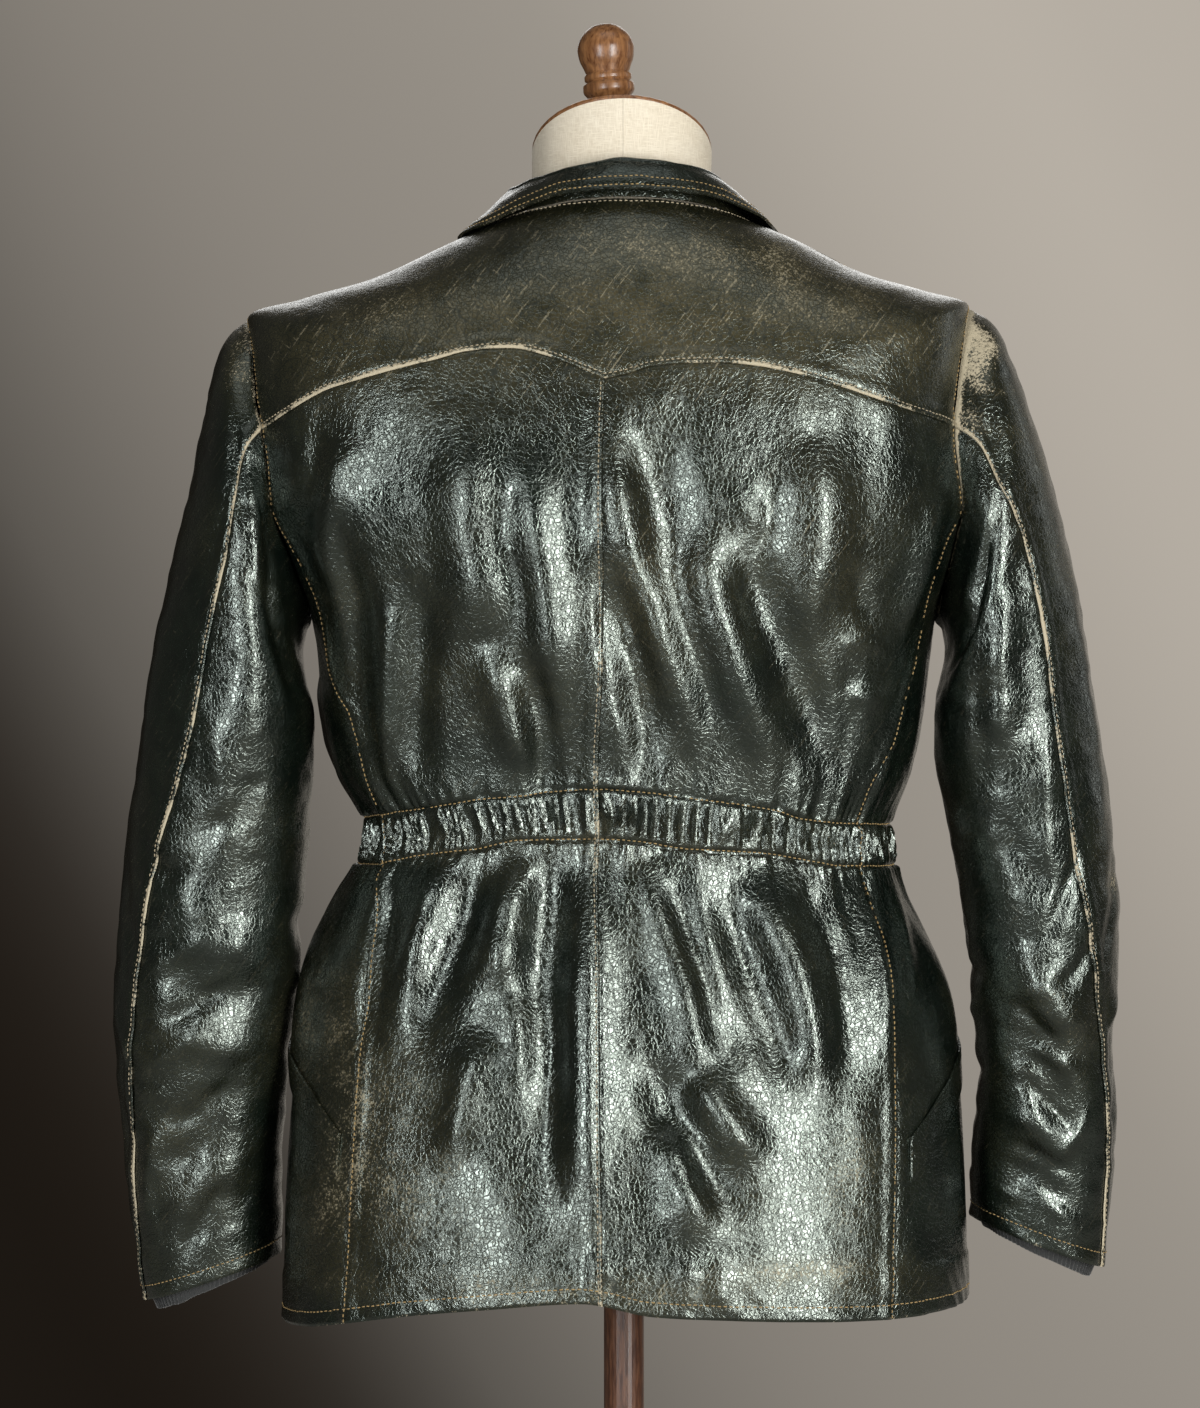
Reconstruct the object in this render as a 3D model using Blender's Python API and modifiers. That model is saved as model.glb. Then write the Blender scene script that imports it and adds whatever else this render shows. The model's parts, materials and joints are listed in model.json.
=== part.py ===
"""Worn leather jacket on a dress form. Metres, +Z up, the jacket's back faces -Y, +X is the wearer's right.

The torso is a ringed body. A point on it has an angle (0 at the centre of the back, + to the
right, 180 at the centre of the front) and a level (0 at the neck seam, 4 at the shoulder
points, 7 at the armpits, 10 at the waist, 15 below the hem). Panels are cut from it along
seam curves, and each panel is a closed wall with its own outer and inner points.
"""

import bpy
import math
import numpy as np
from mathutils import Matrix

for old in list(bpy.data.objects):
    bpy.data.objects.remove(old, do_unlink=True)

# ---------------------------------------------------------------- named sizes, metres
WALL = 0.0014
SEAM_HALF = 0.00017
REST_GAP = 0.00035
GATHER_HEIGHT = 0.0024
ARC_RADIUS = 0.215
BACK_COLUMNS = 17
SIDE_COLUMNS = 6
FRONT_COLUMNS = 7
FRONT_LAP = 0.016
WELT_WIDTH_LEVELS = 0.36
WELT_THICK = 0.0012
WELT_GAP = 0.0010
COLLAR_WALL = 0.0016
COLLAR_RADIUS = 0.0021
KNIT_WALL = 0.0016
KNIT_RIB = 0.0008
KNIT_OVERHANG = 0.007
BUTTON_RADIUS = 0.0105
BUTTON_THICK = 0.0036
POLE_RADIUS = 0.0133
BASE_RADIUS = 0.180
BASE_THICK = 0.024
FORM_BOTTOM = 0.500
NECK_TILT = math.radians(27.6)
CAP_THICK = 0.0034

# ---------------------------------------------------------------- tables
# level, z_back, z_left, z_right, z_front, x_left, x_right, y_side, y_back, y_front, fullness
BODY = (
    (0.0, 1.1770, 1.1660, 1.1680, 1.1280, 0.0830, 0.0810, -0.006, -0.0720, 0.0620, 0.04),
    (1.0, 1.1530, 1.1500, 1.1530, 1.1000, 0.1210, 0.1180, -0.006, -0.0900, 0.0800, 0.05),
    (2.0, 1.1240, 1.1290, 1.1330, 1.0700, 0.1680, 0.1590, -0.006, -0.1060, 0.0970, 0.08),
    (3.0, 1.0920, 1.1170, 1.1220, 1.0420, 0.2110, 0.1990, -0.006, -0.1180, 0.1110, 0.12),
    (4.0, 1.0600, 1.1040, 1.1120, 1.0140, 0.2480, 0.2270, -0.006, -0.1265, 0.1210, 0.16),
    (5.0, 1.0250, 1.0450, 1.0480, 0.9900, 0.2500, 0.2260, -0.004, -0.1325, 0.1290, 0.20),
    (6.0, 0.9750, 0.9850, 0.9860, 0.9550, 0.2420, 0.2290, -0.002, -0.1355, 0.1350, 0.20),
    (7.0, 0.9050, 0.9050, 0.9050, 0.9050, 0.2060, 0.2050, 0.000, -0.1290, 0.1360, 0.18),
    (8.0, 0.8450, 0.8450, 0.8450, 0.8450, 0.1990, 0.1985, 0.000, -0.1180, 0.1310, 0.14),
    (9.0, 0.8050, 0.8050, 0.8050, 0.8050, 0.1905, 0.1900, 0.000, -0.1090, 0.1270, 0.12),
    (10.0, 0.7650, 0.7650, 0.7650, 0.7650, 0.1695, 0.1757, 0.000, -0.1040, 0.1250, 0.12),
    (11.0, 0.7250, 0.7250, 0.7250, 0.7250, 0.1875, 0.1830, 0.000, -0.1090, 0.1260, 0.12),
    (12.0, 0.6600, 0.6600, 0.6600, 0.6600, 0.2120, 0.2100, 0.000, -0.1220, 0.1300, 0.12),
    (13.0, 0.5950, 0.5950, 0.5950, 0.5950, 0.2192, 0.2222, 0.000, -0.1330, 0.1340, 0.12),
    (14.0, 0.5200, 0.5200, 0.5200, 0.5200, 0.2240, 0.2260, 0.000, -0.1420, 0.1370, 0.12),
    (15.0, 0.4400, 0.4400, 0.4400, 0.4400, 0.2252, 0.2270, 0.000, -0.1480, 0.1380, 0.12),
)
# angle, level: seams that run round the body
YOKE_SEAM = (
    (-64.7, 5.25), (-57.1, 5.10), (-50.2, 4.91), (-43.9, 4.70), (-37.5, 4.51), (-30.6, 4.24),
    (-25.2, 3.97), (-21.3, 3.74), (-17.7, 3.63), (-14.8, 3.60), (-11.0, 3.69), (-7.3, 3.85),
    (-2.5, 4.12), (0.5, 4.02), (3.9, 3.89), (8.2, 3.86), (14.2, 3.91), (18.9, 4.04),
    (23.8, 4.24), (28.7, 4.45), (34.5, 4.66), (40.9, 4.85), (49.4, 5.03), (64.7, 5.25),
)
YOKE_TIP = 12
WAIST_TOP = (
    (-180.0, 9.60), (-90.0, 9.75), (-48.7, 9.60), (-38.0, 9.51), (-26.3, 9.39), (-17.0, 9.34),
    (-4.6, 9.24), (3.5, 9.29), (12.2, 9.39), (21.9, 9.49), (30.0, 9.59), (36.3, 9.72),
    (52.3, 9.81), (90.0, 9.85), (180.0, 9.60),
)
WAIST_BOTTOM = (
    (-180.0, 10.35), (-90.0, 10.52), (-61.4, 10.50), (-53.5, 10.39), (-44.0, 10.30),
    (-31.0, 10.20), (-21.1, 10.05), (-4.6, 10.03), (3.7, 10.08), (10.5, 10.18), (27.9, 10.27),
    (36.5, 10.38), (47.3, 10.50), (90.0, 10.55), (180.0, 10.35),
)
HEM = (
    (-180.0, 14.92), (-90.0, 14.94), (-62.5, 14.89), (-49.6, 14.82), (-34.4, 14.72),
    (-21.0, 14.65), (-6.2, 14.59), (3.8, 14.69), (12.6, 14.72), (44.7, 14.77), (61.7, 14.76),
    (90.0, 14.75), (180.0, 14.92),
)
# level, angle: seams that run down the body
CENTRE_SEAM = (
    (4.0, -2.5), (6.2, -2.9), (7.5, -3.5), (8.4, -4.3), (10.4, -5.0), (11.8, -3.9),
    (13.0, -3.6), (14.9, -3.2),
)
ARMHOLE_EDGE = (
    (4.0, 90.0), (4.12, 83.5), (4.4, 75.0), (4.7, 70.0), (5.03, 66.5), (5.26, 64.9),
    (5.57, 64.5), (5.92, 66.0), (6.15, 67.9), (6.35, 70.0), (6.6, 74.0), (6.85, 81.0), (7.0, 90.0),
)
PRINCESS_LEFT = (
    (6.15, -67.9), (6.5, -67.6), (7.0, -69.0), (7.4, -69.0), (7.75, -65.0), (8.02, -61.0),
    (9.0, -59.5), (9.93, -63.0), (10.6, -60.0), (11.3, -53.5), (12.1, -49.0), (13.4, -48.5),
    (14.95, -49.8),
)
PRINCESS_RIGHT = (
    (6.15, 67.9), (6.36, 64.5), (6.6, 63.5), (6.95, 66.5), (7.31, 66.0), (7.86, 62.4),
    (8.43, 60.3), (9.27, 55.6), (10.0, 57.0), (10.9, 57.4), (11.36, 55.8), (11.72, 52.6),
    (12.1, 50.1), (13.2, 47.7), (14.95, 45.0),
)
SIDE_FRONT = ((6.15, 112.1), (7.0, 112.5), (8.0, 113.0), (10.0, 112.0), (12.0, 119.0), (14.95, 124.0))
# angle from the centre back, level of the pocket line's upper edge
POCKET_LINE = ((45.0, 13.48), (48.4, 13.39), (54.8, 13.20), (64.2, 12.93), (80.0, 12.62), (100.0, 12.25), (124.0, 11.90))
# folds of the back: angle_1, z_1, angle_2, z_2, angle_3, z_3, width, height (+ ridge, - trough)
FOLDS = (
    (-39.6, 1.024, -46.8, 0.967, -61.9, 0.885, 0.014, 0.0050),
    (-39.0, 0.999, -50.9, 0.917, -56.3, 0.794, 0.013, -0.0045),
    (-31.9, 0.941, -37.0, 0.865, -41.3, 0.792, 0.013, -0.0040),
    (-17.9, 1.047, -22.1, 0.954, -23.8, 0.884, 0.022, 0.0070),
    (-21.9, 0.891, -19.5, 0.846, -15.4, 0.798, 0.011, 0.0050),
    (-12.7, 1.017, -11.7, 0.928, -11.3, 0.802, 0.011, 0.0060),
    (-14.9, 0.891, -13.8, 0.827, -15.6, 0.760, 0.010, -0.0060),
    (-1.6, 1.042, 1.5, 0.935, 13.0, 0.819, 0.011, 0.0060),
    (-1.7, 0.953, 1.1, 0.878, 5.3, 0.792, 0.011, -0.0060),
    (2.0, 1.045, 5.1, 0.972, 9.5, 0.903, 0.014, -0.0045),
    (9.7, 0.966, 14.9, 0.897, 28.5, 0.798, 0.013, 0.0070),
    (15.4, 0.960, 26.2, 0.884, 42.7, 0.792, 0.013, -0.0055),
    (26.8, 1.023, 29.0, 0.954, 31.3, 0.884, 0.018, 0.0050),
    (50.9, 0.980, 57.0, 0.936, 56.4, 0.885, 0.014, 0.0035),
    (-14.8, 0.759, -12.4, 0.669, -10.0, 0.513, 0.011, -0.0080),
    (-6.9, 0.747, -7.1, 0.631, -5.4, 0.507, 0.014, 0.0060),
    (-19.4, 0.755, -21.6, 0.706, -18.6, 0.668, 0.014, 0.0060),
    (-29.0, 0.753, -30.2, 0.693, -36.1, 0.617, 0.014, -0.0050),
    (-39.6, 0.751, -38.3, 0.712, -38.8, 0.661, 0.013, 0.0040),
    (-54.5, 0.744, -47.3, 0.686, -47.3, 0.622, 0.012, -0.0040),
    (-20.9, 0.643, -24.8, 0.605, -27.0, 0.549, 0.011, 0.0040),
    (2.8, 0.751, 9.0, 0.687, 12.3, 0.609, 0.011, 0.0045),
    (6.8, 0.749, 12.2, 0.681, 17.0, 0.612, 0.011, -0.0045),
    (16.3, 0.745, 22.4, 0.668, 25.7, 0.593, 0.013, -0.0050),
    (24.4, 0.744, 29.6, 0.680, 29.6, 0.593, 0.016, 0.0070),
    (54.9, 0.736, 49.3, 0.673, 42.5, 0.591, 0.012, 0.0040),
    (3.7, 0.631, 9.4, 0.575, 16.4, 0.515, 0.011, -0.0070),
    (5.6, 0.594, 9.3, 0.553, 11.6, 0.507, 0.013, 0.0060),
    (9.0, 0.614, 14.3, 0.590, 21.0, 0.552, 0.011, 0.0050),
    # sides and front, of the same kind as those of the back
    (-96.0, 0.880, -100.0, 0.840, -98.0, 0.790, 0.014, 0.0040),
    (-118.0, 0.960, -124.0, 0.880, -120.0, 0.790, 0.016, 0.0060),
    (-136.0, 1.000, -140.0, 0.900, -134.0, 0.790, 0.015, -0.0050),
    (-150.0, 1.010, -151.0, 0.900, -148.0, 0.790, 0.015, 0.0050),
    (100.0, 0.880, 103.0, 0.840, 99.0, 0.790, 0.014, 0.0040),
    (120.0, 0.970, 127.0, 0.880, 123.0, 0.790, 0.016, 0.0060),
    (134.0, 1.000, 142.0, 0.900, 137.0, 0.790, 0.015, -0.0050),
    (149.0, 1.000, 153.0, 0.900, 150.0, 0.790, 0.014, 0.0045),
    (-92.0, 0.745, -84.0, 0.670, -80.0, 0.590, 0.026, 0.0035),
    (-108.0, 0.745, -104.0, 0.660, -102.0, 0.570, 0.026, -0.0035),
    (-122.0, 0.745, -120.0, 0.640, -121.0, 0.540, 0.018, 0.0060),
    (-140.0, 0.745, -141.0, 0.660, -144.0, 0.570, 0.015, -0.0050),
    (-156.0, 0.745, -158.0, 0.650, -160.0, 0.560, 0.015, 0.0045),
    (94.0, 0.745, 86.0, 0.680, 81.0, 0.600, 0.026, 0.0035),
    (110.0, 0.745, 105.0, 0.660, 102.0, 0.560, 0.026, -0.0035),
    (124.0, 0.745, 121.0, 0.650, 122.0, 0.540, 0.018, 0.0060),
    (141.0, 0.745, 143.0, 0.660, 146.0, 0.570, 0.015, -0.0050),
    (156.0, 0.745, 159.0, 0.650, 161.0, 0.560, 0.015, 0.0040),
)
# row, x_out, z_out, x_in, z_in, y_mid, half_depth, back_seam_angle, front_seam_angle
SLEEVE_LEFT = (
    (0.0, -0.2480, 1.1040, -0.2050, 0.9050, -0.004, 0.072, 77.0, -80.0),
    (1.0, -0.2640, 1.0880, -0.2100, 0.8960, -0.005, 0.077, 79.0, -80.0),
    (2.0, -0.2745, 1.0500, -0.2125, 0.8830, -0.008, 0.078, 79.0, -79.0),
    (3.0, -0.2855, 0.9950, -0.2095, 0.8640, -0.010, 0.076, 78.0, -77.0),
    (4.0, -0.2987, 0.9400, -0.2050, 0.8440, -0.010, 0.073, 75.0, -75.0),
    (5.0, -0.3120, 0.8750, -0.2055, 0.8150, -0.008, 0.069, 74.0, -73.0),
    (6.0, -0.3205, 0.8175, -0.2080, 0.7750, -0.004, 0.066, 68.0, -72.0),
    (7.0, -0.3290, 0.7600, -0.2110, 0.7350, 0.000, 0.064, 58.0, -72.0),
    (8.0, -0.3358, 0.6940, -0.2145, 0.6850, 0.004, 0.061, 51.0, -74.0),
    (9.0, -0.3384, 0.6400, -0.2195, 0.6400, 0.010, 0.058, 47.0, -77.0),
    (10.0, -0.3355, 0.5850, -0.2245, 0.5900, 0.016, 0.054, 41.0, -80.0),
    (11.0, -0.3300, 0.5200, -0.2285, 0.5400, 0.024, 0.050, 34.0, -84.0),
    (12.0, -0.3205, 0.4530, -0.2300, 0.4840, 0.030, 0.046, 25.0, -88.0),
)
SLEEVE_RIGHT = (
    (0.0, 0.2270, 1.1120, 0.2050, 0.9050, -0.004, 0.072, 80.0, -80.0),
    (1.0, 0.2440, 1.1000, 0.2110, 0.8960, -0.005, 0.077, 81.0, -80.0),
    (2.0, 0.2590, 1.0660, 0.2125, 0.8820, -0.008, 0.078, 79.0, -79.0),
    (3.0, 0.2725, 1.0270, 0.2095, 0.8650, -0.010, 0.076, 73.0, -77.0),
    (4.0, 0.2860, 0.9800, 0.2045, 0.8420, -0.010, 0.073, 68.0, -75.0),
    (5.0, 0.2990, 0.9230, 0.2060, 0.8150, -0.008, 0.069, 68.0, -73.0),
    (6.0, 0.3075, 0.8700, 0.2125, 0.7800, -0.004, 0.066, 70.0, -72.0),
    (7.0, 0.3170, 0.8150, 0.2195, 0.7420, 0.000, 0.064, 71.0, -72.0),
    (8.0, 0.3238, 0.7620, 0.2260, 0.7030, 0.002, 0.062, 69.0, -73.0),
    (9.0, 0.3282, 0.7050, 0.2300, 0.6670, 0.006, 0.060, 62.0, -75.0),
    (10.0, 0.3275, 0.6560, 0.2335, 0.6340, 0.010, 0.058, 52.0, -77.0),
    (11.0, 0.3245, 0.6250, 0.2350, 0.6000, 0.014, 0.056, 44.0, -79.0),
    (12.0, 0.3285, 0.5765, 0.2335, 0.5650, 0.020, 0.053, 41.0, -82.0),
    (13.0, 0.3262, 0.5300, 0.2315, 0.5360, 0.026, 0.050, 36.0, -85.0),
    (14.0, 0.3199, 0.4750, 0.2325, 0.5080, 0.030, 0.047, 28.0, -88.0),
)
# sleeve folds: row_1, angle_1, row_2, angle_2, row_3, angle_3, width, height
SLEEVE_FOLDS_LEFT = (
    (2.6, 95.0, 4.5, 105.0, 6.5, 100.0, 0.020, 0.0050),
    (1.6, 118.0, 3.0, 135.0, 4.5, 140.0, 0.014, -0.0050),
    (6.8, 62.0, 7.9, 100.0, 7.4, 140.0, 0.012, 0.0035),
    (7.6, 60.0, 8.6, 100.0, 8.0, 140.0, 0.011, -0.0035),
    (8.7, 60.0, 9.3, 100.0, 8.9, 135.0, 0.012, 0.0035),
    (9.2, 130.0, 10.4, 90.0, 10.8, 60.0, 0.011, -0.0030),
    (10.5, 130.0, 11.0, 95.0, 11.2, 60.0, 0.012, 0.0025),
)
SLEEVE_FOLDS_RIGHT = (
    (1.8, 100.0, 2.6, 118.0, 3.4, 135.0, 0.016, -0.0060),
    (3.6, 88.0, 4.8, 100.0, 6.0, 110.0, 0.020, 0.0050),
    (3.2, 70.0, 4.6, 82.0, 6.2, 86.0, 0.012, -0.0035),
    (8.6, 115.0, 9.7, 92.0, 10.5, 66.0, 0.013, 0.0050),
    (9.6, 120.0, 10.9, 98.0, 12.2, 74.0, 0.012, -0.0050),
    (9.4, 60.0, 10.2, 44.0, 11.0, 30.0, 0.012, -0.0035),
    (11.4, 125.0, 12.0, 100.0, 12.6, 72.0, 0.012, 0.0035),
    (12.4, 130.0, 12.9, 100.0, 13.2, 66.0, 0.012, -0.0025),
)
# angle, fold_x, fold_y, fold_z, edge_level, edge_lift
COLLAR = (
    (-166.0, -0.0180, 0.0650, 1.1450, 1.75, 0.0026),
    (-150.0, -0.0390, 0.0530, 1.1590, 1.55, 0.0024),
    (-120.0, -0.0690, 0.0270, 1.1800, 1.05, 0.0022),
    (-90.0, -0.0755, -0.0040, 1.1875, 0.68, 0.0020),
    (-63.0, -0.0690, -0.0330, 1.1900, 0.62, 0.0026),
    (-42.0, -0.0530, -0.0530, 1.1935, 0.34, 0.0055),
    (-25.0, -0.0340, -0.0650, 1.1985, 0.20, 0.0100),
    (0.0, -0.0010, -0.0705, 1.2025, 0.14, 0.0115),
    (22.0, 0.0265, -0.0675, 1.2010, 0.16, 0.0110),
    (42.0, 0.0480, -0.0555, 1.1980, 0.20, 0.0085),
    (62.0, 0.0615, -0.0350, 1.1940, 0.34, 0.0055),
    (90.0, 0.0670, -0.0040, 1.1880, 0.47, 0.0028),
    (120.0, 0.0640, 0.0270, 1.1800, 1.10, 0.0024),
    (150.0, 0.0380, 0.0530, 1.1590, 1.55, 0.0024),
    (166.0, 0.0180, 0.0650, 1.1450, 1.75, 0.0026),
)
# dress form below its shoulders: z_back, z_side, z_front, x_left, x_right, y_side, y_back, y_front
FORM_LOW = (
    (0.5000, 0.5000, 0.5000, 0.1520, 0.1520, 0.000, -0.1020, 0.1040),
    (0.5160, 0.5160, 0.5160, 0.1680, 0.1680, 0.000, -0.1130, 0.1150),
    (0.6000, 0.6000, 0.6000, 0.1750, 0.1760, 0.000, -0.1150, 0.1180),
    (0.6700, 0.6700, 0.6700, 0.1700, 0.1710, 0.000, -0.1050, 0.1140),
    (0.7250, 0.7250, 0.7250, 0.1590, 0.1620, 0.000, -0.0920, 0.1080),
    (0.7700, 0.7700, 0.7700, 0.1540, 0.1570, 0.000, -0.0880, 0.1070),
    (0.8200, 0.8200, 0.8200, 0.1630, 0.1640, 0.000, -0.0960, 0.1110),
    (0.8800, 0.8800, 0.8800, 0.1740, 0.1740, 0.000, -0.1080, 0.1180),
    (0.9400, 0.9400, 0.9400, 0.1800, 0.1800, 0.000, -0.1170, 0.1210),
    (0.9900, 1.0000, 0.9850, 0.1860, 0.1850, -0.002, -0.1190, 0.1180),
    (1.0300, 1.0500, 1.0150, 0.1910, 0.1890, -0.004, -0.1160, 0.1120),
    (1.0650, 1.0880, 1.0380, 0.1930, 0.1900, -0.005, -0.1110, 0.1040),
)
FORM_SHOULDER_LEVELS = (2.20, 1.20, 0.60)
# dress form's neck: z_centre, x_left, x_right, y_middle, half_depth, share of the full tilt
FORM_NECK = (
    (1.1660, 0.0720, 0.0690, -0.0030, 0.0570, 0.35),
    (1.1760, 0.0640, 0.0600, -0.0010, 0.0550, 0.60),
    (1.1930, 0.0612, 0.0578, 0.0000, 0.0560, 0.90),
    (1.2130, 0.0610, 0.0582, 0.0010, 0.0575, 1.00),
)
# finial outline, top to bottom: height above its foot's middle, radius
FINIAL = (
    (0.0832, 0.0000), (0.0822, 0.0068), (0.0784, 0.0128), (0.0730, 0.0170), (0.0665, 0.0188),
    (0.0600, 0.0180), (0.0545, 0.0158), (0.0505, 0.0143), (0.0487, 0.0156), (0.0462, 0.0156),
    (0.0448, 0.0146), (0.0425, 0.0169), (0.0385, 0.0170), (0.0340, 0.0140), (0.0270, 0.0113),
    (0.0150, 0.0120), (0.0100, 0.0170), (-0.0120, 0.0175), (-0.0120, 0.0000),
)
FINIAL_LEAN = math.radians(-4.5)
# height, radius of the stand's base, outside, bottom to top
BASE = (
    (0.0000, 0.0000), (0.0000, 0.1780), (0.0020, 0.1800), (0.0120, 0.1800), (0.0155, 0.1750),
    (0.0210, 0.1640), (0.0235, 0.1450), (0.0250, 0.0400), (0.0320, 0.0310), (0.0400, 0.0240),
    (0.0420, 0.0215), (0.0420, 0.0000),
)
BUTTON_HEIGHTS = (1.060, 0.930, 0.715, 0.570)
# name, base colour, roughness, metallic
SURFACES = {
    "leather": ((0.012, 0.020, 0.015), 0.38, 0.0),
    "knit": ((0.010, 0.011, 0.011), 0.92, 0.0),
    "linen": ((0.72, 0.66, 0.55), 0.90, 0.0),
    "turned_wood": ((0.36, 0.19, 0.085), 0.42, 0.0),
    "dark_wood": ((0.055, 0.028, 0.018), 0.45, 0.0),
    "button": ((0.014, 0.018, 0.014), 0.35, 0.0),
}


# ---------------------------------------------------------------- curves and surfaces
def smooth(rows, column, at):
    """Smooth curve through one column of a table, which never swings past its rows."""
    table = np.asarray(rows, float)
    knots = table[:, 0]
    values = table[:, column]
    at = np.clip(np.asarray(at, float), knots[0], knots[-1])
    width = np.diff(knots)
    rise = np.diff(values) / width
    slope = np.zeros(len(knots))
    slope[0] = rise[0]
    slope[-1] = rise[-1]
    for i in range(1, len(knots) - 1):
        if rise[i - 1] * rise[i] > 0:
            before = 2 * width[i] + width[i - 1]
            after = width[i] + 2 * width[i - 1]
            slope[i] = (before + after) / (before / rise[i - 1] + after / rise[i])
    k = np.clip(np.searchsorted(knots, at, side="right") - 1, 0, len(width) - 1)
    u = (at - knots[k]) / width[k]
    start = (1 + 2 * u) * (1 - u) ** 2 * values[k] + u * (1 - u) ** 2 * width[k] * slope[k]
    return start + u * u * (3 - 2 * u) * values[k + 1] + u * u * (u - 1) * width[k] * slope[k + 1]


def straight(rows, at):
    """Straight lines through a two-column table."""
    table = np.asarray(rows, float)
    return np.interp(at, table[:, 0], table[:, 1])


def plain_body(angle, level):
    """Point of the torso without folds, angle in degrees."""
    angle, level = np.broadcast_arrays(np.asarray(angle, float), np.asarray(level, float))
    z_back, z_left, z_right, z_front, x_left, x_right, y_side, y_back, y_front, full = (
        smooth(BODY, i, level) for i in range(1, 11)
    )
    sin = np.sin(np.radians(angle))
    cos = np.cos(np.radians(angle))
    half = np.where(sin < 0, x_left, x_right)
    z_side = np.where(sin < 0, z_left, z_right)
    y_end = np.where(cos > 0, y_back, y_front)
    z_end = np.where(cos > 0, z_back, z_front)
    x = half * sin * (1 + full * cos * cos)
    y = y_side + (y_end - y_side) * np.abs(cos) * (1 + full * sin * sin)
    z = z_side + (z_end - z_side) * cos * cos
    return np.stack([x, y, z], -1)


def fold_height(folds, along, up):
    """Height of the folds at places given by two flat coordinates in metres."""
    total = np.zeros(np.shape(along))
    for a1, u1, a2, u2, a3, u3, width, height in folds:
        steps = np.linspace(0.0, 1.0, 9)
        line_a = (1 - steps) * (1 - 2 * steps) * a1 + 4 * steps * (1 - steps) * a2 + steps * (2 * steps - 1) * a3
        line_u = (1 - steps) * (1 - 2 * steps) * u1 + 4 * steps * (1 - steps) * u2 + steps * (2 * steps - 1) * u3
        nearest = np.full(np.shape(along), 1e9)
        place = np.zeros(np.shape(along))
        for i in range(8):
            da = line_a[i + 1] - line_a[i]
            du = line_u[i + 1] - line_u[i]
            t = ((along - line_a[i]) * da + (up - line_u[i]) * du) / (da * da + du * du)
            t = np.clip(t, 0.0, 1.0)
            gap = (along - line_a[i] - t * da) ** 2 + (up - line_u[i] - t * du) ** 2
            closer = gap < nearest
            nearest = np.where(closer, gap, nearest)
            place = np.where(closer, (i + t) / 8, place)
        taper = np.clip(np.minimum(place, 1 - place) * 5.0 + 0.25, 0.0, 1.0)
        total = total + height * taper * np.exp(-nearest / (width * width))
    return total


def body_folds(angle, level):
    flat = plain_body(angle, level)
    table = [
        (math.radians(a1) * ARC_RADIUS, z1, math.radians(a2) * ARC_RADIUS, z2,
         math.radians(a3) * ARC_RADIUS, z3, width, height)
        for a1, z1, a2, z2, a3, z3, width, height in FOLDS
    ]
    height = fold_height(table, np.radians(angle) * ARC_RADIUS + np.zeros(flat.shape[:-1]), flat[..., 2])
    fade = np.clip((1.075 - flat[..., 2]) / 0.04, 0.0, 1.0)
    return np.maximum(height, -0.007) * fade


def plain_normal(angle, level):
    level = np.maximum(level, 0.002)
    wide = plain_body(angle + 0.05, level) - plain_body(angle - 0.05, level)
    high = plain_body(angle, level - 0.002) - plain_body(angle, level + 0.002)
    out = np.cross(wide, high)
    return out / np.linalg.norm(out, axis=-1, keepdims=True)


def body(angle, level):
    """Point of the torso's outer face with its folds."""
    level = np.maximum(level, 0.0)
    return plain_body(angle, level) + plain_normal(angle, level) * body_folds(angle, level)[..., None]


def body_normal(angle, level):
    level = np.maximum(level, 0.01)
    wide = body(angle + 0.3, level) - body(angle - 0.3, level)
    high = body(angle, level - 0.01) - body(angle, level + 0.01)
    out = np.cross(wide, high)
    return out / np.linalg.norm(out, axis=-1, keepdims=True)


# ---------------------------------------------------------------- objects
def surface_of(name):
    colour, rough, metal = SURFACES[name]
    made = bpy.data.materials.new(name)
    made.use_nodes = True
    shader = made.node_tree.nodes["Principled BSDF"]
    shader.inputs["Base Color"].default_value = (*colour, 1.0)
    shader.inputs["Roughness"].default_value = rough
    shader.inputs["Metallic"].default_value = metal
    return made


def mesh_object(name, points, faces, surface, rounded=True):
    mesh = bpy.data.meshes.new(name)
    mesh.from_pydata([tuple(float(c) for c in p) for p in points], [], faces)
    mesh.validate()
    mesh.materials.append(surface_of(surface))
    for face in mesh.polygons:
        face.use_smooth = rounded
    made = bpy.data.objects.new(name, mesh)
    bpy.context.scene.collection.objects.link(made)
    return made


def inset(rows):
    """Half a seam gap taken off each edge of a panel's rows."""
    moved = [np.array(r) for r in rows]
    for r, row in enumerate(rows):
        first = row[1] - row[0]
        last = row[-2] - row[-1]
        moved[r][0] = moved[r][0] + first / np.linalg.norm(first) * SEAM_HALF
        moved[r][-1] = moved[r][-1] + last / np.linalg.norm(last) * SEAM_HALF
    for end, near in ((0, 1), (-1, -2)):
        step = len(rows[near]) // len(rows[end])
        towards = rows[near][:: max(1, step)] - rows[end]
        length = np.linalg.norm(towards, axis=-1, keepdims=True)
        moved[end] = moved[end] + towards / length * SEAM_HALF
    return moved


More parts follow.
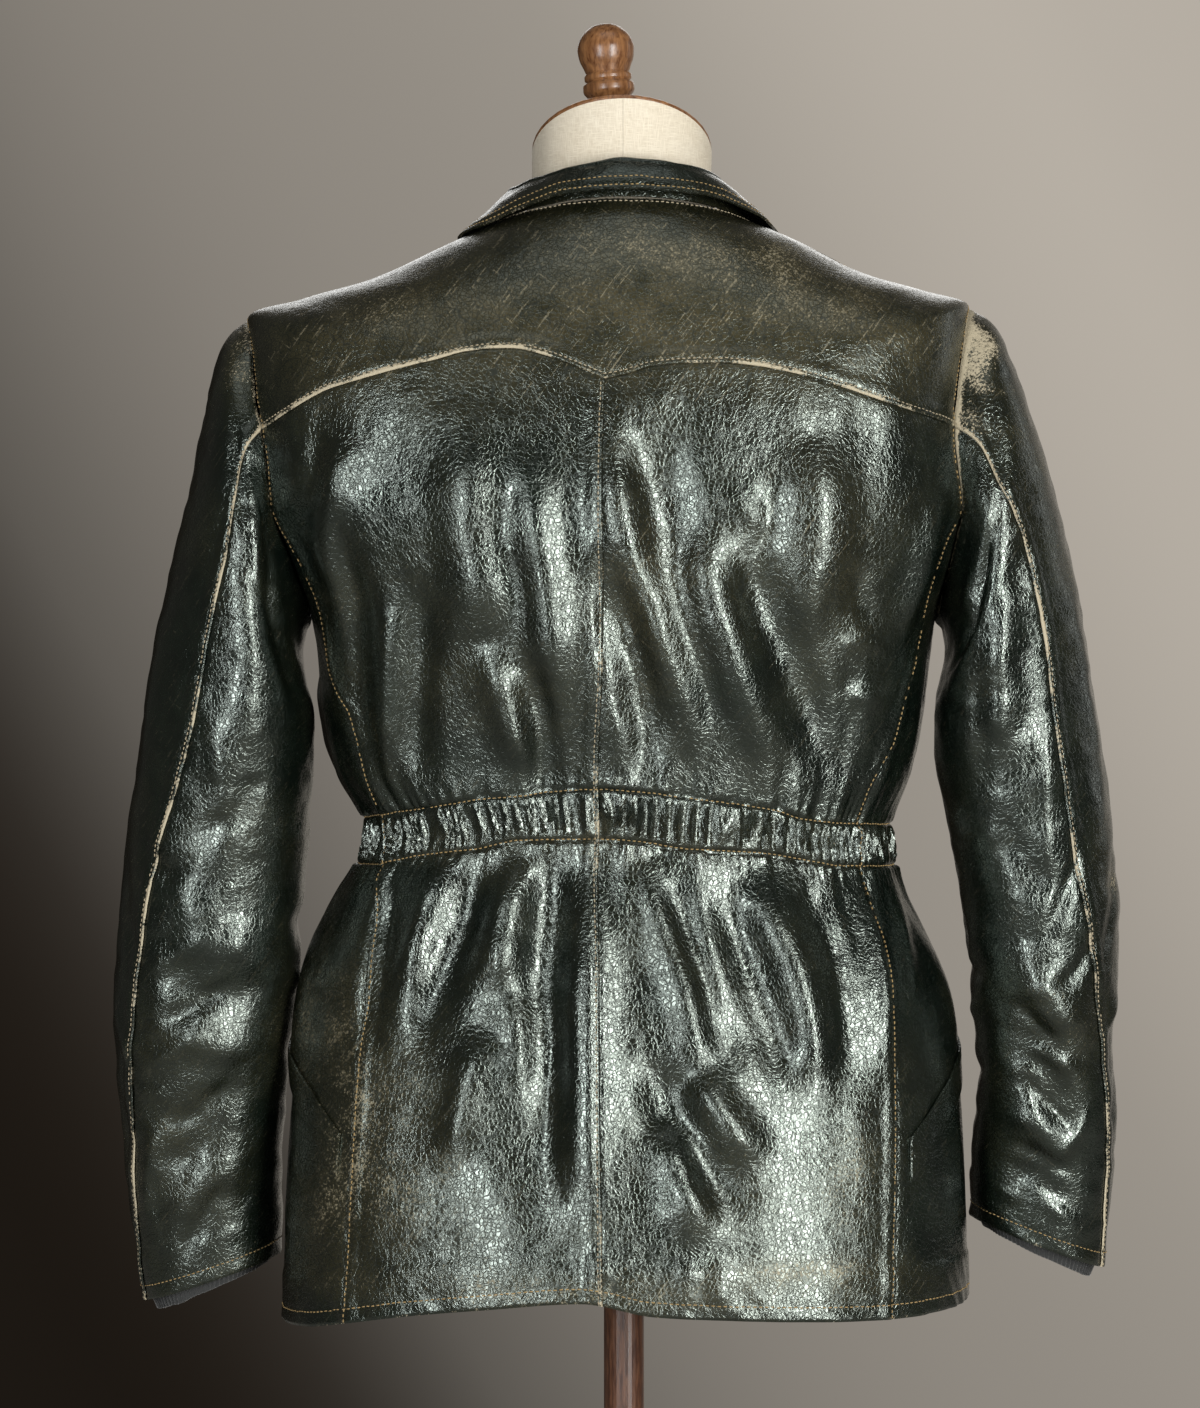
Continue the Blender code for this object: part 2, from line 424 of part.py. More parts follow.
def wall(name, outer, inner, surface="leather"):
    """A closed wall from rows of outer and inner points, bottom to top, left to right as seen from outside."""
    points = []
    index_out = []
    index_in = []
    for rows, index in ((outer, index_out), (inner, index_in)):
        for row in rows:
            index.append(list(range(len(points), len(points) + len(row))))
            points.extend(row)
    skin = []
    for low, high in zip(index_out[:-1], index_out[1:]):
        if len(low) == len(high):
            for i in range(len(low) - 1):
                a, b, c, d = low[i], low[i + 1], high[i + 1], high[i]
                rising = np.subtract(points[c], points[a])
                falling = np.subtract(points[d], points[b])
                if rising @ rising < falling @ falling:
                    skin.extend([(a, b, c), (a, c, d)])
                else:
                    skin.extend([(a, b, d), (b, c, d)])
        elif len(high) > len(low):
            for i in range(len(low) - 1):
                skin.append((low[i], high[2 * i + 1], high[2 * i]))
                skin.append((low[i], low[i + 1], high[2 * i + 1]))
                skin.append((low[i + 1], high[2 * i + 2], high[2 * i + 1]))
        else:
            for i in range(len(high) - 1):
                skin.append((high[i], low[2 * i], low[2 * i + 1]))
                skin.append((high[i], low[2 * i + 1], high[i + 1]))
                skin.append((high[i + 1], low[2 * i + 1], low[2 * i + 2]))
    # The inside is split along the same diagonals, so the wall keeps its thickness in a fold.
    to_inside = index_in[0][0]
    faces = skin + [(c + to_inside, b + to_inside, a + to_inside) for a, b, c in skin]
    loops = []
    for index in (index_out, index_in):
        right = [row[-1] for row in index[1:-1]]
        left = [row[0] for row in index[1:-1]]
        loops.append(index[0] + right + index[-1][::-1] + left[::-1])
    count = len(loops[0])
    for i in range(count):
        j = (i + 1) % count
        a, b, c, d = loops[0][j], loops[0][i], loops[1][i], loops[1][j]
        # Neighbours split a twisted rim the same way: from the lower outer point.
        if points[b][2] < points[a][2]:
            faces.extend([(a, b, d), (b, c, d)])
        else:
            faces.extend([(a, b, c), (a, c, d)])
    return mesh_object(name, points, faces, surface)


# ---------------------------------------------------------------- rows shared by all torso panels
LOW_ROWS = (0.0, 0.07, 0.18, 0.30, 0.42, 0.54, 0.66, 0.78, 0.90)
BAND_ROWS = (0.2, 0.5, 0.8)
MIDDLE_ROWS = (0.0, 0.16, 0.36, 0.58, 0.80, 1.0)
MIDDLE_LEVEL = 7.0
PRINCESS_LEVEL = 6.15
EDGE_LEVEL = 5.25
UPPER_ROWS = (0.34, 0.67, 1.0)
YOKE_LEVELS = (5.25, 4.75, 4.30, 4.00, 3.10, 2.20, 1.20, 0.0)


def yoke_line(angle):
    """Level of the yoke seam, which comes to a point at the centre seam."""
    left = smooth(YOKE_SEAM[:YOKE_TIP + 1], 1, angle)
    right = smooth(YOKE_SEAM[YOKE_TIP:], 1, angle)
    return np.where(np.asarray(angle) < YOKE_SEAM[YOKE_TIP][0], left, right)


def hem_level(angle):
    return smooth(HEM, 1, angle)


def low_levels(angle):
    """Levels of the rows from the hem to the lower line of waist stitches."""
    hem = hem_level(angle)
    waist = smooth(WAIST_BOTTOM, 1, angle)
    return [hem + (waist - hem) * share for share in LOW_ROWS] + [waist]


def band_levels(angle):
    low = smooth(WAIST_BOTTOM, 1, angle)
    high = smooth(WAIST_TOP, 1, angle)
    return [low + (high - low) * share for share in BAND_ROWS]


def middle_levels(angle):
    """Levels from the upper waist stitches to the armpit's height."""
    low = smooth(WAIST_TOP, 1, angle)
    return [low + (MIDDLE_LEVEL - low) * share for share in MIDDLE_ROWS]


def armhole_angle(level):
    return smooth(ARMHOLE_EDGE, 1, level)


def armhole_level(angle):
    """Level of the lower half of the armhole's edge at an angle of 67.9 to 112.1 degrees."""
    lower = [row[::-1] for row in ARMHOLE_EDGE if row[0] >= PRINCESS_LEVEL]
    return smooth(lower, 1, 90.0 - np.abs(90.0 - np.abs(angle)))


def settle(level_of, left_of, right_of, shares, edge_level):
    """Angles and levels of one row: its ends lie on two seams, and its level depends on the angle."""
    ends = []
    for seam in (left_of, right_of):
        angle = float(seam(edge_level))
        for _ in range(15):
            angle = float(seam(float(level_of(angle))))
        ends.append(angle)
    angle = ends[0] * (1 - shares) + ends[1] * shares
    return angle, level_of(angle)


EDGE_POINTS = []
EDGE_NORMALS = []
EDGE_SHIFTS = []


def torso_rows(places, doubled=()):
    """Outer and inner rows of a panel. Odd columns of the doubled rows are raised as gathers."""
    angle = np.concatenate([a for a, _ in places])
    level = np.concatenate([v for _, v in places])
    face = body(angle, level)
    out = body_normal(angle, level)
    gap = np.linalg.norm(face[:, None] - np.array(EDGE_POINTS)[None], axis=-1)
    nearest = gap.argmin(axis=1)
    at_edge = gap.min(axis=1) < 2e-5
    out[at_edge] = np.array(EDGE_NORMALS)[nearest[at_edge]]
    face[at_edge] = face[at_edge] + np.array(EDGE_SHIFTS)[nearest[at_edge]]
    back = face - out * WALL
    lift = [np.zeros(len(a)) for a, _ in places]
    for r in doubled:
        free = np.clip((172.0 - np.abs(places[r][0])) / 4.0, 0.0, 1.0)
        lift[r][1::2] = (free * GATHER_HEIGHT * (1.0 if r == doubled[1] else 0.75))[1::2]
    face = face + out * np.concatenate(lift)[:, None]
    cuts = np.cumsum([len(a) for a, _ in places])[:-1]
    return inset(np.split(face, cuts)), inset(np.split(back, cuts))


def torso_places(left_of, right_of, columns, top):
    """Rows of angles and levels for a panel from the hem to the princess level, then its own top rows."""
    shares = np.linspace(0.0, 1.0, columns + 1)
    fine = np.linspace(0.0, 1.0, 2 * columns + 1)
    places = []
    for i in range(len(LOW_ROWS) + 1):
        places.append(settle(lambda a: low_levels(a)[i], left_of, right_of, shares, 12.0))
    first = len(places)
    for i in range(len(BAND_ROWS)):
        places.append(settle(lambda a: band_levels(a)[i], left_of, right_of, fine, 10.0))
    for i in range(len(MIDDLE_ROWS)):
        places.append(settle(lambda a: middle_levels(a)[i], left_of, right_of, shares, 8.5))
    for level_of, edge in top:
        places.append(settle(level_of, left_of, right_of, shares, edge))
    return places, (first, first + 1, first + 2)


def level_line(value):
    return lambda angle: np.full(np.shape(angle), value)


UNDER_LEVELS = (6.72, 6.43, PRINCESS_LEVEL)


# ---------------------------------------------------------------- sleeves
def sleeve_ring(table, row, angle):
    """Point of a sleeve's plain tube at a row of its table and an angle in degrees, 0 at its outer side, 90 behind."""
    row, angle = np.broadcast_arrays(np.asarray(row, float), np.asarray(angle, float))
    x_out, z_out, x_in, z_in, y_mid, depth = (smooth(table, i, row) for i in range(1, 7))
    cos = np.cos(np.radians(angle))
    sin = np.sin(np.radians(angle))
    across = cos * (1 + 0.06 * sin * sin)
    deep = sin * (1 + 0.06 * cos * cos)
    x = (x_out + x_in) / 2 + (x_out - x_in) / 2 * across
    z = (z_out + z_in) / 2 + (z_out - z_in) / 2 * across
    return np.stack([x, y_mid - depth * deep, z], -1)


def armhole_loop(side):
    """Angles and levels round the armhole, from the shoulder point down the back and up the front."""
    shares = np.linspace(0.0, 1.0, SIDE_COLUMNS + 1)
    under = 67.9 + (112.1 - 67.9) * shares
    down = [(90.0, 4.0)]
    for level in YOKE_LEVELS[2::-1]:
        down.append((float(armhole_angle(level)), level))
    for share in UPPER_ROWS[:-1][::-1]:
        level = PRINCESS_LEVEL + (EDGE_LEVEL - PRINCESS_LEVEL) * share
        down.append((float(armhole_angle(level)), level))
    up = [(180.0 - a, s) for a, s in down[:0:-1]]
    middle = [(a, float(armhole_level(a))) for a in under]
    loop = down + middle + up
    return np.array([side * a for a, _ in loop]), np.array([s for _, s in loop])


BACK_SEAM_INDEX = 3
FRONT_SEAM_INDEX = BACK_SEAM_INDEX + 2 * (len(UPPER_ROWS) - 1) + SIDE_COLUMNS + 2


def sleeve_angles(table, loop_points, row):
    """Angles of the sleeve's columns at one row: the two seams follow the table."""
    first = table[0]
    centre = np.array([(first[1] + first[3]) / 2, first[5], (first[2] + first[4]) / 2])
    reach = np.array([(first[1] - first[3]) / 2, 0.0, (first[2] - first[4]) / 2])
    away = loop_points - centre
    start = np.degrees(np.arctan2(-away[:, 1] / first[6], away @ reach / (reach @ reach)))
    start = np.where(np.arange(len(start)) > 1, start % 360.0, start)
    back = float(smooth(table, 7, row))
    front = 360.0 + float(smooth(table, 8, row))
    b, f = BACK_SEAM_INDEX, FRONT_SEAM_INDEX
    knots = [start[0], start[b], start[f], start[0] + 360.0]
    targets = [0.0, back, front, 360.0]
    fade = min(1.0, row / 2.0)
    moved = np.interp(start, knots, targets)
    return start * (1 - fade) + moved * fade


def sleeve_points(table, folds, loop_points, row):
    angle = sleeve_angles(table, loop_points, row)
    plain = sleeve_ring(table, row, angle)
    off = loop_points - sleeve_ring(table, 0.0, sleeve_angles(table, loop_points, 0.0))
    fade = max(0.0, 1.0 - row / 3.0) ** 2
    plain = plain + off * fade
    centre = plain.mean(axis=0)
    out = plain - centre
    out[:, 2] *= 0.3
    out = out / np.linalg.norm(out, axis=-1, keepdims=True)
    scaled = [
        (r1 * 0.055, math.radians(a1) * 0.06, r2 * 0.055, math.radians(a2) * 0.06,
         r3 * 0.055, math.radians(a3) * 0.06, width, height)
        for r1, a1, r2, a2, r3, a3, width, height in folds
    ]
    height = fold_height(scaled, np.full(len(angle), row * 0.055), np.radians(angle) * 0.06)
    return plain + out * (height * min(1.0, row))[:, None]


def tube_normals(rings, r, side):
    """Outward directions on one ring of a tube, from the points next to them."""
    before = rings[max(r - 1, 0)]
    after = rings[min(r + 1, len(rings) - 1)]
    along = after - before
    round_it = np.roll(rings[r], -1, axis=0) - np.roll(rings[r], 1, axis=0)
    out = np.cross(round_it, along) * side
    return out / np.linalg.norm(out, axis=-1, keepdims=True)


SLEEVE_STEPS = (0.0, 0.5, 1.0, 1.7, 2.5, 3.4, 4.4, 5.4, 6.4, 7.3, 8.1, 8.9, 9.7, 10.5, 11.3, 12.0)


def sleeve_rings(side):
    table, folds = (SLEEVE_LEFT, SLEEVE_FOLDS_LEFT) if side < 0 else (SLEEVE_RIGHT, SLEEVE_FOLDS_RIGHT)
    angle, level = armhole_loop(side)
    loop = body(angle, level)
    last = table[-1][0]
    rings = [sleeve_points(table, folds, loop, step * last / 12.0) for step in SLEEVE_STEPS]
    return angle, level, rings


def closed_strip(rings, picked):
    return [ring[picked] for ring in rings]


# ---------------------------------------------------------------- sleeves and armhole edges
SLEEVES = {}
for side, word in ((-1, "left"), (1, "right")):
    loop_angle, loop_level, rings = sleeve_rings(side)
    normals = [tube_normals(rings, r, side) for r in range(len(rings))]
    torso_out = body_normal(loop_angle, loop_level)
    # Where the seam is convex both walls share one direction inwards, mitred.
    both = normals[0] + torso_out
    size = np.linalg.norm(both, axis=-1, keepdims=True)
    shared = both / size * np.minimum(2.0 / size, 1.4)
    falls = ((rings[1] - rings[0]) * torso_out).sum(axis=-1, keepdims=True) < 0
    # Each wall moves half a seam gap away from the other.
    round_it = np.roll(rings[0], -1, axis=0) - np.roll(rings[0], 1, axis=0)
    into_torso = -side * np.cross(torso_out, round_it)
    into_torso = into_torso / np.linalg.norm(into_torso, axis=-1, keepdims=True)
    into_sleeve = rings[1] - rings[0]
    into_sleeve = into_sleeve / np.linalg.norm(into_sleeve, axis=-1, keepdims=True)
    apart = into_torso - into_sleeve
    apart = apart / np.linalg.norm(apart, axis=-1, keepdims=True) * SEAM_HALF
    EDGE_POINTS.extend(rings[0])
    EDGE_NORMALS.extend(np.where(falls, shared, torso_out))
    EDGE_SHIFTS.extend(apart)
    normals[0] = np.where(falls, shared, normals[0])
    rings[0] = rings[0] - apart
    inner_rings = [ring - out * WALL for ring, out in zip(rings, normals)]
    SLEEVES[word] = (rings, inner_rings)
    count = len(rings[0])
    upper = [i % count for i in range(FRONT_SEAM_INDEX, count + BACK_SEAM_INDEX + 1)]
    under = list(range(BACK_SEAM_INDEX, FRONT_SEAM_INDEX + 1))
    for piece, picked in (("upper", upper), ("under", under)):
        columns = picked[::-1] if side > 0 else picked
        outer = [ring[columns] for ring in rings[::-1]]
        inner = [ring[columns] for ring in inner_rings[::-1]]
        wall(f"sleeve_{piece}_{word}", inset(outer), inset(inner))


def lap_raise(angle):
    """How far the left front stands out over the right one near the middle."""
    near = np.clip((-np.asarray(angle, float) - 160.0) / 12.0, 0.0, 1.0)
    return near * near * (3 - 2 * near) * (WALL + REST_GAP + 0.0012)


# ---------------------------------------------------------------- torso panels
FRONT_FACE = []
for side, word, princess in ((-1, "left", PRINCESS_LEFT), (1, "right", PRINCESS_RIGHT)):
    def centre_seam(level):
        return smooth(CENTRE_SEAM, 1, level)

    def princess_seam(level, rows=princess):
        return smooth(rows, 1, level)

    def back_edge(level, side=side, rows=princess):
        return side * float(armhole_angle(level)) if level < PRINCESS_LEVEL + 1e-9 else smooth(rows, 1, level)

    def front_seam(level, side=side):
        return side * smooth(SIDE_FRONT, 1, level)

    tops = [(level_line(v), v) for v in UNDER_LEVELS]
    for share in UPPER_ROWS:
        def upper_level(angle, share=share):
            return PRINCESS_LEVEL + (yoke_line(angle) - PRINCESS_LEVEL) * share
        tops.append((upper_level, 5.7))
    ends = (back_edge, centre_seam) if side < 0 else (centre_seam, back_edge)
    places, doubled = torso_places(*ends, BACK_COLUMNS, tops)
    outer, inner = torso_rows(places, doubled)
    wall(f"back_{word}", outer, inner)

    ends = (front_seam, princess_seam) if side < 0 else (princess_seam, front_seam)
    places, doubled = torso_places(*ends, SIDE_COLUMNS, [])
    # Rows above the waist sink towards the armpit between the panel's two seams.
    rows = []
    for r, (angle, level) in enumerate(places):
        low_edge = armhole_level(np.clip(np.abs(angle), 67.9, 112.1)) - PRINCESS_LEVEL
        sink = np.clip((8.6 - level) / 1.6, 0.0, 1.0) * 0.32 * low_edge / (MIDDLE_LEVEL - PRINCESS_LEVEL)
        sink[0] = 0.0
        sink[-1] = 0.0
        rows.append((angle, level + sink if r > doubled[-1] + 1 else level))
    for edge in UNDER_LEVELS:
        share = (MIDDLE_LEVEL - edge) / (MIDDLE_LEVEL - PRINCESS_LEVEL)
        steps = np.linspace(0.0, 1.0, SIDE_COLUMNS + 1)
        angle = float(ends[0](edge)) * (1 - steps) + float(ends[1](edge)) * steps
        top_level = armhole_level(np.clip(np.abs(angle), 67.9, 112.1))
        level = rows[len(places) - 1][1] * (1 - share) + top_level * share
        level[0] = edge
        level[-1] = edge
        rows.append((angle, level))
    outer, inner = torso_rows(rows, doubled)
    wall(f"side_{word}", outer, inner)

    # The pocket welt lies on the side panel: its points are the panel's own, moved out.
    over = []
    under = []
    plain_rows = [r for r in range(len(rows)) if r not in doubled]
    for lift in (WELT_WIDTH_LEVELS, WELT_WIDTH_LEVELS / 2, 0.0):
        line = []
        for column in [0.3] + list(range(1, SIDE_COLUMNS)) + [SIDE_COLUMNS - 0.3]:
            low = int(min(column, SIDE_COLUMNS - 1))
            part = column - low
            spot = np.array([outer[r][low] * (1 - part) + outer[r][low + 1] * part for r in plain_rows])
            angle = np.array([rows[r][0][low] * (1 - part) + rows[r][0][low + 1] * part for r in plain_rows])
            level = np.array([rows[r][1][low] * (1 - part) + rows[r][1][low + 1] * part for r in plain_rows])
            goal = straight(POCKET_LINE, np.abs(angle)) + lift - level
            k = int(np.argmax(goal > 0))
            mix = goal[k - 1] / (goal[k - 1] - goal[k])
            place = spot[k - 1] * (1 - mix) + spot[k] * mix
            turn = angle[k - 1] * (1 - mix) + angle[k] * mix
            rise = level[k - 1] * (1 - mix) + level[k] * mix
            line.append((place, body_normal(np.array([turn]), np.array([rise]))[0]))
        under.append(np.array([p + n * WELT_GAP for p, n in line]))
        over.append(np.array([p + n * (WELT_GAP + WELT_THICK) for p, n in line]))
    wall(f"pocket_{word}", over, under)

    def front_edge(level, side=side):
        if level > PRINCESS_LEVEL - 1e-9:
            return side * smooth(SIDE_FRONT, 1, level)
        return side * (90.0 if level <= 4.0 else 180.0 - float(armhole_angle(level)))

    def middle_edge(level, side=side):
        reach = float(plain_body(90.0, level)[0])
        return side * (180.0 + math.degrees(FRONT_LAP / (1.1 * reach)))

    tops = [(level_line(v), v) for v in UNDER_LEVELS]
    for share in UPPER_ROWS:
        value = PRINCESS_LEVEL + (EDGE_LEVEL - PRINCESS_LEVEL) * share
        tops.append((level_line(value), value))
    for value in YOKE_LEVELS[1:]:
        tops.append((level_line(value), value))
    ends = (middle_edge, front_edge) if side < 0 else (front_edge, middle_edge)
    places, doubled = torso_places(*ends, FRONT_COLUMNS, tops)
    outer, inner = torso_rows(places, doubled)
    if side < 0:
        lifts = [body_normal(a, v) * lap_raise(a)[:, None] for a, v in places]
        outer = [row + lift for row, lift in zip(outer, lifts)]
        inner = [row + lift for row, lift in zip(inner, lifts)]
        FRONT_FACE.extend(outer[r] for r in range(len(outer)) if r not in doubled)
    wall(f"front_{word}", outer, inner)

# ---------------------------------------------------------------- back yoke
places = []
half_steps = np.linspace(0.0, 1.0, BACK_COLUMNS + 1)
for edge_level in YOKE_LEVELS:
    def yoke_level(angle, share=edge_level / EDGE_LEVEL):
        return yoke_line(angle) * share

    edge = 90.0 if edge_level <= 4.0 else float(armhole_angle(edge_level))
    halves = []
    for left_of, right_of in (
        (lambda level: -edge, lambda level: smooth(CENTRE_SEAM, 1, level)),
        (lambda level: smooth(CENTRE_SEAM, 1, level), lambda level: edge),
    ):
        halves.append(settle(yoke_level, left_of, right_of, half_steps, 4.1)[0])
    angle = np.concatenate([halves[0], halves[1][1:]])
    places.append((angle, yoke_level(angle)))
outer, inner = torso_rows(places)
wall("back_yoke", outer, inner)

# ---------------------------------------------------------------- collar, one wall folded over
stations = np.concatenate([
    np.linspace(-166.0, -90.0, 6), np.linspace(-90.0, 90.0, 17)[1:-1], np.linspace(90.0, 166.0, 6),
])
fold_top = np.stack([smooth(COLLAR, i, stations) for i in (1, 2, 3)], -1)
edge_level = smooth(COLLAR, 4, stations)
edge_lift = smooth(COLLAR, 5, stations) + lap_raise(stations)
leaf_edge = body(stations, edge_level) + body_normal(stations, edge_level) * edge_lift[:, None]
neck = body(stations, 0.0 * stations)
neck = neck + body_normal(stations, 0.0 * stations) * (lap_raise(stations) - WALL / 2)[:, None]
neck[:, 2] += 0.0012
# the leaf is a little full at the back and hollow beside the neck
leaf_rise = 0.0012 - 0.0042 * np.exp(-((np.abs(stations + 5.0) - 90.0) / 28.0) ** 2) * (stations < 0)
along = np.gradient(fold_top, axis=0)
outward = np.stack([along[:, 1], -along[:, 0], 0 * stations], -1)
outward = outward / np.linalg.norm(outward, axis=-1, keepdims=True)
up = np.array([0.0, 0.0, 1.0])
bend = fold_top - up * (COLLAR_RADIUS + COLLAR_WALL / 2)
leaf_top = bend + outward * COLLAR_RADIUS
stand_top = bend - outward * COLLAR_RADIUS
path = [
    leaf_edge,
    leaf_edge * 0.5 + leaf_top * 0.5 + outward * 0.0012 + up * leaf_rise[:, None],
    leaf_top,
    bend + COLLAR_RADIUS * (0.5 * outward + 0.866 * up),
    bend + COLLAR_RADIUS * (-0.5 * outward + 0.866 * up),
    stand_top,
    stand_top * 0.5 + neck * 0.5,
    neck,
]
path = np.array(path)
across = np.gradient(path, axis=1)
rise = np.gradient(path, axis=0)
out = np.cross(across, rise)
out = out / np.linalg.norm(out, axis=-1, keepdims=True)
wall("collar", list(path + out * COLLAR_WALL / 2), list(path - out * COLLAR_WALL / 2))

# ---------------------------------------------------------------- knitted wind cuffs
for side, word in ((-1, "left"), (1, "right")):
    inner_rings = SLEEVES[word][1]
    outer_rows = []
    inner_rows = []
    # sleeve ring counted from the cuff's edge, distance inside the sleeve, drop below it
    for ring, inside, drop in ((-2, 0.0005, 0.0), (-1, 0.0040, 0.0), (-1, 0.0070, KNIT_OVERHANG)):
        corners = inner_rings[ring]
        between = (corners + np.roll(corners, -1, axis=0)) / 2
        line = np.stack([corners, between], 1).reshape(-1, 3)
        toward = line.mean(axis=0) - line
        toward[:, 2] = 0.0
        toward = toward / np.linalg.norm(toward, axis=-1, keepdims=True)
        groove = np.where(np.arange(len(line)) % 2 == 0, KNIT_RIB, 0.0)
        valley = line + toward * inside
        valley[:, 2] -= drop
        outer_rows.append(valley + toward * groove[:, None])
        inner_rows.append(valley + toward * (KNIT_WALL + KNIT_RIB))
    points = np.concatenate(outer_rows + inner_rows)
    n = len(outer_rows[0])
    faces = []
    for j in range(n):
        k = (j + 1) % n
        for r in range(2):
            a, b, c, d = r * n + j, r * n + k, (r + 1) * n + k, (r + 1) * n + j
            e = 3 * n
            faces.append((a, b, c, d))
            faces.append((e + d, e + c, e + b, e + a))
        faces.append((k, j, 3 * n + j, 3 * n + k))
        faces.append((2 * n + j, 2 * n + k, 5 * n + k, 5 * n + j))
    if side < 0:
        faces = [face[::-1] for face in faces]
    mesh_object(f"wind_cuff_{word}", points, faces, "knit")

# ---------------------------------------------------------------- dress form
turn = -180.0 + np.arange(32) * 11.25
sin = np.sin(np.radians(turn))
cos = np.cos(np.radians(turn))
rings = []
for z_back, z_side, z_front, x_left, x_right, y_side, y_back, y_front in FORM_LOW:
    x = np.where(sin < 0, x_left, x_right) * sin * (1 + 0.12 * cos * cos)
    y = y_side + (np.where(cos > 0, y_back, y_front) - y_side) * np.abs(cos) * (1 + 0.12 * sin * sin)
    z = z_side + (np.where(cos > 0, z_back, z_front) - z_side) * cos * cos
    rings.append(np.stack([x, y, z], -1))
for level in FORM_SHOULDER_LEVELS:
    ridge = np.clip((np.abs(sin) - 0.985) / 0.01, 0.0, 1.0)
    depth = WALL + 2 * REST_GAP + (1 - ridge) * (0.0055 + 0.0080 * np.clip(-2 * cos, 0.0, 1.0))
    rings.append(plain_body(turn, level) - plain_normal(turn, level) * depth[:, None])
for z_centre, x_left, x_right, y_middle, half_depth, tilt in FORM_NECK:
    x = np.where(sin < 0, x_left, x_right) * sin
    y = y_middle - half_depth * cos
    z = z_centre - math.tan(NECK_TILT) * tilt * (y - y_middle)
    rings.append(np.stack([x, y, z], -1))
n = len(turn)
points = np.concatenate(rings)
faces = []
for r in range(len(rings) - 1):
    for j in range(n):
        k = (j + 1) % n
        faces.append((r * n + j, r * n + k, (r + 1) * n + k, (r + 1) * n + j))
faces.append(tuple(range(n))[::-1])
faces.append(tuple(range((len(rings) - 1) * n, len(rings) * n)))
mesh_object("form", points, faces, "linen")

# ---------------------------------------------------------------- neck cap, finial, pole and base
_, cap_left, cap_right, cap_y, cap_depth, _ = FORM_NECK[-1]
cap_z = FORM_NECK[-1][0]
cap_x = (cap_right - cap_left) / 2


def place(made, scale=(1, 1, 1), turn_x=0.0, turn_y=0.0, at=(0, 0, 0)):
    """Moves an object's own points, so that its scale and rotation stay at rest."""
    move = Matrix.Translation(at) @ Matrix.Rotation(turn_y, 4, "Y") @ Matrix.Rotation(turn_x, 4, "X")
    made.data.transform(move @ Matrix.Diagonal((*scale, 1.0)))


def cylinder(name, surface, radius, depth, count, bevel=0.0, steps=2):
    bpy.ops.mesh.primitive_cylinder_add(vertices=count, radius=radius, depth=depth)
    made = bpy.context.active_object
    made.name = name
    made.data.name = name
    made.data.materials.append(surface_of(surface))
    for face in made.data.polygons:
        face.use_smooth = len(face.vertices) == 4
    if bevel:
        edge = made.modifiers.new("edge", "BEVEL")
        edge.width = bevel
        edge.segments = steps
        edge.limit_method = "ANGLE"
    return made


def lathe(name, surface, profile, steps, at, lean=0.0):
    """Turns an outline of heights and radii, top to bottom, about the vertical."""
    mesh = bpy.data.meshes.new(name)
    mesh.from_pydata([(r, 0.0, z) for z, r in profile], [(i, i + 1) for i in range(len(profile) - 1)], [])
    made = bpy.data.objects.new(name, mesh)
    bpy.context.scene.collection.objects.link(made)
    mesh.materials.append(surface_of(surface))
    turned = made.modifiers.new("turn", "SCREW")
    turned.steps = steps
    turned.render_steps = steps
    turned.use_merge_vertices = True
    turned.merge_threshold = 0.00001
    turned.use_smooth_shade = True
    made.rotation_euler = (0.0, lean, 0.0)
    made.location = at
    return made


tilt_up = np.array([0.0, math.sin(NECK_TILT), math.cos(NECK_TILT)])
cap = cylinder("neck_cap", "turned_wood", 1.0, 1.0, 40)
middle = np.array([cap_x, cap_y, cap_z]) + tilt_up * (REST_GAP + CAP_THICK / 2)
place(cap, ((cap_left + cap_right) / 2, cap_depth / math.cos(NECK_TILT), CAP_THICK), -NECK_TILT, 0.0, tuple(middle))
edge = cap.modifiers.new("edge", "BEVEL")
edge.width = 0.0009
edge.segments = 1
edge.limit_method = "ANGLE"

foot = np.array([-0.0069, cap_y, cap_z]) + np.array([0.0, 0.0, (REST_GAP * 2 + CAP_THICK) / math.cos(NECK_TILT)])
finial = lathe("finial", "turned_wood", FINIAL, 24, tuple(foot), FINIAL_LEAN)
cutter = cylinder("foot_cut", "turned_wood", 0.06, 0.03, 32)
place(cutter, (1, 1, 1), -NECK_TILT, 0.0, tuple(foot - tilt_up * 0.015))
cutter.hide_render = True
cutter.display_type = "WIRE"
cut = finial.modifiers.new("foot", "BOOLEAN")
cut.operation = "DIFFERENCE"
cut.solver = "EXACT"
cut.object = cutter

lathe("stand_base", "dark_wood", BASE[::-1], 40, (0.0, 0.0, 0.0))
base_top = BASE[-1][0]
pole_length = FORM_BOTTOM - base_top - 2 * REST_GAP
pole = cylinder("pole", "dark_wood", POLE_RADIUS, pole_length, 32)
place(pole, at=(0.0, 0.0, base_top + REST_GAP + pole_length / 2))

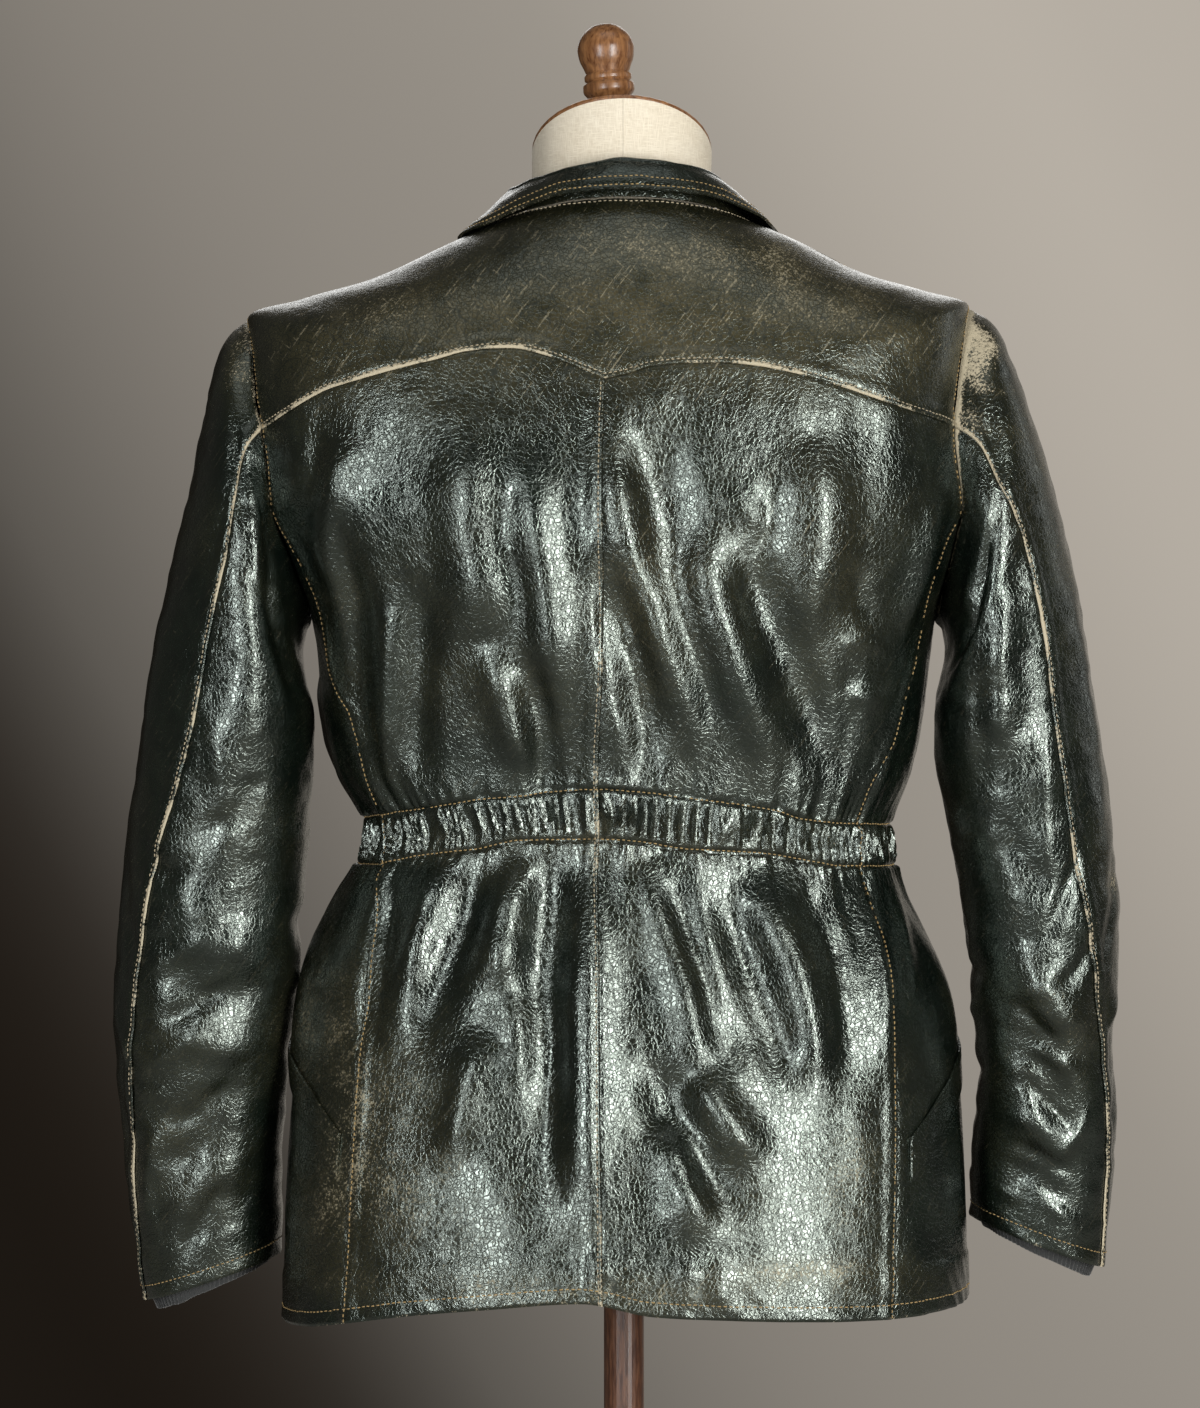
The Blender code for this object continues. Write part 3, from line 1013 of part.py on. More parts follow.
# ---------------------------------------------------------------- buttons on the left front
cloth = []
for low, high in zip(FRONT_FACE[:-1], FRONT_FACE[1:]):
    for i in range(len(low) - 1):
        for a in (0.0, 0.25, 0.5, 0.75):
            for b in (0.0, 0.25, 0.5, 0.75):
                cloth.append((low[i] * (1 - a) + low[i + 1] * a) * (1 - b) + (high[i] * (1 - a) + high[i + 1] * a) * b)
cloth = np.array(cloth)
for number, height in enumerate(BUTTON_HEIGHTS, 1):
    heights = plain_body(np.array([180.0]), np.linspace(0.0, 15.0, 301))[:, 2]
    level = np.interp(-height, -heights, np.linspace(0.0, 15.0, 301))
    out = plain_normal(np.array([180.0]), np.array([level]))[0]
    spot = plain_body(np.array([180.0]), np.array([level]))[0]
    away = cloth - spot
    near = np.linalg.norm(away - np.outer(away @ out, out), axis=-1) < BUTTON_RADIUS + 0.002
    seat = float((away[near] @ out).max()) + REST_GAP
    made = cylinder(f"button_{number}", "button", BUTTON_RADIUS, BUTTON_THICK, 20, 0.0009, 1)
    turn_x = -math.atan2(out[1], out[2])
    place(made, (1, 1, 1), turn_x, 0.0, tuple(spot + out * (seat + BUTTON_THICK / 2)))
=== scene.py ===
# %% [markdown]
# # A worn leather jacket on a dress form
#
# The solids come packed, in one fixed frame: metres, +Z up, the jacket's back faces -Y. This script
# dresses them. Each leather panel is made again as a thin shell on the same curves as its solid,
# about 2 mm from point to point, so that folds, gathers, lapped seams and turned edges have their
# real shapes. A cloth simulation could fold the leather too, but it would put the folds elsewhere
# than in the photograph, so here they are drawn from tables. Grain and cracks are in the materials.

# %% Load the frame
import json
import math

import bpy
import numpy as np
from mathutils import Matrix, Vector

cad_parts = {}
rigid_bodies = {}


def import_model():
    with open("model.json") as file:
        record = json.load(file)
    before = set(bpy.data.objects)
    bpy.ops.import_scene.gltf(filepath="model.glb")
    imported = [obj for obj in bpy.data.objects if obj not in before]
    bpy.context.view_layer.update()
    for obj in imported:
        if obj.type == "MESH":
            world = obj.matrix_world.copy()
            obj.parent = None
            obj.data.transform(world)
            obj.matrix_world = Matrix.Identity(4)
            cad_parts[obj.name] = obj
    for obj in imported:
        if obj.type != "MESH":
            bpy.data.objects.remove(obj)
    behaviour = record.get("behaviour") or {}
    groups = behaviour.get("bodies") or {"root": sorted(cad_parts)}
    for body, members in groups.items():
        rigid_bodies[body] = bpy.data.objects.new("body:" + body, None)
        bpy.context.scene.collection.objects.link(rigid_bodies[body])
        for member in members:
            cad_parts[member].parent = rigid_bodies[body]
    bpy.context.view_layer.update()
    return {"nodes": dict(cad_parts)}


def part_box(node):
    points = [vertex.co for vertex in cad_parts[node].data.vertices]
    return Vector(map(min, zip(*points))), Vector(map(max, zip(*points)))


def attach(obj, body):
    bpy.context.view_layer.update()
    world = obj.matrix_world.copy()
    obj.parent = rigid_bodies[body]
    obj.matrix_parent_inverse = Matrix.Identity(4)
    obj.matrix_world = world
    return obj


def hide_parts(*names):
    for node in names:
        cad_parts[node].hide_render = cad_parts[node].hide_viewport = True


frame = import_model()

print("nodes:", len(frame["nodes"]))

# %% [markdown]
# ## Sizes and tables
#
# A jacket starts as a paper pattern with sizes written along its edges. These tables are that pattern,
# and the solids were built from the same rows. A point of the torso has an angle (0 at the centre of
# the back, + to the right, 180 at the centre front) and a level (0 at the neck seam, 4 at the shoulder
# points, 7 at the armpits, 10 at the waist, 15 below the hem). Sizing a mesh by eye would be quicker,
# but cloth and solids would drift apart. Tables are in millimetres and degrees.

# %% Sizes shared with the solids
WALL = 0.0014
REST_GAP = 0.00035
ARC_RADIUS = 0.215
FRONT_LAP = 0.016
SHOULDER_LEVEL = 4.0
EDGE_LEVEL = 5.25
PRINCESS_LEVEL = 6.15
MIDDLE_LEVEL = 7.0
# angles of the armhole's lower half, from the back princess seam round to the front one
UNDER_ARM = (67.9, 112.1)


def in_metres(rows, *columns):
    """A table whose given columns are written in millimetres, in metres."""
    return tuple(tuple(v / 1000.0 if i in columns else v for i, v in enumerate(row)) for row in rows)


# level, z_back, z_left, z_right, z_front, x_left, x_right, y_side, y_back, y_front, fullness
BODY = in_metres((
    (0, 1177, 1166, 1168, 1128, 83, 81, -6, -72, 62, 0.04),
    (1, 1153, 1150, 1153, 1100, 121, 118, -6, -90, 80, 0.05),
    (2, 1124, 1129, 1133, 1070, 168, 159, -6, -106, 97, 0.08),
    (3, 1092, 1117, 1122, 1042, 211, 199, -6, -118, 111, 0.12),
    (4, 1060, 1104, 1112, 1014, 248, 227, -6, -126.5, 121, 0.16),
    (5, 1025, 1045, 1048, 990, 250, 226, -4, -132.5, 129, 0.2),
    (6, 975, 985, 986, 955, 242, 229, -2, -135.5, 135, 0.2),
    (7, 905, 905, 905, 905, 206, 205, 0, -129, 136, 0.18),
    (8, 845, 845, 845, 845, 199, 198.5, 0, -118, 131, 0.14),
    (9, 805, 805, 805, 805, 190.5, 190, 0, -109, 127, 0.12),
    (10, 765, 765, 765, 765, 169.5, 175.7, 0, -104, 125, 0.12),
    (11, 725, 725, 725, 725, 187.5, 183, 0, -109, 126, 0.12),
    (12, 660, 660, 660, 660, 212, 210, 0, -122, 130, 0.12),
    (13, 595, 595, 595, 595, 219.2, 222.2, 0, -133, 134, 0.12),
    (14, 520, 520, 520, 520, 224, 226, 0, -142, 137, 0.12),
    (15, 440, 440, 440, 440, 225.2, 227, 0, -148, 138, 0.12),
), *range(1, 10))
print("levels of the body:", len(BODY))

# %% Seams that run round the body
# angle, level
YOKE_SEAM = (
    (-64.7, 5.25), (-57.1, 5.1), (-50.2, 4.91), (-43.9, 4.7), (-37.5, 4.51), (-30.6, 4.24), (-25.2, 3.97),
    (-21.3, 3.74), (-17.7, 3.63), (-14.8, 3.6), (-11, 3.69), (-7.3, 3.85), (-2.5, 4.12), (0.5, 4.02),
    (3.9, 3.89), (8.2, 3.86), (14.2, 3.91), (18.9, 4.04), (23.8, 4.24), (28.7, 4.45), (34.5, 4.66),
    (40.9, 4.85), (49.4, 5.03), (64.7, 5.25),
)
YOKE_TIP = 12
WAIST_TOP = (
    (-180, 9.6), (-90, 9.75), (-48.7, 9.6), (-38, 9.51), (-26.3, 9.39), (-17, 9.34), (-4.6, 9.24),
    (3.5, 9.29), (12.2, 9.39), (21.9, 9.49), (30, 9.59), (36.3, 9.72), (52.3, 9.81), (90, 9.85), (180, 9.6),
)
WAIST_BOTTOM = (
    (-180, 10.35), (-90, 10.52), (-61.4, 10.5), (-53.5, 10.39), (-44, 10.3), (-31, 10.2), (-21.1, 10.05),
    (-4.6, 10.03), (3.7, 10.08), (10.5, 10.18), (27.9, 10.27), (36.5, 10.38), (47.3, 10.5), (90, 10.55),
    (180, 10.35),
)
HEM = (
    (-180, 14.92), (-90, 14.94), (-62.5, 14.89), (-49.6, 14.82), (-34.4, 14.72), (-21, 14.65),
    (-6.2, 14.59), (3.8, 14.69), (12.6, 14.72), (44.7, 14.77), (61.7, 14.76), (90, 14.75), (180, 14.92),
)
print("rows of the seams round the body:", len(YOKE_SEAM), len(WAIST_TOP), len(WAIST_BOTTOM), len(HEM))

# %% Seams that run down the body
# level, angle
CENTRE_SEAM = (
    (4, -2.5), (6.2, -2.9), (7.5, -3.5), (8.4, -4.3), (10.4, -5), (11.8, -3.9), (13, -3.6), (14.9, -3.2),
)
ARMHOLE_EDGE = (
    (4, 90), (4.12, 83.5), (4.4, 75), (4.7, 70), (5.03, 66.5), (5.26, 64.9), (5.57, 64.5), (5.92, 66),
    (6.15, 67.9), (6.35, 70), (6.6, 74), (6.85, 81), (7, 90),
)
PRINCESS_LEFT = (
    (6.15, -67.9), (6.5, -67.6), (7, -69), (7.4, -69), (7.75, -65), (8.02, -61), (9, -59.5), (9.93, -63),
    (10.6, -60), (11.3, -53.5), (12.1, -49), (13.4, -48.5), (14.95, -49.8),
)
PRINCESS_RIGHT = (
    (6.15, 67.9), (6.36, 64.5), (6.6, 63.5), (6.95, 66.5), (7.31, 66), (7.86, 62.4), (8.43, 60.3),
    (9.27, 55.6), (10, 57), (10.9, 57.4), (11.36, 55.8), (11.72, 52.6), (12.1, 50.1), (13.2, 47.7),
    (14.95, 45),
)
SIDE_FRONT = (
    (6.15, 112.1), (7, 112.5), (8, 113), (10, 112), (12, 119), (14.95, 124),
)
PRINCESS = {-1: PRINCESS_LEFT, 1: PRINCESS_RIGHT}
SIDES = ((-1, "left"), (1, "right"))
print("rows of the seams down the body:", len(CENTRE_SEAM), len(PRINCESS_LEFT), len(PRINCESS_RIGHT))

# %% [markdown]
# ## Folds
#
# Leather that has been worn keeps its folds. Each is a line through three places on the cloth, with a
# width and a height. They could be sculpted by hand, but a table can be read, moved and mirrored. The
# large folds are in the solids as well, and the small ones are only here.

# %% Large folds of the torso
# angle_1, z_1, angle_2, z_2, angle_3, z_3, width, height (+ ridge, - trough)
FOLD_LENGTHS = (1, 3, 5, 6, 7)
FOLDS = in_metres((
    (-39.6, 1024, -46.8, 967, -61.9, 885, 14, 5), (-39, 999, -50.9, 917, -56.3, 794, 13, -4.5),
    (-31.9, 941, -37, 865, -41.3, 792, 13, -4), (-17.9, 1047, -22.1, 954, -23.8, 884, 22, 7),
    (-21.9, 891, -19.5, 846, -15.4, 798, 11, 5), (-12.7, 1017, -11.7, 928, -11.3, 802, 11, 6),
    (-14.9, 891, -13.8, 827, -15.6, 760, 10, -6), (-1.6, 1042, 1.5, 935, 13, 819, 11, 6),
    (-1.7, 953, 1.1, 878, 5.3, 792, 11, -6), (2, 1045, 5.1, 972, 9.5, 903, 14, -4.5),
    (9.7, 966, 14.9, 897, 28.5, 798, 13, 7), (15.4, 960, 26.2, 884, 42.7, 792, 13, -5.5),
    (26.8, 1023, 29, 954, 31.3, 884, 18, 5), (50.9, 980, 57, 936, 56.4, 885, 14, 3.5),
    (-14.8, 759, -12.4, 669, -10, 513, 11, -8), (-6.9, 747, -7.1, 631, -5.4, 507, 14, 6),
    (-19.4, 755, -21.6, 706, -18.6, 668, 14, 6), (-29, 753, -30.2, 693, -36.1, 617, 14, -5),
    (-39.6, 751, -38.3, 712, -38.8, 661, 13, 4), (-54.5, 744, -47.3, 686, -47.3, 622, 12, -4),
    (-20.9, 643, -24.8, 605, -27, 549, 11, 4), (2.8, 751, 9, 687, 12.3, 609, 11, 4.5),
    (6.8, 749, 12.2, 681, 17, 612, 11, -4.5), (16.3, 745, 22.4, 668, 25.7, 593, 13, -5),
    (24.4, 744, 29.6, 680, 29.6, 593, 16, 7), (54.9, 736, 49.3, 673, 42.5, 591, 12, 4),
    (3.7, 631, 9.4, 575, 16.4, 515, 11, -7), (5.6, 594, 9.3, 553, 11.6, 507, 13, 6),
    (9, 614, 14.3, 590, 21, 552, 11, 5),
    # sides and front, of the same kind as those of the back
    (-96, 880, -100, 840, -98, 790, 14, 4), (-118, 960, -124, 880, -120, 790, 16, 6),
    (-136, 1000, -140, 900, -134, 790, 15, -5), (-150, 1010, -151, 900, -148, 790, 15, 5),
    (100, 880, 103, 840, 99, 790, 14, 4), (120, 970, 127, 880, 123, 790, 16, 6),
    (134, 1000, 142, 900, 137, 790, 15, -5), (149, 1000, 153, 900, 150, 790, 14, 4.5),
    (-92, 745, -84, 670, -80, 590, 26, 3.5), (-108, 745, -104, 660, -102, 570, 26, -3.5),
    (-122, 745, -120, 640, -121, 540, 18, 6), (-140, 745, -141, 660, -144, 570, 15, -5),
    (-156, 745, -158, 650, -160, 560, 15, 4.5), (94, 745, 86, 680, 81, 600, 26, 3.5),
    (110, 745, 105, 660, 102, 560, 26, -3.5), (124, 745, 121, 650, 122, 540, 18, 6),
    (141, 745, 143, 660, 146, 570, 15, -5), (156, 745, 159, 650, 161, 560, 15, 4),
), *FOLD_LENGTHS)
print("large folds:", len(FOLDS))

# %% Small folds of the back and skirt
FINE_FOLDS = in_metres((
    (-47.5, 1038, -49.2, 987, -69, 930, 9, -3), (-39.2, 942, -45.3, 859, -51.3, 788, 10, 3),
    (-24.8, 1030, -26.8, 966, -30.4, 891, 14, -3), (-14.4, 1029, -15.6, 954, -16.4, 878, 10, -4),
    (-8.1, 900, -8.3, 824, -9, 757, 9, -2.2), (-4.5, 998, -5.4, 916, -5.7, 827, 8, 2.5),
    (-2.1, 903, -1.1, 853, 1.2, 802, 10, 4), (7.1, 941, 11.6, 878, 20.3, 808, 8, -3.5),
    (10.2, 970, 14.8, 977, 21.5, 950, 6, 2), (20.8, 998, 20, 966, 20.2, 941, 6, -2.5),
    (36.5, 941, 40.9, 916, 49.2, 891, 7, -2.5), (40.1, 860, 46.5, 854, 58.8, 856, 5, 2),
    (38.1, 881, 42.1, 891, 55.6, 885, 5, 1.8), (38.6, 891, 42.4, 840, 45, 788, 11, -2.5),
    (-9.9, 756, -10, 705, -10.1, 640, 10, -1.8), (-17.9, 668, -15.8, 637, -16.5, 606, 9, 3),
    (-15.1, 625, -14.4, 569, -13.3, 519, 12, -3), (12.6, 731, 14.7, 675, 14.9, 625, 9, 4),
    (42.9, 737, 37.5, 667, 35.8, 592, 10, -3), (8.4, 504, 8.7, 485, 8.7, 466, 6, 2),
    (13.4, 503, 13.7, 485, 13.9, 464, 6, 2), (-3.6, 504, -4.2, 488, -5.1, 474, 6, 2),
    (79.8, 734, 63.4, 684, 54.7, 640, 9, 3),
), *FOLD_LENGTHS)
print("small folds:", len(FINE_FOLDS))

# %% [markdown]
# ## Curves and the torso's surface
#
# `smooth` runs a curve through one column of a table and never swings past its rows. `plain_body`
# turns an angle and a level into a point, and `plain_normal` gives the way out of the cloth there.
# Blender's curve objects could carry the same lines, but a function can be asked for any point.

# %% Curves and surfaces
def bend_between(a, b, slope_a, slope_b, u):
    """Curve from a to b that leaves and arrives at the given slopes, u of the way along."""
    start = (1 + 2 * u) * (1 - u) ** 2 * a + u * (1 - u) ** 2 * slope_a
    return start + u * u * (3 - 2 * u) * b + u * u * (u - 1) * slope_b


def smooth(rows, column, at):
    """Smooth curve through one column of a table, which never swings past its rows."""
    table = np.asarray(rows, float)
    knots = table[:, 0]
    values = table[:, column]
    at = np.clip(np.asarray(at, float), knots[0], knots[-1])
    width = np.diff(knots)
    rise = np.diff(values) / width
    slope = np.zeros(len(knots))
    slope[0] = rise[0]
    slope[-1] = rise[-1]
    for i in range(1, len(knots) - 1):
        if rise[i - 1] * rise[i] > 0:
            before = 2 * width[i] + width[i - 1]
            after = width[i] + 2 * width[i - 1]
            slope[i] = (before + after) / (before / rise[i - 1] + after / rise[i])
    k = np.clip(np.searchsorted(knots, at, side="right") - 1, 0, len(width) - 1)
    u = (at - knots[k]) / width[k]
    return bend_between(values[k], values[k + 1], width[k] * slope[k], width[k] * slope[k + 1], u)


def straight(rows, at):
    """Straight lines through a two-column table."""
    table = np.asarray(rows, float)
    return np.interp(at, table[:, 0], table[:, 1])


def plain_body(angle, level):
    """Point of the torso without folds, angle in degrees."""
    angle, level = np.broadcast_arrays(np.asarray(angle, float), np.asarray(level, float))
    z_back, z_left, z_right, z_front, x_left, x_right, y_side, y_back, y_front, full = (
        smooth(BODY, i, level) for i in range(1, 11)
    )
    sin = np.sin(np.radians(angle))
    cos = np.cos(np.radians(angle))
    half = np.where(sin < 0, x_left, x_right)
    z_side = np.where(sin < 0, z_left, z_right)
    y_end = np.where(cos > 0, y_back, y_front)
    z_end = np.where(cos > 0, z_back, z_front)
    x = half * sin * (1 + full * cos * cos)
    y = y_side + (y_end - y_side) * np.abs(cos) * (1 + full * sin * sin)
    z = z_side + (z_end - z_side) * cos * cos
    return np.stack([x, y, z], -1)


def unit(ways):
    """The same directions, all of length 1."""
    return ways / np.maximum(np.linalg.norm(ways, axis=-1, keepdims=True), 1e-12)


def plain_normal(angle, level):
    """Way out of the torso's cloth, from two small steps along it."""
    level = np.maximum(level, 0.002)
    wide = plain_body(angle + 0.05, level) - plain_body(angle - 0.05, level)
    high = plain_body(angle, level - 0.002) - plain_body(angle, level + 0.002)
    return unit(np.cross(wide, high))


def yoke_line(angle):
    """Level of the yoke seam, which comes to a point at the centre seam."""
    left = smooth(YOKE_SEAM[:YOKE_TIP + 1], 1, angle)
    right = smooth(YOKE_SEAM[YOKE_TIP:], 1, angle)
    return np.where(np.asarray(angle) < YOKE_SEAM[YOKE_TIP][0], left, right)


def line_of(rows):
    """The curve through a two-column table, as a function."""
    return lambda at: smooth(rows, 1, at)


waist_top_of, waist_low_of, hem_of = line_of(WAIST_TOP), line_of(WAIST_BOTTOM), line_of(HEM)
centre_seam, armhole_angle, side_front = line_of(CENTRE_SEAM), line_of(ARMHOLE_EDGE), line_of(SIDE_FRONT)


def armhole_level(angle):
    """Level of the lower half of the armhole's edge at an angle within UNDER_ARM."""
    lower = [row[::-1] for row in ARMHOLE_EDGE if row[0] >= PRINCESS_LEVEL]
    return smooth(lower, 1, 90.0 - np.abs(90.0 - np.abs(angle)))


def lap_raise(angle):
    """How far the left front stands out over the right one near the middle."""
    near = np.clip((-np.asarray(angle, float) - 160.0) / 12.0, 0.0, 1.0)
    return near * near * (3 - 2 * near) * (WALL + REST_GAP + 0.0012)


waist_back = plain_body(0.0, waist_top_of(0.0))
print("top of the waist at the centre back:", np.round(waist_back, 4))

# %% Height of a fold
def step_up(value, low, high):
    """0 below low, 1 above high, and a soft rise between them."""
    t = np.clip((np.asarray(value, float) - low) / (high - low), 0.0, 1.0)
    return t * t * (3 - 2 * t)


def fold_height(folds, along, up):
    """Height of the folds at flat places in metres. Each fold only touches the cloth near it."""
    along, up = np.broadcast_arrays(along, up)
    total = np.zeros(along.shape)
    steps = np.linspace(0.0, 1.0, 9)
    mix = np.stack([(1 - steps) * (1 - 2 * steps), 4 * steps * (1 - steps), steps * (2 * steps - 1)])
    for a1, u1, a2, u2, a3, u3, width, height in folds:
        line_a = np.array([a1, a2, a3]) @ mix
        line_u = np.array([u1, u2, u3]) @ mix
        width = 1.2 * width
        reach = 3.0 * width
        near = (along > line_a.min() - reach) & (along < line_a.max() + reach)
        near &= (up > line_u.min() - reach) & (up < line_u.max() + reach)
        if not near.any():
            continue
        a, u = along[near], up[near]
        best = np.full(a.shape, 1e9)
        place = np.zeros(a.shape)
        for i in range(8):
            da, du = line_a[i + 1] - line_a[i], line_u[i + 1] - line_u[i]
            t = np.clip(((a - line_a[i]) * da + (u - line_u[i]) * du) / (da * da + du * du), 0.0, 1.0)
            gap = (a - line_a[i] - t * da) ** 2 + (u - line_u[i] - t * du) ** 2
            closer = gap < best
            best[closer] = gap[closer]
            place[closer] = (i + t[closer]) / 8
        taper = step_up(np.minimum(place, 1 - place), -0.03, 0.36)
        crest = 0.88 if height > 0 else 1.0
        total[near] += height * taper * np.exp(-((best / (width * width)) ** crest))
    return total


fold_ends = np.array([0.0, 0.05])
fold_try = [(0, 0, 0, 0.05, 0, 0.1, 0.01, 0.005)]
print("end and middle of a 5 mm fold:", np.round(fold_height(fold_try, 0.0, fold_ends), 4))

# %% [markdown]
# ## Repeatable unevenness
#
# Real cloth is never even. `cloud` is a soft three-dimensional noise and `ripple` a soft wave along a
# line. A Displace modifier could do this once the mesh is made, but then stitches and pockets wouldn't
# follow the moved cloth. Both read one seeded table, so every run gives the same.

# %% Seeded unevenness
LATTICE_SIZE = 24
LINE_SIZE = 512
LATTICE = np.random.default_rng(11).random((LATTICE_SIZE,) * 3) * 2 - 1
LINE = np.random.default_rng(12).random(LINE_SIZE) * 2 - 1


def cloud(points, size, shift=0.0):
    """Soft noise from -1 to 1 whose lumps are about size metres across."""
    p = np.asarray(points) / size + shift
    low = np.floor(p).astype(int)
    f = p - low
    f = f * f * (3 - 2 * f)
    total = np.zeros(p.shape[:-1])
    for corner in range(8):
        bits = [(corner >> k) & 1 for k in range(3)]
        weight = np.ones(p.shape[:-1])
        for k in range(3):
            weight = weight * (f[..., k] if bits[k] else 1 - f[..., k])
        i, j, k = (((low[..., n] + bits[n]) % LATTICE_SIZE) for n in range(3))
        total += weight * LATTICE[i, j, k]
    return total


def ripple(place, size, shift=0.0):
    """Soft wave from -1 to 1 along a line."""
    p = np.asarray(place) / size + shift + 200.0
    low = np.floor(p).astype(int)
    f = p - low
    f = f * f * (3 - 2 * f)
    return LINE[low % LINE_SIZE] * (1 - f) + LINE[(low + 1) % LINE_SIZE] * f


print("soft noise at one point:", np.round(cloud(np.array([[0.1, 0.0, 0.9]]), 0.03), 3))

# %% [markdown]
# ## Heights of the torso's cloth
#
# The waist casing is drawn together by a tape inside it, so its leather stands up in narrow gathers,
# and short pleats run out of it above and below. Over that lie the folds and a faint lumpiness. Each
# is a height that is added to the plain torso, which is easier to correct than one sculpted surface.

# %% Gathers of the waist
GATHER_PITCH = 0.0098
GATHER_DEPTH = 0.0046
PLEAT_PITCH = 0.011
PLEAT_DEPTH = 0.0019


def gathers(angle, level, flat):
    """The pulled-in casing at the waist, and the pleats that fade out above and below it."""
    along = np.radians(angle) * ARC_RADIUS
    top, low = waist_top_of(angle), waist_low_of(angle)
    share = (level - top) / (low - top)
    free = np.clip((172.0 - np.abs(angle)) / 4.0, 0.0, 1.0)
    strength = free * (0.75 + 0.35 * ripple(along, 0.045, 3.0))
    wave = along / GATHER_PITCH + 0.9 * ripple(along, 0.021, 5.0)
    wave = wave + 0.16 * ripple(share * 0.02 + along, 0.012, 9.0)
    pleat = np.abs(np.cos(np.pi * wave)) ** 0.8
    inside = np.clip(np.sin(np.pi * np.clip(share, 0.0, 1.0)), 0.0, 1.0) ** 0.55
    total = inside * strength * (0.0004 + GATHER_DEPTH * (1 - pleat))
    height = flat[..., 2]
    z_top = plain_body(angle, top)[..., 2]
    z_low = plain_body(angle, low)[..., 2]
    for away, seed in ((height - z_top, 21.0), (z_low - height, 31.0)):
        out = np.maximum(away, 0.0)
        outside = away > -0.0005
        narrow = np.cos(2 * np.pi * (along / PLEAT_PITCH + 0.8 * ripple(along, 0.023, seed)))
        broad = ripple(along + 0.12 * out * ripple(along, 0.05, seed), 0.0125, seed + 4.0)
        fall = 0.55 * narrow * np.exp(-out / 0.007) + 1.25 * broad * np.exp(-out / 0.024)
        pleats = free * strength * PLEAT_DEPTH * fall * step_up(away, -0.0005, 0.002)
        total = total + np.where(outside, pleats, 0.0)
        # the stitch line pulls the cloth in
        total = total - 0.0010 * np.exp(-((away - 0.0004) / 0.0016) ** 2)
    return total


print("gathers round the back:", round(math.pi * ARC_RADIUS / GATHER_PITCH))

# %% Height of the torso's cloth
HIGHEST_RIDGE = 0.0130
DEEPEST_TROUGH = 0.0095


def as_flat(folds):
    """The folds' places in metres on the cloth laid flat, in place of angles."""
    scales = (math.radians(1.0) * ARC_RADIUS, 1.0) * 3 + (1.0, 1.0)
    return [[v * scale for v, scale in zip(fold, scales)] for fold in folds]


FLAT_FOLDS = as_flat(FOLDS)
FLAT_FINE = as_flat(FINE_FOLDS)


def casing_share(angle, level):
    """1 inside the waist casing, fading to 0 at its two stitch lines."""
    top, low = waist_top_of(angle), waist_low_of(angle)
    return np.clip(np.sin(np.pi * np.clip((level - top) / (low - top), 0.0, 1.0)), 0.0, 1.0)


def torso_height(angle, level, flat):
    """How far the cloth stands out from the plain torso."""
    along = np.radians(angle) * ARC_RADIUS
    height = flat[..., 2]
    large = 1.75 * fold_height(FLAT_FOLDS, along, height)
    # where folds meet, the sum levels off, and none climbs on to the yoke
    most = np.where(large > 0, HIGHEST_RIDGE, DEEPEST_TROUGH)
    large = most * np.tanh(large / most)
    large = large * np.clip((1.075 - height) / 0.04, 0.0, 1.0)
    small = fold_height(FLAT_FINE, along, height)
    below_yoke = step_up(1.06 - height, -0.02, 0.02)
    lumps = 0.00055 * cloud(flat, 0.034) + 0.00022 * cloud(flat, 0.012, 3.0)
    drape = 0.0008 * below_yoke * cloud(flat * [1.0, 1.0, 0.26], 0.019, 7.0)
    # crinkled areas have round crests with sharp valleys between them
    upper_right = (flat[..., 0] > 0) * (flat[..., 2] > 0.8)
    where = np.clip(0.55 + 0.9 * cloud(flat, 0.085, 41.0) + 0.35 * upper_right, 0.15, 1.2)
    bent = flat + 0.010 * np.stack([cloud(flat, 0.03, 51.0), 0 * height, cloud(flat, 0.03, 57.0)], -1)
    crinkle = 0.0010 * (np.abs(cloud(bent * [1.0, 1.0, 0.36], 0.022, 43.0)) ** 0.85 - 0.35)
    crinkle = crinkle + 0.00025 * (np.abs(cloud(bent * [1.0, 1.0, 0.7], 0.0090, 47.0)) ** 0.9 - 0.3)
    crinkle = crinkle * where * (0.25 + 0.75 * below_yoke) * (1 - 0.75 * casing_share(angle, level))
    return large + small + lumps + drape + crinkle + gathers(angle, level, flat)


middle = np.array([0.0]), np.array([8.0])
print("height at one point of the back:", np.round(torso_height(*middle, plain_body(*middle)), 5))

# %% [markdown]
# ## Grids and laps
#
# A cut piece of leather has edges that lie over, under or against the next one. A panel is a grid of
# points from its lower to its upper edge. `spread` packs the points closer near a lapped edge, where
# the leather is folded under and stitched, and `lap` gives the step that the extra layers make. An
# evenly fine grid would need several times the faces.

# %% Grid helpers
EDGE_STEPS = (0.0, 0.0004, 0.0009, 0.0015, 0.0023, 0.0033, 0.0046, 0.0063, 0.0082)


def spread(length, step, fine_start=False, fine_end=False):
    """Shares from 0 to 1 along a line, close together at a fine end. Their gaps number a multiple of 3."""
    start = list(EDGE_STEPS) if fine_start else [0.0]
    end = list(EDGE_STEPS) if fine_end else [0.0]
    middle = length - start[-1] - end[-1]
    count = max(1, round(middle / step))
    count += -(len(start) + len(end) - 2 + count) % 3
    places = start + [start[-1] + middle * k / count for k in range(1, count + 1)]
    places += [length - e for e in end[-2::-1]]
    return np.array(places) / length


def part_rows(level_of, rows, left_of, right_of, columns, start):
    """Angles and levels of rows whose ends lie on two seams."""
    ends = []
    for seam in (left_of, right_of):
        angle = seam(np.full(len(rows), float(start)))
        for _ in range(16):
            angle = seam(level_of(angle, rows))
        ends.append(angle[:, None])
    angle = ends[0] * (1 - columns) + ends[1] * columns
    return angle, level_of(angle, rows[:, None])


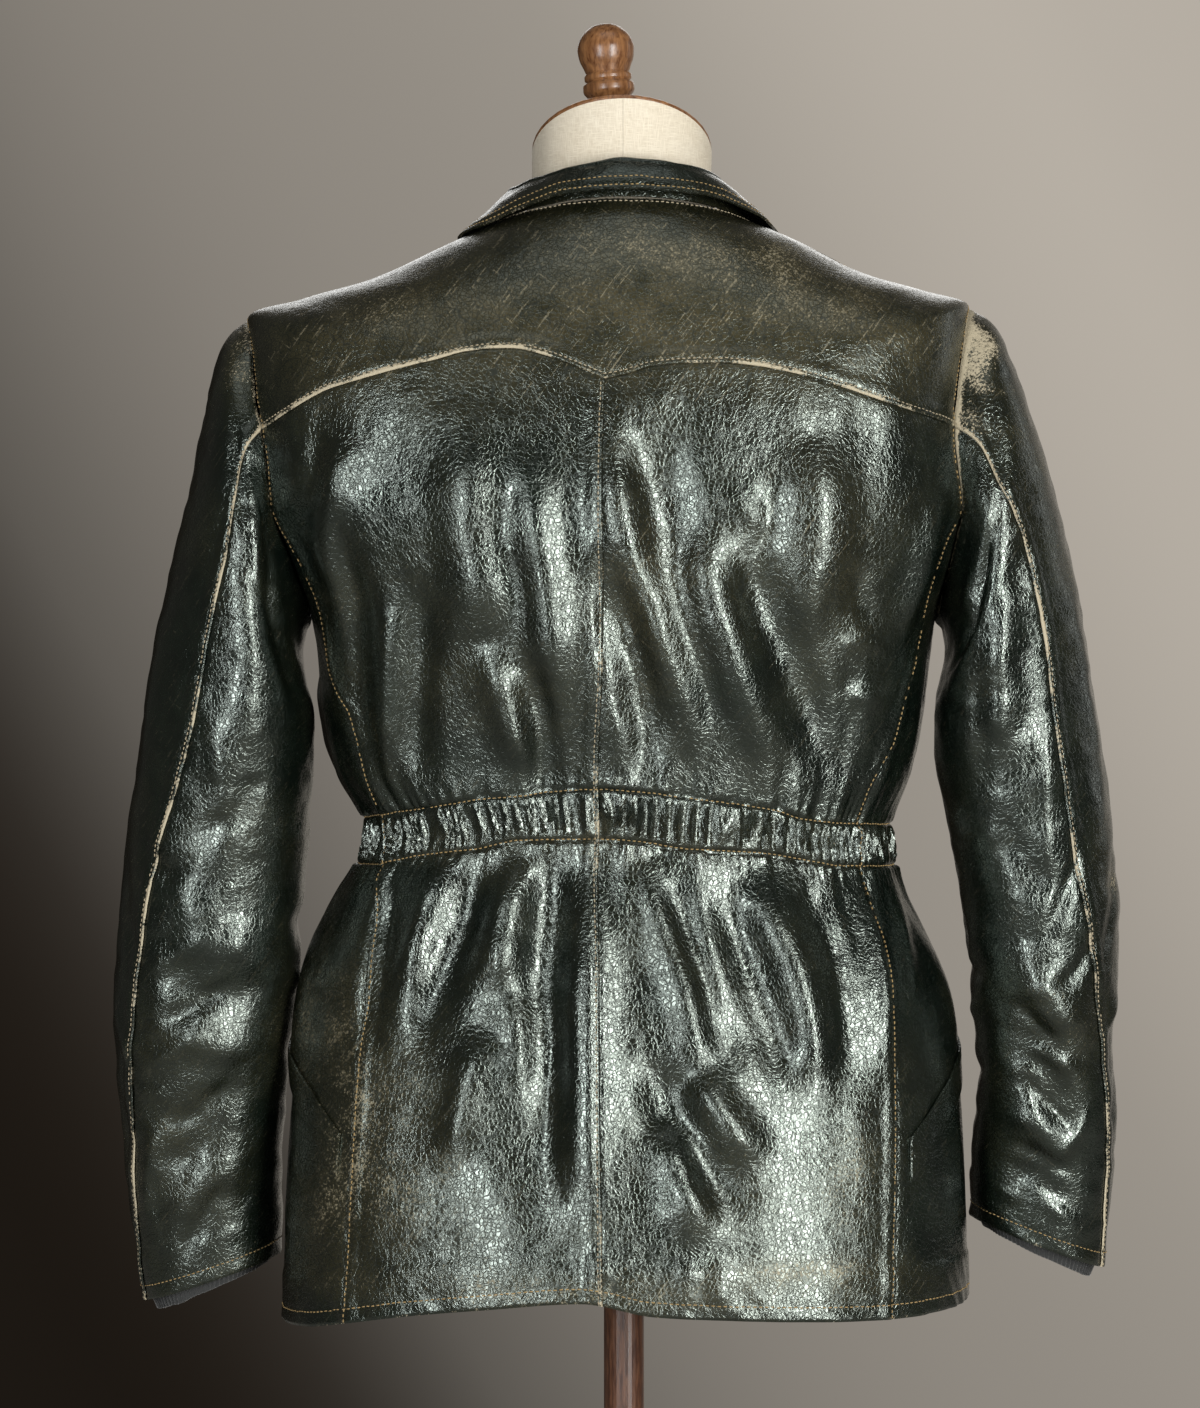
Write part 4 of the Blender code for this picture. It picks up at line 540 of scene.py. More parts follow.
def edge_distances(points):
    """Distances of each grid point from the left, right, lower and upper edges, along the cloth."""
    across = np.linalg.norm(np.diff(points, axis=1), axis=-1)
    along = np.linalg.norm(np.diff(points, axis=0), axis=-1)
    left = np.concatenate([np.zeros((len(points), 1)), np.cumsum(across, axis=1)], axis=1)
    low = np.concatenate([np.zeros((1, points.shape[1])), np.cumsum(along, axis=0)], axis=0)
    return {"left": left, "right": left[:, -1:] - left, "low": low, "high": low[-1:] - low}


def lap(kind, d, run):
    """Step at an edge, d metres from it, run metres along it."""
    puckers = 0.00022 * np.exp(-d / 0.005) * ripple(run, 0.0042, 40.0)
    if kind == "over":
        layer = step_up(d, -0.0003, 0.0009) * (1 - step_up(d, 0.0060, 0.0125))
        groove = 0.00032 * np.exp(-((d - 0.0028) / 0.0008) ** 2)
        return 0.0010 * layer - groove + puckers
    if kind == "under":
        return -0.0005 * np.exp(-(d / 0.0016) ** 2) + puckers
    if kind == "seam":
        return -0.0008 * np.exp(-(d / 0.0017) ** 2) + 1.6 * puckers
    if kind == "hem":
        turned = 0.0009 * (1 - step_up(d, 0.0300, 0.0335))
        groove = 0.0004 * np.exp(-((d - 0.0095) / 0.0010) ** 2)
        wavy = 0.0009 * np.exp(-d / 0.030) * ripple(run, 0.011, 50.0)
        return turned - groove + wavy - 0.0008 * (1 - step_up(d, 0.0, 0.0016))
    return np.zeros(np.shape(d))


def grid_normals(points, closed=False):
    """Outward directions of a grid whose rows go up and whose columns go right, seen from outside."""
    if closed:
        across = np.roll(points, -1, axis=1) - np.roll(points, 1, axis=1)
    else:
        across = np.gradient(points, axis=1)
    return unit(np.cross(across, np.gradient(points, axis=0)))


def quads(rows, columns, first=0, closed=False):
    """Faces of a grid whose rows go up. In a closed one the last column joins the first."""
    index = first + np.arange(rows * columns).reshape(rows, columns)
    if closed:
        index = np.concatenate([index, index[:, :1]], axis=1)
    return np.stack([index[:-1, :-1], index[:-1, 1:], index[1:, 1:], index[1:, :-1]], -1).reshape(-1, 4)


def rim_faces(outer, inner):
    """Faces between a fine line of the outside and a line of the inside with a third of its points."""
    faces = []
    for i in range(len(inner) - 1):
        a, b, c, d = outer[3 * i: 3 * i + 4]
        faces += [(a, inner[i], b), (b, inner[i], inner[i + 1], c), (c, inner[i + 1], d)]
    return faces


plain_ends = spread(0.020, 0.002)
print("points across 20 mm:", len(plain_ends), "with fine ends:", len(spread(0.020, 0.002, True, True)))

# %% [markdown]
# ## Shells
#
# Leather has a wall, so a panel is closed with an inside and a rim. Blender's Solidify modifier could
# add both, but it doubles every face. Here the inside has a ninth of the points, since only its turned
# edge is ever seen, and it is moved in where a fold would let it through.

# %% Shells
MADE = {}
AREAS = {}
GRIDS = {}
SHELL_SHARP = 48


def make_mesh(name, points, faces, sharp=None):
    """A smooth-shaded mesh, whose edges over the sharp angle in degrees stay crisp."""
    mesh = bpy.data.meshes.new(name)
    mesh.from_pydata(np.asarray(points).tolist(), [], [list(map(int, f)) for f in faces])
    mesh.update()
    mesh.polygons.foreach_set("use_smooth", np.ones(len(mesh.polygons), bool))
    if sharp:
        mesh.set_sharp_from_angle(angle=math.radians(sharp))
    made = bpy.data.objects.new(name, mesh)
    bpy.context.scene.collection.objects.link(made)
    return made


def inside_points(outer, out, thick):
    """Every third point moved in by the wall, and a little more where a fold dips between them."""
    way = out[::3, ::3]
    inner = outer[::3, ::3] - way * thick
    rows, columns = (np.arange(n) / 3.0 for n in outer.shape[:2])
    low_r, low_c = (np.minimum(p.astype(int), n - 2) for p, n in zip((rows, columns), inner.shape[:2]))
    f_r, f_c = (rows - low_r)[:, None, None], (columns - low_c)[None, :, None]
    for _ in range(2):
        left, right = inner[:, low_c], inner[:, low_c + 1]
        line = left * (1 - f_c) + right * f_c
        between = line[low_r] * (1 - f_r) + line[low_r + 1] * f_r
        short = np.clip(0.0005 - ((outer - between) * out).sum(axis=-1), 0.0, 0.0025)
        padded = np.pad(short, 3)
        worst = np.zeros(inner.shape[:2])
        for i in range(1, 6):
            for j in range(1, 6):
                worst = np.maximum(worst, padded[i:, j:][::3, ::3][: worst.shape[0], : worst.shape[1]])
        inner = inner - way * worst[..., None]
    return inner


def dress(made, *materials, slot=None, nodes=()):
    """Gives a piece its materials, hides the solids that it replaces and ties it to the root body. The slot,
    which would say what it is made of, is not used.
    """
    for material in materials:
        made.data.materials.append(material)
    if nodes:
        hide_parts(*nodes)
    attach(made, "root")


def shell(name, node, outer, marks, inside, thick=WALL):
    """A closed thin shell of leather from an outer grid of points, in place of a solid."""
    out = grid_normals(outer)
    GRIDS[name] = (outer, out)
    rows, columns = outer.shape[:2]
    inner = inside_points(outer, out, thick)
    fine = np.arange(rows * columns).reshape(rows, columns)
    coarse = rows * columns + np.arange(inner.shape[0] * inner.shape[1]).reshape(inner.shape[:2])
    faces = quads(rows, columns).tolist()
    back = quads(*inner.shape[:2], first=rows * columns)[:, ::-1].tolist()
    rim = rim_faces(fine[0], coarse[0])
    rim += rim_faces(fine[:, -1], coarse[:, -1])
    rim += rim_faces(fine[-1, ::-1], coarse[-1, ::-1])
    rim += rim_faces(fine[::-1, 0], coarse[::-1, 0])
    points = np.concatenate([outer.reshape(-1, 3), inner.reshape(-1, 3)])
    made = make_mesh(name, points, faces + back + rim, sharp=SHELL_SHARP)
    for word, grid in marks.items():
        layer = made.data.attributes.new(word, "FLOAT", "POINT")
        layer.data.foreach_set("value", np.concatenate([grid.ravel(), grid[::3, ::3].ravel()]))
    dress(made, LEATHER, inside, slot="leather", nodes=(node,))
    slots = np.zeros(len(made.data.polygons), np.int32)
    slots[len(faces): len(faces) + len(back)] = 1
    made.data.polygons.foreach_set("material_index", slots)
    corner = outer[:-1, :-1]
    cells = np.linalg.norm(np.cross(outer[1:, :-1] - corner, outer[:-1, 1:] - corner), axis=-1)
    AREAS[name] = float(cells.sum())
    MADE[name] = made

# %% [markdown]
# ## Materials
#
# A finish is built from shader nodes. They can be wired by hand in Blender's Shader Editor, and here a
# small class adds and joins them, so that a whole finish reads like a recipe. Everything is procedural
# and lies in the object's own metres, so nothing stretches and no picture is needed.

# %% Material helpers
class Nodes:
    """Adds nodes to one material or to the room, and joins them."""

    def __init__(self, name, owners=bpy.data.materials, shader="Principled BSDF", place="Object"):
        self.owner = owners.new(name)
        self.owner.use_nodes = True
        self.tree = self.owner.node_tree
        self.shader = self.tree.nodes[shader]
        self.place = self.add("ShaderNodeTexCoord").outputs[place]

    def add(self, kind, **settings):
        node = self.tree.nodes.new(kind)
        for word, value in settings.items():
            setattr(node, word, value)
        return node

    def join(self, source, socket):
        """Links a node's output to a socket, or sets the socket to a number or colour."""
        if hasattr(source, "is_linked"):
            self.tree.links.new(source, socket)
        elif isinstance(source, (tuple, list)) and len(source) == 3 and len(socket.default_value) == 4:
            socket.default_value = (*source, 1.0)
        else:
            socket.default_value = source

    def feed(self, node, **inputs):
        """Joins values to a node's sockets, whose names have _ in place of spaces."""
        for word, value in inputs.items():
            self.join(value, node.inputs[word.replace("_", " ")])
        return node

    def surface(self, **inputs):
        self.feed(self.shader, **inputs)
        return self.owner

    def math(self, how, a, b=0.0, c=0.0, clamp=False):
        node = self.add("ShaderNodeMath", operation=how, use_clamp=clamp)
        for value, socket in zip((a, b, c), node.inputs):
            self.join(value, socket)
        return node.outputs[0]

    def stretched(self, scale):
        return self.feed(self.add("ShaderNodeMapping"), Vector=self.place, Scale=scale).outputs[0]

    def turned(self, sizes, turn):
        """Coordinates in steps of the given sizes, turned about Y so that long marks can lean."""
        node = self.add("ShaderNodeMapping", vector_type="TEXTURE")
        return self.feed(node, Vector=self.place, Scale=sizes, Rotation=(0.0, turn, 0.0)).outputs[0]

    def noise(self, scale, detail=3.0, rough=0.55, at=None, distortion=0.0):
        node = self.add("ShaderNodeTexNoise")
        self.feed(node, Vector=at or self.place, Scale=scale, Detail=detail)
        return self.feed(node, Roughness=rough, Distortion=distortion).outputs["Fac"]

    def cells(self, scale, feature="DISTANCE_TO_EDGE", at=None):
        node = self.add("ShaderNodeTexVoronoi", feature=feature)
        return self.feed(node, Vector=at or self.place, Scale=scale).outputs["Distance"]

    def ramp(self, value, low, high, out_low=0.0, out_high=1.0):
        """A soft step from out_low to out_high as the value goes from low to high."""
        node = self.add("ShaderNodeMapRange", interpolation_type="SMOOTHSTEP")
        self.feed(node, Value=value, From_Min=low, From_Max=high, To_Min=out_low, To_Max=out_high)
        return node.outputs["Result"]

    def mix(self, share, a, b):
        node = self.add("ShaderNodeMix", data_type="RGBA")
        # sockets 6, 7 and output 2 are the ones for colours
        for value, number in ((share, 0), (a, 6), (b, 7)):
            self.join(value, node.inputs[number])
        return node.outputs[2]

    def mark(self, word):
        """A number stored at the points of the mesh."""
        return self.add("ShaderNodeAttribute", attribute_name=word).outputs["Fac"]

    def uneven(self, start, *noises):
        """A value raised and lowered by noises, each with its share."""
        for noise, share in noises:
            start = self.math("MULTIPLY_ADD", self.math("SUBTRACT", noise, 0.5), share, start)
        return start

    def bump(self, height, distance, strength=1.0, under=None):
        node = self.feed(self.add("ShaderNodeBump"), Distance=distance, Strength=strength, Height=height)
        if under:
            self.feed(node, Normal=under)
        return node.outputs["Normal"]


def warped(nodes, size, amount):
    """Coordinates pushed about by noise, so that cells lose their straight sides."""
    noise = nodes.feed(nodes.add("ShaderNodeTexNoise"), Vector=nodes.place, Scale=size, Detail=2.0)
    moved = nodes.add("ShaderNodeMixRGB", blend_type="ADD")
    nodes.feed(moved, Fac=amount, Color1=nodes.place, Color2=noise.outputs["Color"])
    return moved.outputs["Color"]

# %% [markdown]
# ## Leather
#
# The hide was dyed dark green and polished. Its finish has cracked into a fine net, browned on the
# yoke, come off in beige speckles and worn through at the edges. A painted picture could show one such
# hide from one side. Here three numbers stored on the cloth say where each kind of wear is, `tan` for
# browning, `wear` for speckles and `rub` for bare edges, and noise breaks them up into marks. The
# `wear` number is also raised on ridges and lowered in hollows, partly as wear and partly as a painted
# highlight and painted shade, and the cracks are painted darker, as shade in them.

# %% Leather
GREENS = ((0.0014, 0.0030, 0.0020), (0.0042, 0.0070, 0.0044))
BROWNS = ((0.038, 0.033, 0.015), (0.082, 0.066, 0.032))
# painted shade in the cracks of the finish
CRACK_SHADE_PAINT = (0.0020, 0.0030, 0.0022)
SPECK_COLOUR = (0.28, 0.24, 0.155)
HIDE_COLOUR = (0.42, 0.36, 0.25)
PEBBLE_DEPTH = 0.000095
CREASE_DEPTH = 0.00040


def leather_material(name):
    """Worn leather, which reads the marks tan, wear and rub."""
    n = Nodes(name)
    fine = n.noise(1000.0, 2.0)
    patch = n.noise(560.0, 4.0, 0.62)
    clouds = n.noise(34.0, 4.0, 0.6)
    broad = n.noise(11.0, 3.0, 0.55)
    streak = n.noise(1.0, 4.0, 0.7, at=n.turned((0.0011, 0.0033, 0.0100), 0.75))
    scrape = n.noise(1.0, 2.0, 0.5, at=n.turned((0.0014, 0.0100, 0.0440), 0.62))
    crossing = n.noise(1.0, 2.0, 0.5, at=n.turned((0.0014, 0.0100, 0.0320), -0.85))
    bent = warped(n, 210.0, 0.0026)
    pebble = n.cells(330.0, "SMOOTH_F1", at=bent)
    net = n.cells(330.0, at=bent)
    wide_net = n.cells(95.0, at=bent)
    cracks = n.math("MINIMUM", n.ramp(net, 0.0, 0.14), n.ramp(wide_net, 0.0, 0.05))
    # speckled wear, raised on ridges partly as a painted highlight: the stored amount lowers the bar that the
    # noise has to pass
    push = n.math("MULTIPLY_ADD", n.mark("wear"), 0.52, -0.50)
    push = n.uneven(push, (patch, 1.25), (fine, 0.80), (clouds, 0.60), (streak, 0.60))
    specks = n.ramp(push, 0.0, 0.16)
    # scratches that lean both ways, where the leather is browned
    lines = n.math("MAXIMUM", n.ramp(scrape, 0.635, 0.69), n.ramp(crossing, 0.68, 0.73))
    lines = n.math("MULTIPLY", lines, n.ramp(n.mark("tan"), 0.10, 0.60, 0.10, 0.80))
    lines = n.math("MULTIPLY", lines, n.ramp(patch, 0.42, 0.55))
    specks = n.math("MAXIMUM", specks, lines)
    # edges rubbed through to the pale hide
    rubbed = n.math("MULTIPLY_ADD", n.mark("rub"), 1.35, -0.62)
    rubbed = n.uneven(rubbed, (patch, 1.4), (clouds, 1.1), (fine, 0.8), (streak, 0.6))
    rubbed = n.ramp(rubbed, 0.0, 0.34)
    dark = n.mix(n.ramp(clouds, 0.35, 0.70), *GREENS)
    brown = n.mix(n.ramp(clouds, 0.3, 0.7), *BROWNS)
    tint = n.math("MULTIPLY_ADD", n.math("SUBTRACT", broad, 0.56), 0.60, n.mark("tan"), clamp=True)
    colour = n.mix(n.math("MULTIPLY", tint, n.ramp(patch, 0.15, 0.75, 0.60, 1.0)), dark, brown)
    # painted shade: the colour is darkened in the cracks of the net
    colour = n.mix(n.ramp(cracks, 0.0, 0.6, 0.75, 0.0), colour, CRACK_SHADE_PAINT)
    colour = n.mix(n.math("MULTIPLY", specks, 0.62), colour, SPECK_COLOUR)
    colour = n.mix(n.math("MULTIPLY", rubbed, 0.90), colour, HIDE_COLOUR)
    # bare hide is dull, and the finish between the cracks shines
    rough = n.ramp(clouds, 0.25, 0.75, 0.12, 0.20)
    rough = n.math("ADD", n.ramp(cracks, 0.0, 0.8, 0.12, 0.0), rough)
    rough = n.math("MULTIPLY_ADD", tint, 0.08, rough)
    rough = n.math("MULTIPLY_ADD", specks, 0.30, rough)
    rough = n.math("MULTIPLY_ADD", rubbed, 0.42, rough, clamp=True)
    height = n.math("MULTIPLY_ADD", pebble, -0.60, n.math("MULTIPLY", cracks, 0.80))
    height = n.math("MULTIPLY_ADD", patch, 0.20, height)
    height = n.math("MULTIPLY_ADD", specks, -0.08, height)
    near = n.bump(height, PEBBLE_DEPTH)
    creases = n.noise(1.0, 5.0, 0.60, at=n.stretched((120.0, 120.0, 80.0)), distortion=0.8)
    sharp = n.math("ABSOLUTE", n.math("SUBTRACT", creases, 0.5))
    sharp = n.math("MULTIPLY_ADD", creases, 0.6, n.math("POWER", sharp, 0.7))
    normal = n.bump(sharp, CREASE_DEPTH, 0.8, under=near)
    shine = {"Specular_IOR_Level": 0.90, "Specular_Tint": (0.88, 1.0, 0.91)}
    return n.surface(Base_Color=colour, Roughness=rough, Normal=normal, **shine)


LEATHER = leather_material("worn_leather")
print("leather nodes:", len(LEATHER.node_tree.nodes))

# %% [markdown]
# ## Cloth, wood, thread and horn
#
# The inside of the leather is napped suede, the form is covered in plain linen, the cuffs are knitted,
# and the stand is varnished wood. Weave could be modelled thread by thread, but at this distance two
# crossed noises read the same. Grain is noise drawn out along the length of the wood.

# %% Suede, linen and knit
def suede_material(name):
    n = Nodes(name)
    nap = n.noise(1400.0, 3.0)
    clouds = n.noise(45.0, 3.0)
    colour = n.mix(clouds, (0.040, 0.036, 0.028), (0.075, 0.066, 0.050))
    return n.surface(Base_Color=colour, Roughness=0.95, Sheen_Weight=0.25, Normal=n.bump(nap, 0.0003, 0.7))


def linen_material(name):
    n = Nodes(name)
    warp = n.noise(1.0, 2.0, at=n.stretched((2400.0, 2400.0, 160.0)))
    weft = n.noise(1.0, 2.0, at=n.stretched((160.0, 160.0, 2400.0)))
    weave = n.math("MAXIMUM", warp, weft)
    clouds = n.noise(22.0, 4.0)
    stain = n.ramp(n.noise(9.0, 5.0, 0.7), 0.52, 0.78)
    colour = n.mix(n.ramp(weave, 0.35, 0.75), (0.50, 0.43, 0.32), (0.68, 0.62, 0.50))
    colour = n.mix(n.math("MULTIPLY", stain, 0.30), colour, (0.50, 0.38, 0.23))
    colour = n.mix(n.ramp(clouds, 0.3, 0.7, 0.0, 0.18), colour, (0.74, 0.70, 0.61))
    return n.surface(Base_Color=colour, Roughness=0.88, Sheen_Weight=0.12, Normal=n.bump(weave, 0.00015, 0.6))


def knit_material(name):
    n = Nodes(name)
    strand = n.noise(1.0, 3.0, at=n.stretched((1300.0, 1300.0, 600.0)))
    colour = n.mix(strand, (0.006, 0.007, 0.007), (0.028, 0.030, 0.030))
    return n.surface(Base_Color=colour, Roughness=0.95, Sheen_Weight=0.35, Normal=n.bump(strand, 0.0004, 0.9))


SUEDE = suede_material("leather_inside")
LINEN = linen_material("linen_cover")
KNIT = knit_material("ribbed_knit")
print("cloth materials:", [material.name for material in (SUEDE, LINEN, KNIT)])

# %% Wood, thread and horn
def wood_material(name, dark, light, rough):
    n = Nodes(name)
    bands = n.noise(1.0, 5.0, 0.6, at=n.stretched((420.0, 420.0, 60.0)), distortion=0.4)
    pores = n.noise(1.0, 2.0, at=n.stretched((2200.0, 2200.0, 160.0)))
    wear = n.ramp(n.noise(70.0, 5.0, 0.65), 0.52, 0.75)
    colour = n.mix(n.ramp(bands, 0.30, 0.72), dark, light)
    colour = n.mix(n.ramp(pores, 0.62, 0.78, 0.0, 0.45), colour, tuple(c * 0.35 for c in dark))
    colour = n.mix(n.math("MULTIPLY", wear, 0.30), colour, tuple(min(1.0, c * 1.5) for c in light))
    varnish = {"Coat_Weight": 0.15, "Coat_Roughness": 0.25}
    shine = n.ramp(bands, 0.2, 0.8, rough - 0.06, rough + 0.10)
    grain = n.bump(n.math("MULTIPLY_ADD", pores, -0.5, bands), 0.0002, 0.5)
    return n.surface(Base_Color=colour, Roughness=shine, Normal=grain, **varnish)


def thread_material(name, colour):
    n = Nodes(name)
    twist = n.noise(2400.0, 2.0)
    grime = n.noise(60.0, 4.0)
    tone = n.mix(n.ramp(twist, 0.3, 0.7), tuple(0.6 * c for c in colour), colour)
    worn = n.mix(n.ramp(grime, 0.45, 0.75, 0.0, 0.55), tone, tuple(0.3 * c for c in colour))
    return n.surface(Base_Color=worn, Roughness=0.8, Normal=n.bump(twist, 0.0002, 0.5))


def button_material(name):
    n = Nodes(name)
    swirl = n.noise(160.0, 5.0, 0.6, distortion=1.2)
    colour = n.mix(swirl, (0.006, 0.008, 0.007), (0.035, 0.036, 0.028))
    return n.surface(Base_Color=colour, Roughness=0.30, Normal=n.bump(swirl, 0.0001, 0.3))


TURNED = wood_material("turned_wood_grain", (0.105, 0.040, 0.014), (0.270, 0.125, 0.047), 0.30)
DARK_WOOD = wood_material("dark_wood_grain", (0.036, 0.012, 0.006), (0.110, 0.046, 0.022), 0.36)
CREAM_THREAD = thread_material("cream_thread", (0.44, 0.37, 0.25))
TAN_THREAD = thread_material("tan_thread", (0.38, 0.26, 0.11))
BUTTON = button_material("horn_button")
print("materials:", len(bpy.data.materials))

# %% [markdown]
# ## Where the jacket is worn
#
# Leather wears where it is touched, creased and rubbed: shoulders, seams, hem and sleeve heads. Weight
# painting would store the same numbers by hand, but soft patches from a table are easier to correct.
# The front gets the same patches, weaker. `rub_edge` then wears a panel's edges through.

# %% Wear of the cloth
FRONT_SHARE = 0.55
# x, z, reach_x, reach_z, wear, tan, rub
PATCHES = in_metres((
    (40, 1125, 150, 45, 0.37, 0.38, 0), (75, 1142, 80, 20, 0.36, 0.15, 0),
    (120, 1105, 50, 30, 0.3, 0.15, 0), (-30, 1160, 80, 16, 0.2, 0.2, 0),
    (-140, 1105, 60, 22, 0.46, 0.3, 0), (-190, 1072, 45, 30, 0.22, 0.25, 0),
    (180, 1085, 50, 30, 0.26, 0.3, 0), (0, 1085, 160, 45, 0.1, 0.66, 0),
    (231, 1093, 12, 17, 0.45, 0.2, 0.46), (240, 1080, 8, 12, 0.45, 0.2, 0.26),
    (229, 1064, 11, 15, 0.45, 0.2, 0.46), (243, 1053, 15, 5, 0.35, 0.15, 0.34),
    (226, 1036, 11, 11, 0.35, 0.15, 0.4), (239, 1027, 11, 6, 0.35, 0.15, 0.26),
    (268, 1020, 26, 45, 0.45, 0.25, 0.02), (300, 940, 18, 50, 0.45, 0.15, 0.02),
    (-252, 1075, 10, 30, 0.5, 0.2, 0.22), (-190, 640, 35, 55, 0.5, 0.25, 0),
    (-150, 580, 45, 60, 0.44, 0.25, 0), (-120, 530, 70, 40, 0.38, 0.2, 0),
    (-195, 520, 35, 35, 0.46, 0.2, 0), (112, 493, 46, 8, 0.75, 0.6, 0.38),
    (140, 550, 22, 40, 0.55, 0.25, 0.05), (90, 540, 50, 40, 0.25, 0.2, 0),
    (0, 480, 200, 12, 0.35, 0.4, 0.08), (-180, 920, 25, 60, 0.38, 0.1, 0),
    (-145, 929, 12, 1.2, 0.5, 0.2, 0.52), (315, 760, 10, 45, 0.45, 0.15, 0.12),
    (322, 735, 8, 14, 0.5, 0.2, 0.4), (290, 640, 35, 50, 0.32, 0.05, 0),
    (-290, 560, 40, 70, 0.3, 0.1, 0), (110, 960, 60, 50, 0.18, 0.3, 0),
    (10, 930, 30, 90, 0.15, 0.25, 0), (0, 760, 200, 18, 0.24, 0.2, 0),
    (6, 610, 10, 130, 0.15, 0.1, 0.16),
), *range(4))


def wear_marks(points):
    """Stored amounts of wear, tan and rub at points of the cloth."""
    x, y, z = points[..., 0], points[..., 1], points[..., 2]
    side = np.where(y < 0.02, 1.0, FRONT_SHARE)
    marks = {"wear": 0.12 + 0.14 * cloud(points, 0.05, 2.0), "tan": 0.06 + 0 * x, "rub": 0 * x}
    for px, pz, rx, rz, wear, tan, rub in PATCHES:
        shape = np.exp(-((x - px) / rx) ** 2 - ((z - pz) / rz) ** 2) * side
        for word, amount in (("wear", wear), ("tan", tan), ("rub", rub)):
            marks[word] = marks[word] + amount * shape
    return {word: np.clip(values, 0.0, 1.2) for word, values in marks.items()}


def rub_edge(marks, points, distance, amount, width=0.0032, seed=0.0):
    """Adds worn-through leather along an edge, in uneven lengths."""
    uneven = 0.62 + 0.42 * cloud(points, 0.030, 60.0 + seed) + 0.30 * cloud(points, 0.0085, 70.0 + seed)
    marks["rub"] = np.clip(marks["rub"] + amount * np.exp(-(distance / width) ** 2) * uneven, 0.0, 1.3)
    marks["wear"] = np.clip(marks["wear"] + 0.30 * amount * np.exp(-(distance / 0.010) ** 2), 0.0, 1.3)


print("patches of wear:", len(PATCHES))

# %% [markdown]
# ## Rows of a panel
#
# Every panel runs between the seam curves of its solid. Its rows are stacked in parts, hem to casing,
# casing, casing to armpit and so on, so that a row of points lies on each stitched line. Cutting a
# finished mesh along those lines would leave ragged faces beside the stitches.

# %% Rows between seams
COLUMN_STEP = 0.0021
ROW_STEP = 0.0023
CASING_STEP = 0.0012


def levels_between(low_of, high_of):
    return lambda angle, share: low_of(angle) + (high_of(angle) - low_of(angle)) * share


def constant(value):
    return lambda angle: np.full(np.shape(angle), float(value))


def plain_part(low, high, length, start, fine_end=False):
    """Level curves, shares and a first guess for rows between two plain levels."""
    return levels_between(constant(low), constant(high)), spread(length, ROW_STEP, fine_end=fine_end), start


LOW_PARTS = [
    (levels_between(hem_of, waist_low_of), spread(0.300, ROW_STEP, fine_start=True), 12.0),
    (levels_between(waist_low_of, waist_top_of), spread(0.033, CASING_STEP), 10.0),
    (levels_between(waist_top_of, constant(MIDDLE_LEVEL)), spread(0.115, ROW_STEP), 8.5),
]


def stack_parts(parts, left_of, right_of, columns):
    """Angles and levels of all rows of a panel, and the numbers of the rows that end each part."""
    angles, levels, marks = [], [], []
    for number, (level_of, shares, start) in enumerate(parts):
        angle, level = part_rows(level_of, shares, left_of, right_of, columns, start)
        keep = slice(0 if number == 0 else 1, None)
        angles.append(angle[keep])
        levels.append(level[keep])
        marks.append(sum(len(a) for a in angles) - 1)
    return np.concatenate(angles), np.concatenate(levels), marks


def ordered(side, first, second):
    """Two things from left to right on the left side of the jacket, and turned round on the right."""
    return (first, second) if side < 0 else (second, first)


print("rows of the skirt, casing and middle:", [len(part[1]) for part in LOW_PARTS])

# %% [markdown]
# ## A panel of the torso
#
# `edges` says what each edge of a panel does: it lies over its neighbour, under it, meets it in a plain
# seam or is turned up as a hem. `rubs` says how far each is worn through. The seams' cream piping is
# leather rubbed through, so it is stored as `rub` near the edge and not modelled as a cord.

# %% Torso panels
SEAM_RUB = {"yoke": 1.05, "centre": 0.62, "princess": 0.42, "armhole": 0.55, "hem": 0.42, "plain": 0.20}
WAIST_LINES = {}


def torso_panel(piece, angle, level, edges, rubs, raised=None, stitched=()):
    """Makes one panel from its angles and levels, with the laps of its four edges."""
    name = f"{piece}_leather"
    flat = plain_body(angle, level)
    height = torso_height(angle, level, flat)
    distance = edge_distances(flat)
    along = np.radians(angle) * ARC_RADIUS
    for edge, kind in edges.items():
        height = height + lap(kind, distance[edge], along + flat[..., 2])
    if raised is not None:
        height = height + raised(angle)
    outer = flat + plain_normal(angle, level) * height[..., None]
    marks = wear_marks(outer)
    # more speckles on the cloth's small ridges and fewer in its hollows: partly wear of the ridges, partly a
    # painted highlight on them and painted shade in the hollows
    ridge = np.clip((height - fold_height(FLAT_FOLDS, along, flat[..., 2])) / 0.0015, -1, 1)
    marks["wear"] = np.clip(marks["wear"] + 0.10 * ridge, 0.0, 1.2)
    for seed, (edge, word) in enumerate(rubs.items()):
        rub_edge(marks, flat, distance[edge], SEAM_RUB[word], seed=seed)
    WAIST_LINES[name] = stitched
    shell(name, piece, outer, marks, SUEDE)

# %% [markdown]
# ## Back, side and front panels
#
# The back is two long panels that meet in a centre seam. A side panel turns from the princess seam
# round under the arm, and its rows have to sink towards the armpit, so that none is cut off by the
# armhole. The fronts overlap in the middle, and the left one is raised there by the right one's wall.
# One panel mirrored would be quicker, but the two halves of a worn jacket aren't alike.

